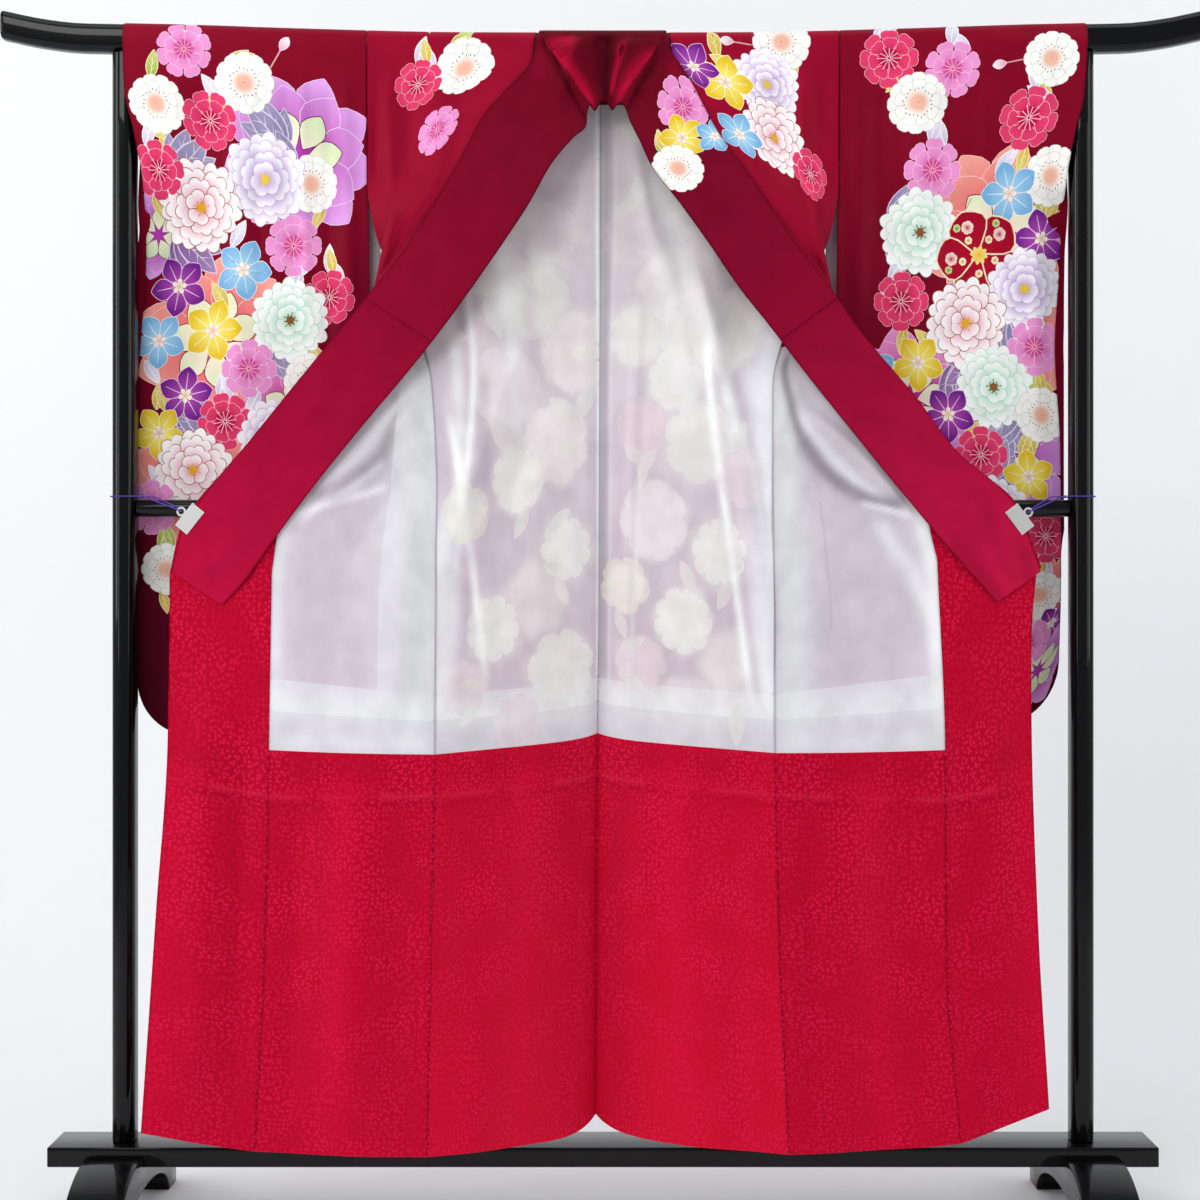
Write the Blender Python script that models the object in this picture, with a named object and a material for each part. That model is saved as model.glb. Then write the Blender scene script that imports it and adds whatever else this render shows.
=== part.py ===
"""Long-sleeved furisode kimono hung open on a black lacquered stand.

Metres. +X to the right seen from the front, +Y to the back, +Z up.
The origin is on the floor under the middle of the stand.
Left and right are those of someone who looks at the front.
"""
import math

import bmesh
import bpy
import numpy as np

# Stand
BAR_HALF_LENGTH = 0.865
BAR_HEIGHT = 1.6826
BAR_HALF_DEPTH = 0.018
BAR_HALF_TALL = 0.0205
BAR_ROUND = 0.012
BAR_ARC_DEGREES = (0, 30, 60, 90)
BAR_LOW_ROW = 0.0086
BAR_END_BEVEL = 0.004
ROWS_ON_BAR = 6
POST_X = 0.688
POST_HALF_WIDTH = 0.0165
POST_HALF_DEPTH = 0.024
POST_ROUND = 0.009
POST_TOP = 1.6750
RAIL_HEIGHT = 1.021
RAIL_RADIUS = 0.01225
BEAM_HALF_LENGTH = 0.789
BEAM_HALF_DEPTH = 0.053
BEAM_TOP = 0.112
BEAM_BOTTOM = 0.084
FOOT_X = 0.694
FOOT_HALF_WIDTH = 0.040
FOOT_HALF_LENGTH = 0.225
FOOT_TOP = 0.0975
TOE_HEIGHT = 0.016
SOLE_INNER = 0.165
ARCH_HEIGHT = 0.050
JOINT_GAP = 0.0004

# Rise of the bar towards its ends: distance out, rise
BAR_RISE = ((0.0, 0.0), (0.20, 0.0005), (0.43, 0.0058), (0.60, 0.0115), (0.69, 0.0136),
            (0.75, 0.0150), (0.80, 0.0205), (0.865, 0.0337))

# Cloth walls, each a pair of distances from the middle of the outer cloth, out and in
OUTER = (0.0006, -0.0006)
LINING = (-0.0009, -0.0019)
BAND = (0.0010, -0.0010)
OVER_BAND = (0.0025, 0.0013)
CLOTH_ON_BAR = 0.0010
BAND_ON_BAR = 0.0026
SEAM_INSET = 0.0003
SEAM_TOP_INSET = 0.0012
LINING_INSET = 0.0009
HEM_ROLL = 0.0025

# Garment
SHOULDER_X = 0.3385
SLEEVE_SEWN_DROP = 0.226
SIDE_SEAM_TOP = 0.385
FRONT_WIDTH = 0.245
OKUMI_WIDTH = 0.140
OKUMI_TIP = 0.26
COLLAR_END_DROP = 0.83
LINING_END_DROP = 1.045
DROPS = (0.075, 0.11, 0.15, 0.19, 0.226, 0.26, 0.30, 0.34, 0.385, 0.42, 0.46, 0.51, 0.56,
         0.62, 0.69, 0.76, 0.83, 0.90, 0.97, 1.045, 1.14, 1.25, 1.37, 1.49, 1.60)
FIRST_WHITE_ROW = 7
FRONT_LINING_DROP = 0.46
BACK_COLUMNS = (0.0, 0.08, 0.22, 0.42, 0.62, 0.82, 1.0)
FRONT_COLUMNS = (0.0, 0.16, 0.33, 0.50, 0.67, 0.84, 1.0)
OKUMI_COLUMNS = (0.0, 0.33, 0.67, 1.0)

# Slack of the back: depth of the slanting trough and ridge, their width and spacing, share at the hem
BACK_TROUGH = -0.010
BACK_RIDGE = 0.009
BACK_FOLD_WIDTH = 0.16
BACK_FOLD_SPACING = 0.28
BACK_FOLD_RUN = {-1: 0.55, 1: 0.80}
BACK_HEM_WAVE = 0.006

# Drops between which each front turns from its outside to its inside at the side, then at the inner edge
TURN_AT_SIDE = (0.15, 0.50)
TURN_AT_EDGE = (0.30, 0.56)
TURN_SLACK = 0.19
FRONT_WAVE = 0.005

# Inner edge of the fronts under the collar: ease round the neck, width under the band, distance behind it
NECK_EASE = 0.009
COLLAR_END_EASE = 0.002
UNDER_BAND = (0.004, -0.004)
BEHIND_BAND = (0.0022, 0.0036)

# Centre back seam: drop, across, depth, height
CENTRE_SEAM = (
    (0.044, -0.0040, 0.0190, 1.6740),
    (0.226, -0.0043, 0.0130, 1.4850),
    (0.380, -0.0045, 0.0060, 1.3330),
    (0.520, -0.0050, -0.0030, 1.1970),
    (0.680, -0.0057, -0.0135, 1.0415),
    (0.830, -0.0065, -0.0155, 0.8960),
    (1.045, -0.0079, -0.0170, 0.6991),
    (1.300, -0.0093, -0.0185, 0.4470),
    (1.600, -0.0107, -0.0200, 0.1558),
)

# Side edges above the side seams: drop, distance out, depth, height
BACK_SIDE_TOP = ((0.044, 0.3385, 0.0190, 1.6740), (0.226, 0.3385, 0.0165, 1.4840))
FRONT_SIDE_TOP = ((0.044, 0.3385, -0.0190, 1.6740), (0.226, 0.3385, -0.0135, 1.4840),
                  (0.300, 0.3250, -0.0165, 1.4090))

# Side seams, same columns
SIDE_SEAM = {
    -1: ((0.385, 0.2800, -0.0170, 1.3250), (0.520, 0.2428, -0.0500, 1.1871),
         (0.680, 0.2347, -0.0650, 1.0304), (0.830, 0.2350, -0.0800, 0.8749),
         (1.045, 0.2351, -0.1000, 0.6728), (1.300, 0.2389, -0.1250, 0.4237),
         (1.600, 0.2426, -0.1500, 0.1211)),
    1: ((0.385, 0.2800, -0.0170, 1.3250), (0.520, 0.2414, -0.0500, 1.1871),
        (0.680, 0.2403, -0.0650, 1.0304), (0.830, 0.2407, -0.0800, 0.8749),
        (1.045, 0.2407, -0.1000, 0.6749), (1.300, 0.2444, -0.1250, 0.4237),
        (1.600, 0.2564, -0.1500, 0.1243)),
}

# Seams between fronts and okumi, same columns
OKUMI_SEAM = {
    -1: ((0.830, 0.4680, -0.0640, 0.9286), (1.045, 0.4694, -0.0850, 0.6782),
         (1.300, 0.4736, -0.1000, 0.4133), (1.600, 0.4847, -0.1200, 0.1212)),
    1: ((0.830, 0.4723, -0.0640, 0.9456), (1.045, 0.4806, -0.0850, 0.6782),
        (1.300, 0.4799, -0.1000, 0.3993), (1.600, 0.4966, -0.1200, 0.1337)),
}

# Free edges of the okumi below the collar, same columns
FREE_EDGE = {
    -1: ((0.830, 0.6148, -0.0525, 0.9301), (0.930, 0.6136, -0.0600, 0.8310),
         (1.045, 0.6137, -0.0720, 0.7014), (1.300, 0.6273, -0.0900, 0.4484),
         (1.600, 0.6455, -0.1050, 0.1443)),
    1: ((0.830, 0.6148, -0.0525, 0.9301), (0.930, 0.6062, -0.0600, 0.8310),
        (1.045, 0.6045, -0.0720, 0.6986), (1.300, 0.6104, -0.0900, 0.4329),
        (1.600, 0.6231, -0.1050, 0.1779)),
}

# Neck edge of the fronts over the bar, distance out for each row from the top
NECK_EDGE = {
    -1: (0.0900, 0.0925, 0.0945, 0.0970, 0.0985, 0.1000),
    1: (0.0900, 0.0920, 0.0935, 0.0950, 0.0965, 0.0985),
}

# Collar over the bar: distance out, start angle round the bar, then the free edge out, depth, height
COLLAR_ON_BAR = {
    -1: ((0.0880, 0, 0.0195, -0.0300, 1.5959), (0.0905, 15, 0.0205, -0.0305, 1.5920),
         (0.0935, 45, 0.0214, -0.0310, 1.5885), (0.0965, 90, 0.0228, -0.0320, 1.5812)),
    1: ((0.0880, 0, 0.0250, -0.0300, 1.5987), (0.0902, 15, 0.0268, -0.0305, 1.5970),
        (0.0925, 45, 0.0286, -0.0310, 1.5956), (0.0945, 90, 0.0314, -0.0320, 1.5926)),
}
COLLAR_MIDDLE = ((-0.045, -0.0110, 1.5950), (0.0, 0.0010, 1.6020), (0.045, 0.0125, 1.5960))
COLLAR_MIDDLE_DEPTH = -0.0295

# Collar below the bar: seam edge out, depth, height, then free edge out, depth, height
COLLAR_STATIONS = {
    -1: (
        (0.0985, -0.0225, 1.6740, 0.0228, -0.0330, 1.5738),
        (0.1044, -0.0250, 1.6569, 0.0242, -0.0340, 1.5651),
        (0.1371, -0.0290, 1.6189, 0.0413, -0.0410, 1.5481),
        (0.1697, -0.0340, 1.5808, 0.0724, -0.0490, 1.5096),
        (0.1993, -0.0400, 1.5255, 0.1063, -0.0560, 1.4488),
        (0.2288, -0.0470, 1.4702, 0.1358, -0.0620, 1.4026),
        (0.2582, -0.0520, 1.4225, 0.1668, -0.0660, 1.3568),
        (0.2877, -0.0560, 1.3765, 0.1977, -0.0690, 1.3126),
        (0.3102, -0.0580, 1.3493, 0.2160, -0.0700, 1.2870),
        (0.3637, -0.0610, 1.2824, 0.2708, -0.0730, 1.2162),
        (0.4284, -0.0640, 1.2029, 0.3369, -0.0750, 1.1371),
        (0.4994, -0.0620, 1.1154, 0.4076, -0.0730, 1.0498),
        (0.5765, -0.0580, 1.0221, 0.4843, -0.0690, 0.9469),
        (0.5965, -0.0570, 0.9882, 0.5056, -0.0680, 0.9172),
        (0.6108, -0.0560, 0.9287, 0.5384, -0.0660, 0.8819),
    ),
    1: (
        (0.0970, -0.0225, 1.6740, 0.0328, -0.0330, 1.5881),
        (0.1030, -0.0240, 1.6660, 0.0342, -0.0340, 1.5836),
        (0.1244, -0.0265, 1.6323, 0.0371, -0.0360, 1.5747),
        (0.1442, -0.0310, 1.5928, 0.0526, -0.0430, 1.5420),
        (0.1654, -0.0360, 1.5533, 0.0682, -0.0490, 1.5068),
        (0.1977, -0.0430, 1.5086, 0.1091, -0.0570, 1.4515),
        (0.2385, -0.0500, 1.4470, 0.1486, -0.0620, 1.3955),
        (0.2801, -0.0550, 1.3852, 0.1950, -0.0670, 1.3270),
        (0.3152, -0.0580, 1.3409, 0.2343, -0.0700, 1.2772),
        (0.3636, -0.0620, 1.2710, 0.2792, -0.0730, 1.2176),
        (0.4426, -0.0640, 1.1760, 0.3566, -0.0750, 1.1202),
        (0.4996, -0.0610, 1.1013, 0.4189, -0.0730, 1.0441),
        (0.5836, -0.0580, 1.0236, 0.4970, -0.0690, 0.9525),
        (0.6093, -0.0570, 0.9598, 0.5326, -0.0670, 0.9130),
        (0.6208, -0.0560, 0.9294, 0.5568, -0.0660, 0.8862),
    ),
}
OVER_COLLAR_LAST = 9
COLLAR_ROWS = (0.0, 0.08, 0.17, 0.27, 0.62, 1.0)

# Outer edge of each sleeve: height, distance out
SLEEVE_EDGE = {
    -1: ((0.7750, 0.6759), (0.8890, 0.6759), (1.1795, 0.6755), (1.3974, 0.6620), (1.4873, 0.6609),
         (1.5495, 0.6705), (1.6096, 0.6849), (1.7000, 0.6881)),
    1: ((0.8018, 0.6622), (0.9268, 0.6655), (1.1069, 0.6639), (1.2576, 0.6559), (1.3699, 0.6620),
        (1.4902, 0.6652), (1.5495, 0.6748), (1.5996, 0.6878), (1.7000, 0.6946)),
}
SLEEVE_BOTTOM = {-1: 0.692, 1: 0.704}
SLEEVE_CORNER = {-1: 0.080, 1: 0.100}
SLEEVE_INNER_SEWN = 0.3391
SLEEVE_INNER_FRONT = 0.3360
SLEEVE_INNER_BACK = 0.3220
SLEEVE_COLUMNS = (0.0, 0.20, 0.42, 0.62, 0.78, 0.88, 0.95, 1.0)
SLEEVE_HEIGHTS = (1.640, 1.595, 1.550, 1.487, 1.430, 1.360, 1.270, 1.170, 1.045, 0.930, 0.810)
SLEEVE_EDGE_GAP = 0.0017
SLEEVE_SPREAD_HEIGHT = 0.93
SLEEVE_WAVE_HIGH = 0.0045
SLEEVE_WAVE_LOW = 0.004
SLEEVE_STRIP_ROWS = (4, 11)
SLEEVE_STRIP_COLUMNS = 3

# Sleeve layers: height, front inner, front outer, back inner, back outer depth
SLEEVE_DEPTHS = (
    (0.810, 0.0180, 0.0285, 0.0270, 0.0302),
    (1.000, 0.0160, 0.0285, 0.0270, 0.0302),
    (1.045, 0.0145, 0.0285, 0.0265, 0.0302),
    (1.170, 0.0075, 0.0285, 0.0225, 0.0302),
    (1.300, 0.0000, 0.0280, 0.0190, 0.0297),
    (1.400, -0.0080, 0.0215, 0.0175, 0.0232),
    (1.460, -0.0120, 0.0040, 0.0175, 0.0057),
    (1.487, -0.0140, -0.0120, 0.0185, 0.0100),
    (1.550, -0.0165, -0.0262, 0.0190, 0.0262),
    (1.640, -0.0185, -0.0262, 0.0190, 0.0262),
    (1.674, -0.0190, -0.0258, 0.0190, 0.0258),
)

# Clips and their cords
CLIP_HALF_LENGTH = 0.020
CLIP_FRONT = (0.0014, 0.0026)
CLIP_BACK = (-0.0074, -0.0062)
CLIP_REACH = 0.013
CLIP_BRIDGE = (-0.0092, -0.0078)
RING_OFFSET = -0.0150
RING_RADIUS = 0.0070
RING_HOLE = 0.0040
RING_FACES = (-0.0030, -0.0014)
CORD_RADIUS = 0.0010
CORD_HEIGHT = 1.0375

# Node colours and finishes: colour, roughness, metallic
MATERIALS = {
    "crimson_silk": ((0.30, 0.005, 0.030), 0.55, 0.0),
    "red_lining": ((0.52, 0.004, 0.030), 0.50, 0.0),
    "white_lining": ((0.74, 0.72, 0.76), 0.45, 0.0),
    "black_lacquer": ((0.004, 0.004, 0.005), 0.12, 0.0),
    "clip_metal": ((0.66, 0.66, 0.64), 0.25, 1.0),
    "violet_cord": ((0.10, 0.02, 0.25), 0.70, 0.0),
}


def smooth_step(x, low, high):
    """0 below low, 1 above high, an even ramp between."""
    t = np.clip((np.asarray(x, float) - low) / (high - low), 0.0, 1.0)
    return t * t * (3.0 - 2.0 * t)


def curve(table, column, x):
    """Smooth curve through one column of a table, with no overshoot."""
    rows = np.asarray(table, float)
    xs, ys = rows[:, 0], rows[:, column]
    h = np.diff(xs)
    slope = np.diff(ys) / h
    m = np.empty(len(xs))
    m[0], m[-1] = slope[0], slope[-1]
    for i in range(1, len(xs) - 1):
        a, b = slope[i - 1], slope[i]
        w1, w2 = 2 * h[i] + h[i - 1], h[i] + 2 * h[i - 1]
        m[i] = 0.0 if a * b <= 0 else (w1 + w2) / (w1 / a + w2 / b)
    x = np.asarray(x, float)
    k = np.clip(np.searchsorted(xs, x) - 1, 0, len(h) - 1)
    t = np.clip((x - xs[k]) / h[k], 0.0, 1.0)
    t2, t3 = t * t, t * t * t
    return (ys[k] * (2 * t3 - 3 * t2 + 1) + ys[k + 1] * (3 * t2 - 2 * t3)
            + h[k] * (m[k] * (t3 - 2 * t2 + t) + m[k + 1] * (t3 - t2)))


def unit(v):
    """Vectors of length one."""
    v = np.asarray(v, float)
    return v / np.maximum(np.linalg.norm(v, axis=-1, keepdims=True), 1e-12)


def bar_height(x):
    """Height of the bar's middle, which rises towards its ends."""
    return BAR_HEIGHT + curve(BAR_RISE, 1, np.abs(x))


def round_bar(x, degrees, off):
    """Depth and height of a point off the bar's rounded top corner."""
    a = math.radians(degrees)
    depth = BAR_HALF_DEPTH - BAR_ROUND + (BAR_ROUND + off) * math.sin(a)
    height = bar_height(x) + BAR_HALF_TALL - BAR_ROUND + (BAR_ROUND + off) * math.cos(a)
    return depth, height


def rows_over_bar(xs, back):
    """Rows of cloth points from the top of the bar down one side of it."""
    side = 1 if back else -1
    rows = [[(x, side * SEAM_INSET, bar_height(x) + BAR_HALF_TALL + CLOTH_ON_BAR) for x in xs[0]]]
    for row, degrees in enumerate(BAR_ARC_DEGREES, 1):
        points = []
        for x in xs[row]:
            depth, height = round_bar(x, degrees, CLOTH_ON_BAR)
            points.append((x, side * depth, height))
        rows.append(points)
    low = BAR_HALF_DEPTH + CLOTH_ON_BAR
    rows.append([(x, side * low, bar_height(x) - BAR_LOW_ROW) for x in xs[-1]])
    return rows


def grid_normals(grid, sign):
    """Unit normals of a grid of points."""
    down, across = np.gradient(grid, axis=(0, 1))
    return unit(np.cross(across, down)) * sign


def new_object(name, verts, faces, material):
    """One closed body with outward faces and its own material."""
    mesh = bpy.data.meshes.new(name)
    bm = bmesh.new()
    made = [bm.verts.new(v) for v in verts]
    for face in faces:
        bm.faces.new([made[i] for i in face])
    bmesh.ops.recalc_face_normals(bm, faces=bm.faces)
    wide = [f for f in bm.faces if len(f.verts) > 4]
    bmesh.ops.triangulate(bm, faces=wide)
    bm.to_mesh(mesh)
    bm.free()
    mesh.materials.append(node_material(name, material))
    obj = bpy.data.objects.new(name, mesh)
    bpy.context.collection.objects.link(obj)
    return obj


def node_material(name, kind):
    """The node's own material."""
    colour, roughness, metallic = MATERIALS[kind]
    mat = bpy.data.materials.new(f"{name}_{kind}")
    mat.use_nodes = True
    shader = mat.node_tree.nodes["Principled BSDF"]
    shader.inputs["Base Color"].default_value = (*colour, 1.0)
    shader.inputs["Roughness"].default_value = roughness
    shader.inputs["Metallic"].default_value = metallic
    return mat


def wall(name, grid, normals, depths, material):
    """A closed wall of cloth between two distances from a grid of points."""
    rows, cols = grid.shape[:2]
    count = rows * cols
    verts = [tuple(p) for d in depths for p in (grid + normals * d).reshape(-1, 3)]
    faces = []
    for r in range(rows - 1):
        for c in range(cols - 1):
            a, b = r * cols + c, r * cols + c + 1
            d, e = a + cols, b + cols
            faces += [(a, b, e), (a, e, d)]
            faces += [(a + count, e + count, b + count), (a + count, d + count, e + count)]
    top = list(range(cols))
    right = [r * cols + cols - 1 for r in range(rows)]
    bottom = [(rows - 1) * cols + c for c in range(cols)]
    left = [r * cols for r in range(rows)]
    for edge in (top, right, bottom, left):
        for i, j in zip(edge, edge[1:]):
            faces += [(i, j, j + count), (i, j + count, i + count)]
    return new_object(name, verts, faces, material)


def inset(grid, normals, edge, amount):
    """Moves one edge of a grid inwards along the cloth."""
    lines = {"first": ((slice(None), 0), (slice(None), 1)),
             "last": ((slice(None), -1), (slice(None), -2)),
             "top": ((0, slice(None)), (1, slice(None))),
             "bottom": ((-1, slice(None)), (-2, slice(None)))}
    line, inner = lines[edge]
    n = unit(normals[line])
    way = unit(grid[inner] - grid[line])
    level = np.linalg.norm(way - n * np.sum(way * n, axis=-1, keepdims=True), axis=-1, keepdims=True)
    grid[line] = grid[line] + way * amount / level


def share_normals(first, first_line, second, second_line):
    """Gives two grids one direction along a common seam, long enough to keep the walls' thickness."""
    a, b = first[first_line], second[second_line]
    both = unit(a + b)
    length = 1.0 / np.maximum(np.sum(both * a, axis=-1, keepdims=True), 0.62)
    first[first_line] = both * length
    second[second_line] = both * length


def side_table(side, top):
    """A body panel's whole side edge."""
    return tuple(top) + SIDE_SEAM[side]


def back_points(side):
    """Middle of one back panel, from the centre seam to the side, shoulder to hem."""
    u = np.array(BACK_COLUMNS)
    table = side_table(side, BACK_SIDE_TOP)
    neck = CENTRE_SEAM[0][1]
    top = [[neck + (side * SHOULDER_X - neck) * k for k in u]] * ROWS_ON_BAR
    rows = rows_over_bar(top, True)
    for drop in DROPS:
        cx, cy, cz = (curve(CENTRE_SEAM, i, drop) for i in (1, 2, 3))
        sx, sy, sz = (curve(table, i, drop) for i in (1, 2, 3))
        valley = 1.0 - 0.3 * smooth_step(drop, 0.1, 0.7)
        rise = 1.0 - 0.3 * smooth_step(drop, 0.8, 1.045) - 0.6 * smooth_step(drop, 1.1, 1.6)
        lift = rise * u + (1.0 - rise) * (1.0 - np.exp(-u / 0.1))
        x = cx + (side * sx - cx) * u
        y = cy + (sy - cy) * u ** valley + back_fold(side, u, drop)
        z = cz + (sz - cz) * lift + (bar_height(x) - BAR_HEIGHT) * (1 - smooth_step(drop, 0.05, 0.5))
        rows.append(np.stack([x, y, z], axis=-1).tolist())
    return np.array(rows)


def back_fold(side, u, drop):
    """Soft slack of the back: a trough and a ridge that slant from the neck to the side seam."""
    slant = 0.30 + 0.75 * (drop - 0.15) / BACK_FOLD_RUN[side]
    from_trough = (u - slant) / BACK_FOLD_WIDTH
    from_ridge = (u - slant - BACK_FOLD_SPACING) / BACK_FOLD_WIDTH
    trough = BACK_TROUGH * np.exp(-from_trough ** 2) * smooth_step(drop, 0.15, 0.3)
    ridge = BACK_RIDGE * np.exp(-from_ridge ** 2) * smooth_step(drop, 0.15, 0.35)
    fade = 1 - smooth_step(drop, 0.75, 1.05)
    hem = BACK_HEM_WAVE * np.sin(math.pi * 2.2 * u + side) * smooth_step(drop, 1.0, 1.5)
    return ((trough + ridge) * fade + hem) * np.sin(math.pi * u)


def collar_points():
    """Middle of the collar band from its left end to its right end, seam edge to free edge."""
    left = collar_side(-1)[::-1]
    right = collar_side(1)
    middle = []
    for x, free, height in COLLAR_MIDDLE:
        middle.append(collar_row_on_bar(x, 0, (free, COLLAR_MIDDLE_DEPTH, height)))
    return np.array(left + middle + right)


def collar_row_on_bar(x, start, free):
    """One row across the collar where it starts on the bar."""
    points = []
    for k in range(4):
        degrees = start + (90 - start) * k / 3
        depth, height = round_bar(x, degrees, BAND_ON_BAR)
        if k == 0 and start == 0:
            depth, height = SEAM_INSET, bar_height(x) + BAR_HALF_TALL + BAND_ON_BAR
        share = 0.06 * k * (start > 0)
        points.append((x + (free[0] - x) * share, -depth, height - 0.0007 * k * (start > 45)))
    last = np.array(points[-1])
    for share in (0.5, 1.0):
        points.append(tuple(last + (np.array(free) - last) * share))
    return points


def collar_side(side):
    """Rows across one half of the collar, neck to end."""
    rows = []
    for out, start, free_out, depth, height in COLLAR_ON_BAR[side]:
        rows.append(collar_row_on_bar(side * out, start, (side * free_out, depth, height)))
    for seam_x, seam_y, seam_z, free_x, free_y, free_z in COLLAR_STATIONS[side]:
        seam = np.array((side * seam_x, seam_y, seam_z))
        free = np.array((side * free_x, free_y, free_z))
        rows.append([tuple(seam + (free - seam) * k) for k in COLLAR_ROWS])
    return rows


def seam_line(side, collar):
    """The collar's seam edge, neck to end, with its length, its direction across and its normal."""
    half = collar[: len(collar) // 2 - 1][::-1] if side < 0 else collar[len(collar) // 2 + 2:]
    line = half[:, 0]
    run = np.concatenate([[0.0], np.cumsum(np.linalg.norm(np.diff(line, axis=0), axis=1))])
    across = unit(half[:, -1] - half[:, 0])
    along = unit(np.gradient(line, axis=0))
    normal = unit(np.cross(across, along)) * side
    normal = normal * np.sign(-normal[:, 1:2])
    return run, line, across, normal


def front_edge(side, drop, seam):
    """Inner edge of the front and okumi, just behind the collar's seam edge and then free."""
    if drop > COLLAR_END_DROP:
        x, y, z = (float(curve(FREE_EDGE[side], i, drop)) for i in (1, 2, 3))
        return np.array((side * x, y, z))
    run, line, across, normal = seam
    sewn = SLEEVE_SEWN_DROP
    far = run[-1] - COLLAR_END_EASE
    spread = (far - sewn - NECK_EASE) / (COLLAR_END_DROP - sewn)
    along = drop + NECK_EASE if drop < sewn else sewn + NECK_EASE + spread * (drop - sewn)
    pick = [np.array([np.interp(along, run, a[:, i]) for i in range(3)]) for a in (line, across, normal)]
    tuck = UNDER_BAND[0] + (UNDER_BAND[1] - UNDER_BAND[0]) * smooth_step(drop, 0.64, 0.76)
    behind = BEHIND_BAND[0] + (BEHIND_BAND[1] - BEHIND_BAND[0]) * smooth_step(drop, 0.34, 0.44)
    return pick[0] + pick[1] * tuck - pick[2] * behind


def front_row(side, drop, t, seam):
    """One row of a front with its okumi, from the side edge to the inner edge."""
    table = side_table(side, FRONT_SIDE_TOP)
    start = np.array([float(curve(table, i, drop)) for i in (1, 2, 3)])
    start[0] *= side
    start[2] += (bar_height(start[0]) - BAR_HEIGHT) * (1 - smooth_step(drop, 0.05, 0.5))
    end = front_edge(side, drop, seam)
    turn_side = math.pi * float(smooth_step(drop, *TURN_AT_SIDE))
    turn_edge = math.pi * float(smooth_step(drop, *TURN_AT_EDGE))
    slack = TURN_SLACK * float(smooth_step(drop, 0.10, 0.28) * (1 - smooth_step(drop, 0.44, 0.60)))
    reach = max(float(np.linalg.norm((end - start)[:2])), slack) / 3
    way_out = np.array((-side * math.cos(turn_side), -0.6 * math.sin(turn_side), 0.0))
    way_in = np.array((side * math.cos(turn_edge), 0.9 * math.sin(turn_edge), 0.0))
    rise = np.array((0.0, 0.0, (end[2] - start[2]) / 3))
    b, c = start + way_out * reach + rise, end + way_in * reach - rise
    straight = float(smooth_step(drop, 0.52, 0.62) + 1 - smooth_step(drop, 0.08, 0.14))
    b = b + (start + (end - start) / 3 - b) * straight
    c = c + (start + (end - start) * 2 / 3 - c) * straight
    t = np.asarray(t, float)[:, None]
    row = start * (1 - t) ** 3 + 3 * b * t * (1 - t) ** 2 + 3 * c * t ** 2 * (1 - t) + end * t ** 3
    pull = float(smooth_step(drop, 0.60, 0.83))
    if pull:
        q = okumi_share(drop)
        at = start + (end - start) * q
        seam_drop = max(drop, COLLAR_END_DROP)
        goal = np.array([float(curve(OKUMI_SEAM[side], i, seam_drop)) for i in (1, 2, 3)])
        goal[0] *= side
        if drop < COLLAR_END_DROP:
            goal = goal + at - (front_row_ends_at(side, COLLAR_END_DROP, seam, q))
        bow = t * (1 - t) / (q * (1 - q))
        corner = np.where(t < q, t / q, (1 - t) / (1 - q))
        row = row + (goal - at) * pull * (0.25 * bow + 0.75 * corner)
    row[:, 1] += front_fold(side, t[:, 0], drop)
    return row


def front_row_ends_at(side, drop, seam, share):
    """Point on the straight line between a row's ends."""
    table = side_table(side, FRONT_SIDE_TOP)
    start = np.array([float(curve(table, i, drop)) for i in (1, 2, 3)])
    start[0] *= side
    return start + (front_edge(side, drop, seam) - start) * share


def front_fold(side, t, drop):
    """Soft slack of a front below the collar."""
    wave = FRONT_WAVE * np.sin(math.pi * (3.0 * t + 0.4 * side + 0.8 * drop))
    return wave * np.sin(math.pi * t) * smooth_step(drop, 0.86, 1.3)


def okumi_share(drop):
    """Share of a row, from the side edge, that the front takes before the okumi."""
    if drop < OKUMI_TIP:
        return 1.0
    wide = 0.0015 + OKUMI_WIDTH * min(max(drop - 0.25, 0.0) / (COLLAR_END_DROP - 0.25), 1.0)
    return FRONT_WIDTH / (FRONT_WIDTH + wide)


def front_points(side, seam):
    """Middle of one front, from the side edge to the inner edge, shoulder to hem."""
    f = np.array(FRONT_COLUMNS)
    top = [[side * (SHOULDER_X + (n - SHOULDER_X) * k) for k in f] for n in NECK_EDGE[side]]
    rows = rows_over_bar(top, False)
    for drop in DROPS:
        rows.append(front_row(side, drop, f * okumi_share(drop), seam).tolist())
    return np.array(rows)


def okumi_points(side, seam):
    """Middle of one okumi, from its seam to the inner edge, tip to hem."""
    g = np.array(OKUMI_COLUMNS)
    rows = []
    for drop in DROPS:
        if drop >= OKUMI_TIP:
            share = okumi_share(drop)
            rows.append(front_row(side, drop, share + (1 - share) * g, seam))
    return np.array(rows)


def sleeve_depth(u, z, column):
    """Depth of one sleeve layer, 1 for the front and 3 for the back."""
    inner = curve(SLEEVE_DEPTHS, column, z)
    outer = curve(SLEEVE_DEPTHS, column + 1, z)
    return inner + (outer - inner) * u


def sleeve_fold(side, u, z):
    """Soft upright folds of a sleeve, the same in both layers."""
    tall = smooth_step(z, 1.10, 1.30) * (1 - smooth_step(z, 1.58, 1.66))
    low = smooth_step(z, 0.70, 0.80) * (1 - smooth_step(z, 0.90, 1.00))
    folds = SLEEVE_WAVE_HIGH * np.sin(math.pi * (4.3 * u + 0.25 * side + 1.1 * z)) * tall
    return (folds + SLEEVE_WAVE_LOW * np.sin(math.pi * 3 * u) * low) * np.sin(math.pi * u)


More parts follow.
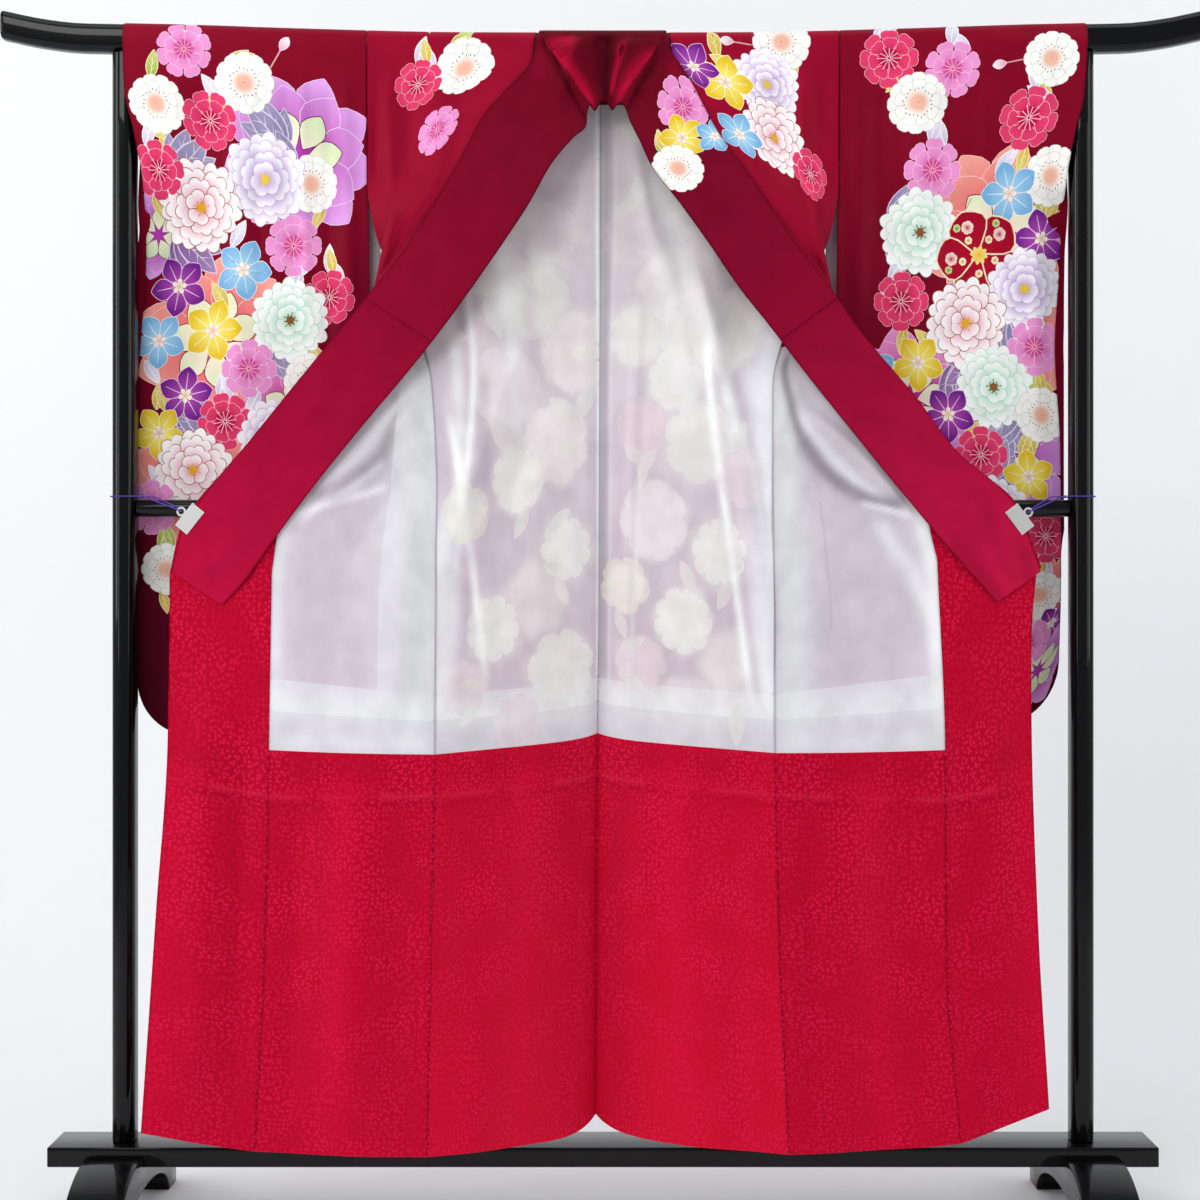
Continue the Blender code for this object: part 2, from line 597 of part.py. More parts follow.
def sleeve_points(side):
    """Middle of one sleeve: bottom of the front layer, up, over the bar and down the back."""
    u = np.array(SLEEVE_COLUMNS)
    bottom = SLEEVE_BOTTOM[side]
    edge = float(curve(SLEEVE_EDGE[side], 1, 0.8))
    radius = SLEEVE_CORNER[side]
    from_edge = (edge - SLEEVE_INNER_FRONT) * (1 - u)
    short = np.maximum(radius - from_edge, 0.0)
    ends = bottom + radius - np.sqrt(radius ** 2 - short ** 2)
    spread = SLEEVE_SPREAD_HEIGHT
    layers = {}
    for column, inner_low in ((1, SLEEVE_INNER_FRONT), (3, SLEEVE_INNER_BACK)):
        rows = []
        for z in SLEEVE_HEIGHTS + (bottom,):
            fall = np.maximum(spread - z, 0.0) / (spread - bottom)
            heights = np.full(len(u), z) if z > spread else spread - (spread - ends) * fall
            inner = inner_low + (SLEEVE_INNER_SEWN - inner_low) * smooth_step(z, 1.42, 1.487)
            x = inner + (curve(SLEEVE_EDGE[side], 1, heights) - inner) * u
            y = sleeve_depth(u, heights, column) + sleeve_fold(side, u, heights)
            if z == bottom:
                middle = (sleeve_depth(u, heights, 1) + sleeve_depth(u, heights, 3)) / 2
                y = middle + (column - 2) * SLEEVE_EDGE_GAP / 2
            lift = (bar_height(x) - BAR_HEIGHT) * smooth_step(z, 1.45, 1.67)
            rows.append(np.stack([side * x, y, heights + lift], axis=-1))
        layers[column] = rows
    edge_top = float(curve(SLEEVE_EDGE[side], 1, 1.69))
    top = [[side * (SLEEVE_INNER_SEWN + (edge_top - SLEEVE_INNER_SEWN) * k) for k in u]] * ROWS_ON_BAR
    over_front = rows_over_bar(top, False)
    over_back = rows_over_bar(top, True)
    low = SLEEVE_DEPTHS[-1][0]
    for rows, column in ((over_front, 1), (over_back, 3)):
        depths = [float(sleeve_depth(k, low, column)) for k in u]
        rows[-1] = [(x, depth, z) for depth, (x, y, z) in zip(depths, rows[-1])]
    crest = [(x, 0.0, z) for x, y, z in over_front[0]]
    grid = layers[1][::-1] + over_front[:0:-1] + [crest] + over_back[1:] + layers[3]
    return np.array([np.asarray(row, float) for row in grid])


def loft(name, rings, material):
    """A closed body through rings of equal count, with flat ends."""
    n = len(rings[0])
    verts = [tuple(p) for ring in rings for p in ring]
    faces = []
    for k in range(len(rings) - 1):
        for i in range(n):
            a, b = k * n + i, k * n + (i + 1) % n
            faces.append((a, b, b + n, a + n))
    faces.append(tuple(range(n)))
    faces.append(tuple((len(rings) - 1) * n + i for i in range(n)))
    return new_object(name, verts, faces, material)


def rounded_outline(half_a, half_b, radius, steps):
    """Outline of a rectangle with rounded corners."""
    points = []
    for corner, (sa, sb) in enumerate(((1, 1), (-1, 1), (-1, -1), (1, -1))):
        for k in range(steps + 1):
            a = math.pi / 2 * (corner + k / steps)
            points.append((sa * (half_a - radius) + radius * math.cos(a),
                           sb * (half_b - radius) + radius * math.sin(a)))
    return points


def shrunk(outline, amount):
    """An outline moved inwards by one distance."""
    p = np.array(outline)
    ahead, behind = np.roll(p, -1, axis=0) - p, p - np.roll(p, 1, axis=0)
    n1 = unit(np.stack([-ahead[:, 1], ahead[:, 0]], axis=-1))
    n2 = unit(np.stack([-behind[:, 1], behind[:, 0]], axis=-1))
    way = unit(n1 + n2)
    return p + way * amount / np.maximum(np.sum(way * n1, axis=-1, keepdims=True), 0.5)


def prism(name, outline, place, low, high, bevel, material):
    """An outline drawn out between two distances, with small bevels at both ends."""
    small = shrunk(outline, bevel)
    rings = []
    for at, shape in ((low, small), (low + bevel, outline), (high - bevel, outline), (high, small)):
        rings.append([place(a, b, at) for a, b in shape])
    return loft(name, rings, material)


def build_bar():
    """Long bar with rounded edges that rises at both ends."""
    outline = rounded_outline(BAR_HALF_DEPTH, BAR_HALF_TALL, BAR_ROUND, 3)
    small = shrunk(outline, BAR_END_BEVEL)
    end = BAR_HALF_LENGTH - BAR_END_BEVEL
    rising = np.linspace(0.70, end, 9)
    xs = np.concatenate([-rising[::-1], np.linspace(-0.63, 0.63, 19), rising])
    rings = []
    for x in xs:
        rings.append([(x, a, b + bar_height(x)) for a, b in outline])
    for at, x in ((0, -BAR_HALF_LENGTH), (len(rings) + 1, BAR_HALF_LENGTH)):
        rings.insert(at, [(x, a, b + bar_height(x)) for a, b in small])
    return loft("top_bar", rings, "black_lacquer")


def build_stand():
    """Bar, posts, rail, beam and feet."""
    build_bar()
    post = rounded_outline(POST_HALF_WIDTH, POST_HALF_DEPTH, POST_ROUND, 3)
    turns = np.linspace(0, 2 * math.pi, 17)[:-1]
    rail = [(RAIL_RADIUS * math.cos(a), RAIL_RADIUS * math.sin(a)) for a in turns]
    beam = [(BEAM_HALF_DEPTH, BEAM_BOTTOM), (BEAM_HALF_DEPTH, BEAM_TOP),
            (-BEAM_HALF_DEPTH, BEAM_TOP), (-BEAM_HALF_DEPTH, BEAM_BOTTOM)]
    for side, word in ((-1, "left"), (1, "right")):
        prism(f"post_{word}", post, lambda a, b, z, s=side: (s * POST_X + a, b, z),
              BEAM_TOP + JOINT_GAP, POST_TOP, 0.002, "black_lacquer")
        build_foot(side, word)
    inner = POST_X - POST_HALF_WIDTH - JOINT_GAP
    prism("middle_rail", rail, lambda a, b, x: (x, a, RAIL_HEIGHT + b),
          -inner, inner, 0.001, "black_lacquer")
    prism("base_beam", beam, lambda a, b, x: (x, a, b),
          -BEAM_HALF_LENGTH, BEAM_HALF_LENGTH, 0.002, "black_lacquer")


def build_foot(side, word):
    """Arched foot from front to back, notched under the beam."""
    notch = BEAM_HALF_DEPTH + JOINT_GAP
    back = [(FOOT_HALF_LENGTH, 0.0), (FOOT_HALF_LENGTH, TOE_HEIGHT)]
    for k in range(1, 9):
        a = math.pi / 2 * k / 8
        y = FOOT_HALF_LENGTH - (FOOT_HALF_LENGTH - notch) * (1 - math.cos(a))
        back.append((y, TOE_HEIGHT + (FOOT_TOP - TOE_HEIGHT) * math.sin(a) ** 1.15))
    back.append((notch, BEAM_BOTTOM - JOINT_GAP))
    front = [(-y, z) for y, z in back[::-1]]
    arch = []
    for k in range(9):
        a = math.pi * k / 8
        arch.append((-SOLE_INNER * math.cos(a), ARCH_HEIGHT * math.sin(a)))
    outline = back + front + arch
    prism(f"foot_{word}", outline, lambda a, b, x, s=side: (s * FOOT_X + x, a, b),
          -FOOT_HALF_WIDTH, FOOT_HALF_WIDTH, 0.0015, "black_lacquer")


def build_sleeve(side, word):
    """One long sleeve and the lining that shows inside its open inner edge."""
    grid = sleeve_points(side)
    normals = grid_normals(grid, side)
    inset(grid, normals, "first", SEAM_INSET)
    wall(f"sleeve_{word}", grid, normals, OUTER, "crimson_silk")
    back_top = len(SLEEVE_HEIGHTS) + 2 * ROWS_ON_BAR
    strip = slice(back_top + SLEEVE_STRIP_ROWS[0], back_top + SLEEVE_STRIP_ROWS[1])
    part, way = grid[strip, :SLEEVE_STRIP_COLUMNS], normals[strip, :SLEEVE_STRIP_COLUMNS]
    wall(f"sleeve_lining_{word}", part, way, LINING, "white_lining")


def split_rows(grid, normals, low, high):
    """Rows of a grid between two numbers, with a seam's width left at each cut."""
    part, way = grid[low:high].copy(), normals[low:high].copy()
    inset(part, way, "top", SEAM_INSET)
    inset(part, way, "bottom", SEAM_INSET)
    inset(part, way, "first", LINING_INSET)
    inset(part, way, "last", LINING_INSET)
    return part, way


def build_linings(name, word, grid, normals, first_white, first_red):
    """White lining above and red hem lining below, on the inside of one panel."""
    cut = DROPS.index(LINING_END_DROP) + len(grid) - len(DROPS)
    if first_white is not None:
        part, way = split_rows(grid, normals, first_white, cut + 1)
        wall(f"lining_{name}_{word}", part, way, LINING, "white_lining")
        first_red = cut
    part, way = split_rows(grid, normals, first_red, len(grid))
    inset(part, way, "bottom", -HEM_ROLL)
    wall(f"hem_lining_{name}_{word}", part, way, LINING, "red_lining")


def build_body(collar):
    """Backs, fronts, okumi and their linings."""
    sides = {}
    for side in (-1, 1):
        seam = seam_line(side, collar)
        grids = {"back": back_points(side),
                 "front": front_points(side, seam),
                 "okumi": okumi_points(side, seam)}
        normals = {key: grid_normals(grid, side) for key, grid in grids.items()}
        below = ROWS_ON_BAR + DROPS.index(SIDE_SEAM_TOP)
        sewn = slice(below, None)
        share_normals(normals["back"], (sewn, -1), normals["front"], (sewn, 0))
        tip = ROWS_ON_BAR + DROPS.index(OKUMI_TIP)
        share_normals(normals["front"], (slice(tip, None), -1), normals["okumi"], (slice(None), 0))
        sides[side] = grids, normals
    share_normals(sides[-1][1]["back"], (slice(None), 0), sides[1][1]["back"], (slice(None), 0))
    for side, word in ((-1, "left"), (1, "right")):
        grids, normals = sides[side]
        side_gap = np.full((len(grids["back"]), 1), SEAM_INSET)
        side_gap[below - 1:below + 1] = SEAM_TOP_INSET
        gaps = {"back": (SEAM_INSET, side_gap),
                "front": (side_gap, SEAM_INSET),
                "okumi": (SEAM_INSET, SEAM_INSET)}
        for key in ("back", "front", "okumi"):
            inset(grids[key], normals[key], "first", gaps[key][0])
            inset(grids[key], normals[key], "last", gaps[key][1])
            wall(f"{key}_{word}", grids[key], normals[key], OUTER, "crimson_silk")
        lined = DROPS.index(FRONT_LINING_DROP)
        build_linings("back", word, grids["back"], normals["back"], FIRST_WHITE_ROW, None)
        build_linings("front", word, grids["front"], normals["front"], ROWS_ON_BAR + lined, None)
        tip = DROPS.index(OKUMI_TIP)
        build_linings("okumi", word, grids["okumi"], normals["okumi"], None, lined - tip)


def build_collar(collar):
    """Collar band and the over-collar sewn over its upper part."""
    normals = grid_normals(collar, 1)
    if normals[len(collar) // 2, 4, 1] > 0:
        normals = -normals
    wall("collar", collar, normals, BAND, "crimson_silk")
    cut = len(COLLAR_ON_BAR[1]) + OVER_COLLAR_LAST
    middle = len(collar) // 2
    part = slice(middle - 1 - cut, middle + 2 + cut)
    wall("over_collar", collar[part], normals[part], OVER_BAND, "crimson_silk")


def clip_frame(side):
    """Place and directions of a clip: inwards across the collar, along it and out to the front."""
    upper, lower = (np.array(COLLAR_STATIONS[side][k]) for k in (12, 13))
    middle = upper + (lower - upper) * (0.5 if side < 0 else 0.3)
    mirror = np.array((side, 1, 1))
    inward = unit((middle[3:] - middle[:3]) * mirror)
    along = unit((lower[:3] - upper[:3]) * mirror)
    front = unit(np.cross(inward, along)) * side
    along = np.cross(front, inward)
    return middle[:3] * mirror, inward, along, front


def ring_centre(side):
    """Middle of a clip's ring."""
    at, inward, along, front = clip_frame(side)
    return at + inward * RING_OFFSET + front * sum(RING_FACES) / 2


def build_clip(side, word):
    """Flat spring clip with a ring, one closed body."""
    at, inward, along, front = clip_frame(side)
    jaw = [(CLIP_BRIDGE[0], CLIP_BACK[0]), (CLIP_REACH, CLIP_BACK[0]), (CLIP_REACH, CLIP_BACK[1]),
           (CLIP_BRIDGE[1], CLIP_BACK[1]), (CLIP_BRIDGE[1], CLIP_FRONT[0]), (CLIP_REACH, CLIP_FRONT[0]),
           (CLIP_REACH, CLIP_FRONT[1]), (CLIP_BRIDGE[0], CLIP_FRONT[1])]
    clip = prism(f"clip_{word}", jaw, lambda a, f, t: at + inward * a + front * f + along * t,
                 -CLIP_HALF_LENGTH, CLIP_HALF_LENGTH, 0.0002, "clip_metal")
    rings = []
    for radius, face in ((RING_RADIUS, 0), (RING_RADIUS, 1), (RING_HOLE, 1), (RING_HOLE, 0)):
        ring = []
        for k in range(20):
            a = 2 * math.pi * k / 20
            across = inward * (RING_OFFSET + radius * math.cos(a)) + along * radius * math.sin(a)
            ring.append(at + across + front * RING_FACES[face])
        rings.append(ring)
    verts = [tuple(p) for ring in rings for p in ring]
    faces = []
    for k in range(4):
        for i in range(20):
            j = (i + 1) % 20
            m = (k + 1) % 4
            faces.append((k * 20 + i, k * 20 + j, m * 20 + j, m * 20 + i))
    eye = new_object(f"clip_eye_{word}", verts, faces, "clip_metal")
    eye.hide_render = True
    eye.display_type = "WIRE"
    join = clip.modifiers.new("ring", "BOOLEAN")
    join.operation = "UNION"
    join.solver = "EXACT"
    join.object = eye


def build_cord(side, word):
    """Closed loop of cord through the clip's ring and round the post."""
    ring = ring_centre(side) * np.array((side, 1, 1))
    off = CORD_RADIUS + JOINT_GAP
    x_in, x_out = POST_X - POST_HALF_WIDTH - off, POST_X + POST_HALF_WIDTH + off
    y_out = POST_HALF_DEPTH + off
    z = CORD_HEIGHT
    path = [(ring[0], ring[1] - 0.0045, ring[2]), (ring[0] + 0.010, ring[1] - 0.0040, ring[2] + 0.005),
            (x_in - 0.012, -y_out - 0.003, z), (x_in + 0.007, -y_out, z), (x_out - 0.009, -y_out, z),
            (x_out - 0.0026, -y_out + 0.0026, z), (x_out, -y_out + 0.009, z), (x_out, y_out - 0.009, z),
            (x_out - 0.0026, y_out - 0.0026, z), (x_out - 0.009, y_out, z), (x_in + 0.009, y_out, z),
            (x_in + 0.0026, y_out - 0.0026, z), (x_in - 0.002, y_out - 0.010, z),
            (x_in - 0.016, 0.0, z), (x_in - 0.028, -0.018, z - 0.001),
            (ring[0] + 0.010, ring[1] + 0.0060, ring[2] + 0.008), (ring[0], ring[1] + 0.0045, ring[2])]
    points = np.array(path) * np.array((side, 1, 1))
    ahead = unit(np.roll(points, -1, axis=0) - np.roll(points, 1, axis=0))
    rings = []
    first = unit(np.cross(ahead, (0.0, 0.0, 1.0)))
    second = np.cross(ahead, first)
    for p, a, b in zip(points, first, second):
        turns = np.arange(6) * math.pi / 3
        rings.append([p + CORD_RADIUS * (a * math.cos(k) + b * math.sin(k)) for k in turns])
    n = len(rings)
    verts = [tuple(p) for ring in rings for p in ring]
    faces = []
    for k in range(n):
        m = (k + 1) % n
        for i in range(6):
            j = (i + 1) % 6
            faces.append((k * 6 + i, k * 6 + j, m * 6 + j, m * 6 + i))
    new_object(f"clip_cord_{word}", verts, faces, "violet_cord")


def main():
    """Builds every node of the kimono and its stand."""
    for obj in list(bpy.data.objects):
        bpy.data.objects.remove(obj, do_unlink=True)
    build_stand()
    collar = collar_points()
    build_body(collar)
    build_collar(collar)
    for side, word in ((-1, "left"), (1, "right")):
        build_sleeve(side, word)
        build_clip(side, word)
        build_cord(side, word)


main()
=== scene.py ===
"""Looks of a furisode kimono that hangs open on a black lacquered stand.

Metres. +X to the right seen from the front, +Y to the back, +Z up.
Left and right are those of someone who looks at the front.
"""
import math
import random

import bmesh
import bpy
import numpy as np
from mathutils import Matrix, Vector
from mathutils.geometry import delaunay_2d_cdt


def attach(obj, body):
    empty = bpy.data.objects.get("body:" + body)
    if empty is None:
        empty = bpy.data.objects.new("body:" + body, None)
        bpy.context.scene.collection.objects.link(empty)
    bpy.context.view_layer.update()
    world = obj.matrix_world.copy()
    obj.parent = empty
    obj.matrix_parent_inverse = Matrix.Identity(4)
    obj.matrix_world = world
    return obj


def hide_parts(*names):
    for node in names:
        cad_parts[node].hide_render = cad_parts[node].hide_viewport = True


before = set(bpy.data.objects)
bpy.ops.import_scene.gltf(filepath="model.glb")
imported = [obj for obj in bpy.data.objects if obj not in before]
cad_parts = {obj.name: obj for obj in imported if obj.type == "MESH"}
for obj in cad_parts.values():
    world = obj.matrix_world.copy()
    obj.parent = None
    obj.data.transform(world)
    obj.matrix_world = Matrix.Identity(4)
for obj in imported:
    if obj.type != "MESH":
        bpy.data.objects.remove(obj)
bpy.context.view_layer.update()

# Stand
BAR_HALF_LENGTH = 0.865
BAR_HEIGHT = 1.6826
BAR_HALF_DEPTH = 0.018
BAR_HALF_TALL = 0.0205
BAR_ROUND = 0.012
BAR_LOW_ROW = 0.0086
BAR_END_BEVEL = 0.004
POST_X = 0.688
POST_HALF_WIDTH = 0.0165
POST_HALF_DEPTH = 0.024
POST_TOP = 1.6750
RAIL_HEIGHT = 1.021
RAIL_RADIUS = 0.01225
BEAM_HALF_LENGTH = 0.789
BEAM_HALF_DEPTH = 0.053
BEAM_TOP = 0.112
BEAM_BOTTOM = 0.084
FOOT_X = 0.694
FOOT_HALF_WIDTH = 0.040
FOOT_HALF_LENGTH = 0.225
FOOT_TOP = 0.0975
TOE_HEIGHT = 0.016
SOLE_INNER = 0.165
ARCH_HEIGHT = 0.050
JOINT_GAP = 0.0004

# Rise of the bar towards its ends: distance out, rise
BAR_RISE = ((0.0, 0.0), (0.20, 0.0005), (0.43, 0.0058), (0.60, 0.0115), (0.69, 0.0136),
            (0.75, 0.0150), (0.80, 0.0205), (0.865, 0.0337))

# Cloth walls, each a pair of distances from the middle of the outer cloth, out and in
OUTER = (0.0006, -0.0006)
LINING = (-0.0009, -0.0019)
BAND = (0.0010, -0.0010)
OVER_BAND = (0.0025, 0.0013)
CLOTH_ON_BAR = 0.0010
BAND_ON_BAR = 0.0026
SEAM_INSET = 0.0003

# Garment
SHOULDER_X = 0.3385
SLEEVE_SEWN_DROP = 0.226
SIDE_SEAM_TOP = 0.385
FRONT_WIDTH = 0.245
OKUMI_WIDTH = 0.140
OKUMI_TIP = 0.26
COLLAR_END_DROP = 0.83
LINING_END_DROP = 1.045
DROPS = (0.075, 0.11, 0.15, 0.19, 0.226, 0.26, 0.30, 0.34, 0.385, 0.42, 0.46, 0.51, 0.56,
         0.62, 0.69, 0.76, 0.83, 0.90, 0.97, 1.045, 1.14, 1.25, 1.37, 1.49, 1.60)
FRONT_LINING_DROP = 0.46

# Slack of the back: depth of the slanting trough and ridge, their width and spacing, share at the hem
BACK_TROUGH = -0.010
BACK_RIDGE = 0.009
BACK_FOLD_WIDTH = 0.16
BACK_FOLD_SPACING = 0.28
BACK_FOLD_RUN = {-1: 0.55, 1: 0.80}
BACK_HEM_WAVE = 0.006

# Top of those folds, their place there and their slant across; drops over which they fade and over
# which the hem starts to wave
BACK_FOLD_TOP = 0.15
BACK_FOLD_SLANT = (0.30, 0.75)
BACK_FOLDS_FADE = (0.75, 1.05)
BACK_HEM_WAVES = (1.0, 1.5)

# How far a back bends away from a straight row and over which drops; how much of a row's rise to the
# side moves to the centre seam, over which drops, and how wide it is there
BACK_BEND = 0.3
BACK_BENDS = (0.1, 0.7)
ROW_RISE = ((0.3, 0.8, 1.045), (0.6, 1.1, 1.6))
ROW_RISE_WIDTH = 0.1

# Drops over which cloth stops following the bar's rise, for backs and fronts
LEAVES_BAR_RISE = (0.05, 0.5)

# First drop below the bar of the backs and of the fronts
BACK_START = 0.050
FRONT_START = 0.055

# Drops between which each front turns from its outside to its inside at the side, then at the inner edge
TURN_AT_SIDE = (0.15, 0.50)
TURN_AT_EDGE = (0.30, 0.56)
TURN_SLACK = 0.19

# Drops between which that slack grows and ends, and between which a row is drawn straight above and
# below the turn; then how far it swings forwards at the side edge and back at the inner edge
SLACK_RUN = (0.10, 0.28, 0.44, 0.60)
STRAIGHT_ABOVE = (0.08, 0.14)
STRAIGHT_BELOW = (0.52, 0.62)
TURN_SWING = (0.6, 0.9)

# Drops between which a row starts to bend at the okumi seam, how round that bend is, and the drops
# between which the lower fronts start to wave
SEAM_BENDS = (0.60, 0.83)
SEAM_ROUND = 0.25
FRONT_WAVES = (0.86, 1.3)
FRONT_WAVE = 0.005

# Inner edge of the fronts under the collar: ease round the neck and at the end, then width under the
# band and distance behind it, each above and below the drops between which it changes
NECK_EASE = 0.009
COLLAR_END_EASE = 0.002
UNDER_BAND = (0.004, -0.004)
UNDER_BAND_BETWEEN = (0.64, 0.76)
BEHIND_BAND = (0.0022, 0.0036)
BEHIND_BAND_BETWEEN = (0.34, 0.44)

# Centre back seam: drop, across, depth, height
CENTRE_SEAM = (
    (0.044, -0.0040, 0.0190, 1.6740),
    (0.226, -0.0043, 0.0130, 1.4850),
    (0.380, -0.0045, 0.0060, 1.3330),
    (0.520, -0.0050, -0.0030, 1.1970),
    (0.680, -0.0057, -0.0135, 1.0415),
    (0.830, -0.0065, -0.0155, 0.8960),
    (1.045, -0.0079, -0.0170, 0.6991),
    (1.300, -0.0093, -0.0185, 0.4470),
    (1.600, -0.0107, -0.0200, 0.1558),
)

# Side edges above the side seams: drop, distance out, depth, height
BACK_SIDE_TOP = ((0.044, 0.3385, 0.0190, 1.6740), (0.226, 0.3385, 0.0165, 1.4840))
FRONT_SIDE_TOP = ((0.044, 0.3385, -0.0190, 1.6740), (0.226, 0.3385, -0.0135, 1.4840),
                  (0.300, 0.3250, -0.0165, 1.4090))

# Side seams, same columns
SIDE_SEAM = {
    -1: ((0.385, 0.2800, -0.0170, 1.3250), (0.520, 0.2428, -0.0500, 1.1871),
         (0.680, 0.2347, -0.0650, 1.0304), (0.830, 0.2350, -0.0800, 0.8749),
         (1.045, 0.2351, -0.1000, 0.6728), (1.300, 0.2389, -0.1250, 0.4237),
         (1.600, 0.2426, -0.1500, 0.1211)),
    1: ((0.385, 0.2800, -0.0170, 1.3250), (0.520, 0.2414, -0.0500, 1.1871),
        (0.680, 0.2403, -0.0650, 1.0304), (0.830, 0.2407, -0.0800, 0.8749),
        (1.045, 0.2407, -0.1000, 0.6749), (1.300, 0.2444, -0.1250, 0.4237),
        (1.600, 0.2564, -0.1500, 0.1243)),
}

# Seams between fronts and okumi, same columns
OKUMI_SEAM = {
    -1: ((0.830, 0.4680, -0.0640, 0.9286), (1.045, 0.4694, -0.0850, 0.6782),
         (1.300, 0.4736, -0.1000, 0.4133), (1.600, 0.4847, -0.1200, 0.1212)),
    1: ((0.830, 0.4723, -0.0640, 0.9456), (1.045, 0.4806, -0.0850, 0.6782),
        (1.300, 0.4799, -0.1000, 0.3993), (1.600, 0.4966, -0.1200, 0.1337)),
}

# Free edges of the okumi below the collar, same columns
FREE_EDGE = {
    -1: ((0.830, 0.6148, -0.0525, 0.9301), (0.930, 0.6136, -0.0600, 0.8310),
         (1.045, 0.6137, -0.0720, 0.7014), (1.300, 0.6273, -0.0900, 0.4484),
         (1.600, 0.6455, -0.1050, 0.1443)),
    1: ((0.830, 0.6148, -0.0525, 0.9301), (0.930, 0.6062, -0.0600, 0.8310),
        (1.045, 0.6045, -0.0720, 0.6986), (1.300, 0.6104, -0.0900, 0.4329),
        (1.600, 0.6231, -0.1050, 0.1779)),
}

# Neck edge of the fronts over the bar, distance out for each row from the top
NECK_EDGE = {
    -1: (0.0900, 0.0925, 0.0945, 0.0970, 0.0985, 0.1000),
    1: (0.0900, 0.0920, 0.0935, 0.0950, 0.0965, 0.0985),
}

# Collar over the bar: distance out, start angle round the bar, then the free edge out, depth, height
COLLAR_ON_BAR = {
    -1: ((0.0880, 0, 0.0195, -0.0300, 1.5959), (0.0905, 15, 0.0205, -0.0305, 1.5920),
         (0.0935, 45, 0.0214, -0.0310, 1.5885), (0.0965, 90, 0.0228, -0.0320, 1.5812)),
    1: ((0.0880, 0, 0.0250, -0.0300, 1.5987), (0.0902, 15, 0.0268, -0.0305, 1.5970),
        (0.0925, 45, 0.0286, -0.0310, 1.5956), (0.0945, 90, 0.0314, -0.0320, 1.5926)),
}
COLLAR_MIDDLE = ((-0.045, -0.0110, 1.5950), (0.0, 0.0010, 1.6020), (0.045, 0.0125, 1.5960))
COLLAR_MIDDLE_DEPTH = -0.0295

# Collar below the bar: seam edge out, depth, height, then free edge out, depth, height
COLLAR_STATIONS = {
    -1: (
        (0.0985, -0.0225, 1.6740, 0.0228, -0.0330, 1.5738),
        (0.1044, -0.0250, 1.6569, 0.0242, -0.0340, 1.5651),
        (0.1371, -0.0290, 1.6189, 0.0413, -0.0410, 1.5481),
        (0.1697, -0.0340, 1.5808, 0.0724, -0.0490, 1.5096),
        (0.1993, -0.0400, 1.5255, 0.1063, -0.0560, 1.4488),
        (0.2288, -0.0470, 1.4702, 0.1358, -0.0620, 1.4026),
        (0.2582, -0.0520, 1.4225, 0.1668, -0.0660, 1.3568),
        (0.2877, -0.0560, 1.3765, 0.1977, -0.0690, 1.3126),
        (0.3102, -0.0580, 1.3493, 0.2160, -0.0700, 1.2870),
        (0.3637, -0.0610, 1.2824, 0.2708, -0.0730, 1.2162),
        (0.4284, -0.0640, 1.2029, 0.3369, -0.0750, 1.1371),
        (0.4994, -0.0620, 1.1154, 0.4076, -0.0730, 1.0498),
        (0.5765, -0.0580, 1.0221, 0.4843, -0.0690, 0.9469),
        (0.5965, -0.0570, 0.9882, 0.5056, -0.0680, 0.9172),
        (0.6108, -0.0560, 0.9287, 0.5384, -0.0660, 0.8819),
    ),
    1: (
        (0.0970, -0.0225, 1.6740, 0.0328, -0.0330, 1.5881),
        (0.1030, -0.0240, 1.6660, 0.0342, -0.0340, 1.5836),
        (0.1244, -0.0265, 1.6323, 0.0371, -0.0360, 1.5747),
        (0.1442, -0.0310, 1.5928, 0.0526, -0.0430, 1.5420),
        (0.1654, -0.0360, 1.5533, 0.0682, -0.0490, 1.5068),
        (0.1977, -0.0430, 1.5086, 0.1091, -0.0570, 1.4515),
        (0.2385, -0.0500, 1.4470, 0.1486, -0.0620, 1.3955),
        (0.2801, -0.0550, 1.3852, 0.1950, -0.0670, 1.3270),
        (0.3152, -0.0580, 1.3409, 0.2343, -0.0700, 1.2772),
        (0.3636, -0.0620, 1.2710, 0.2792, -0.0730, 1.2176),
        (0.4426, -0.0640, 1.1760, 0.3566, -0.0750, 1.1202),
        (0.4996, -0.0610, 1.1013, 0.4189, -0.0730, 1.0441),
        (0.5836, -0.0580, 1.0236, 0.4970, -0.0690, 0.9525),
        (0.6093, -0.0570, 0.9598, 0.5326, -0.0670, 0.9130),
        (0.6208, -0.0560, 0.9294, 0.5568, -0.0660, 0.8862),
    ),
}
COLLAR_ROWS = (0.0, 0.08, 0.17, 0.27, 0.62, 1.0)

# Outer edge of each sleeve: height, distance out
SLEEVE_EDGE = {
    -1: ((0.7750, 0.6759), (0.8890, 0.6759), (1.1795, 0.6755), (1.3974, 0.6620), (1.4873, 0.6609),
         (1.5495, 0.6705), (1.6096, 0.6849), (1.7000, 0.6881)),
    1: ((0.8018, 0.6622), (0.9268, 0.6655), (1.1069, 0.6639), (1.2576, 0.6559), (1.3699, 0.6620),
        (1.4902, 0.6652), (1.5495, 0.6748), (1.5996, 0.6878), (1.7000, 0.6946)),
}
SLEEVE_BOTTOM = {-1: 0.692, 1: 0.704}
SLEEVE_CORNER = {-1: 0.080, 1: 0.100}
SLEEVE_INNER_SEWN = 0.3391
SLEEVE_INNER_FRONT = 0.3360
SLEEVE_INNER_BACK = 0.3220
SLEEVE_EDGE_GAP = 0.0017
SLEEVE_SPREAD_HEIGHT = 0.93
SLEEVE_WAVE_HIGH = 0.0045
SLEEVE_WAVE_LOW = 0.004

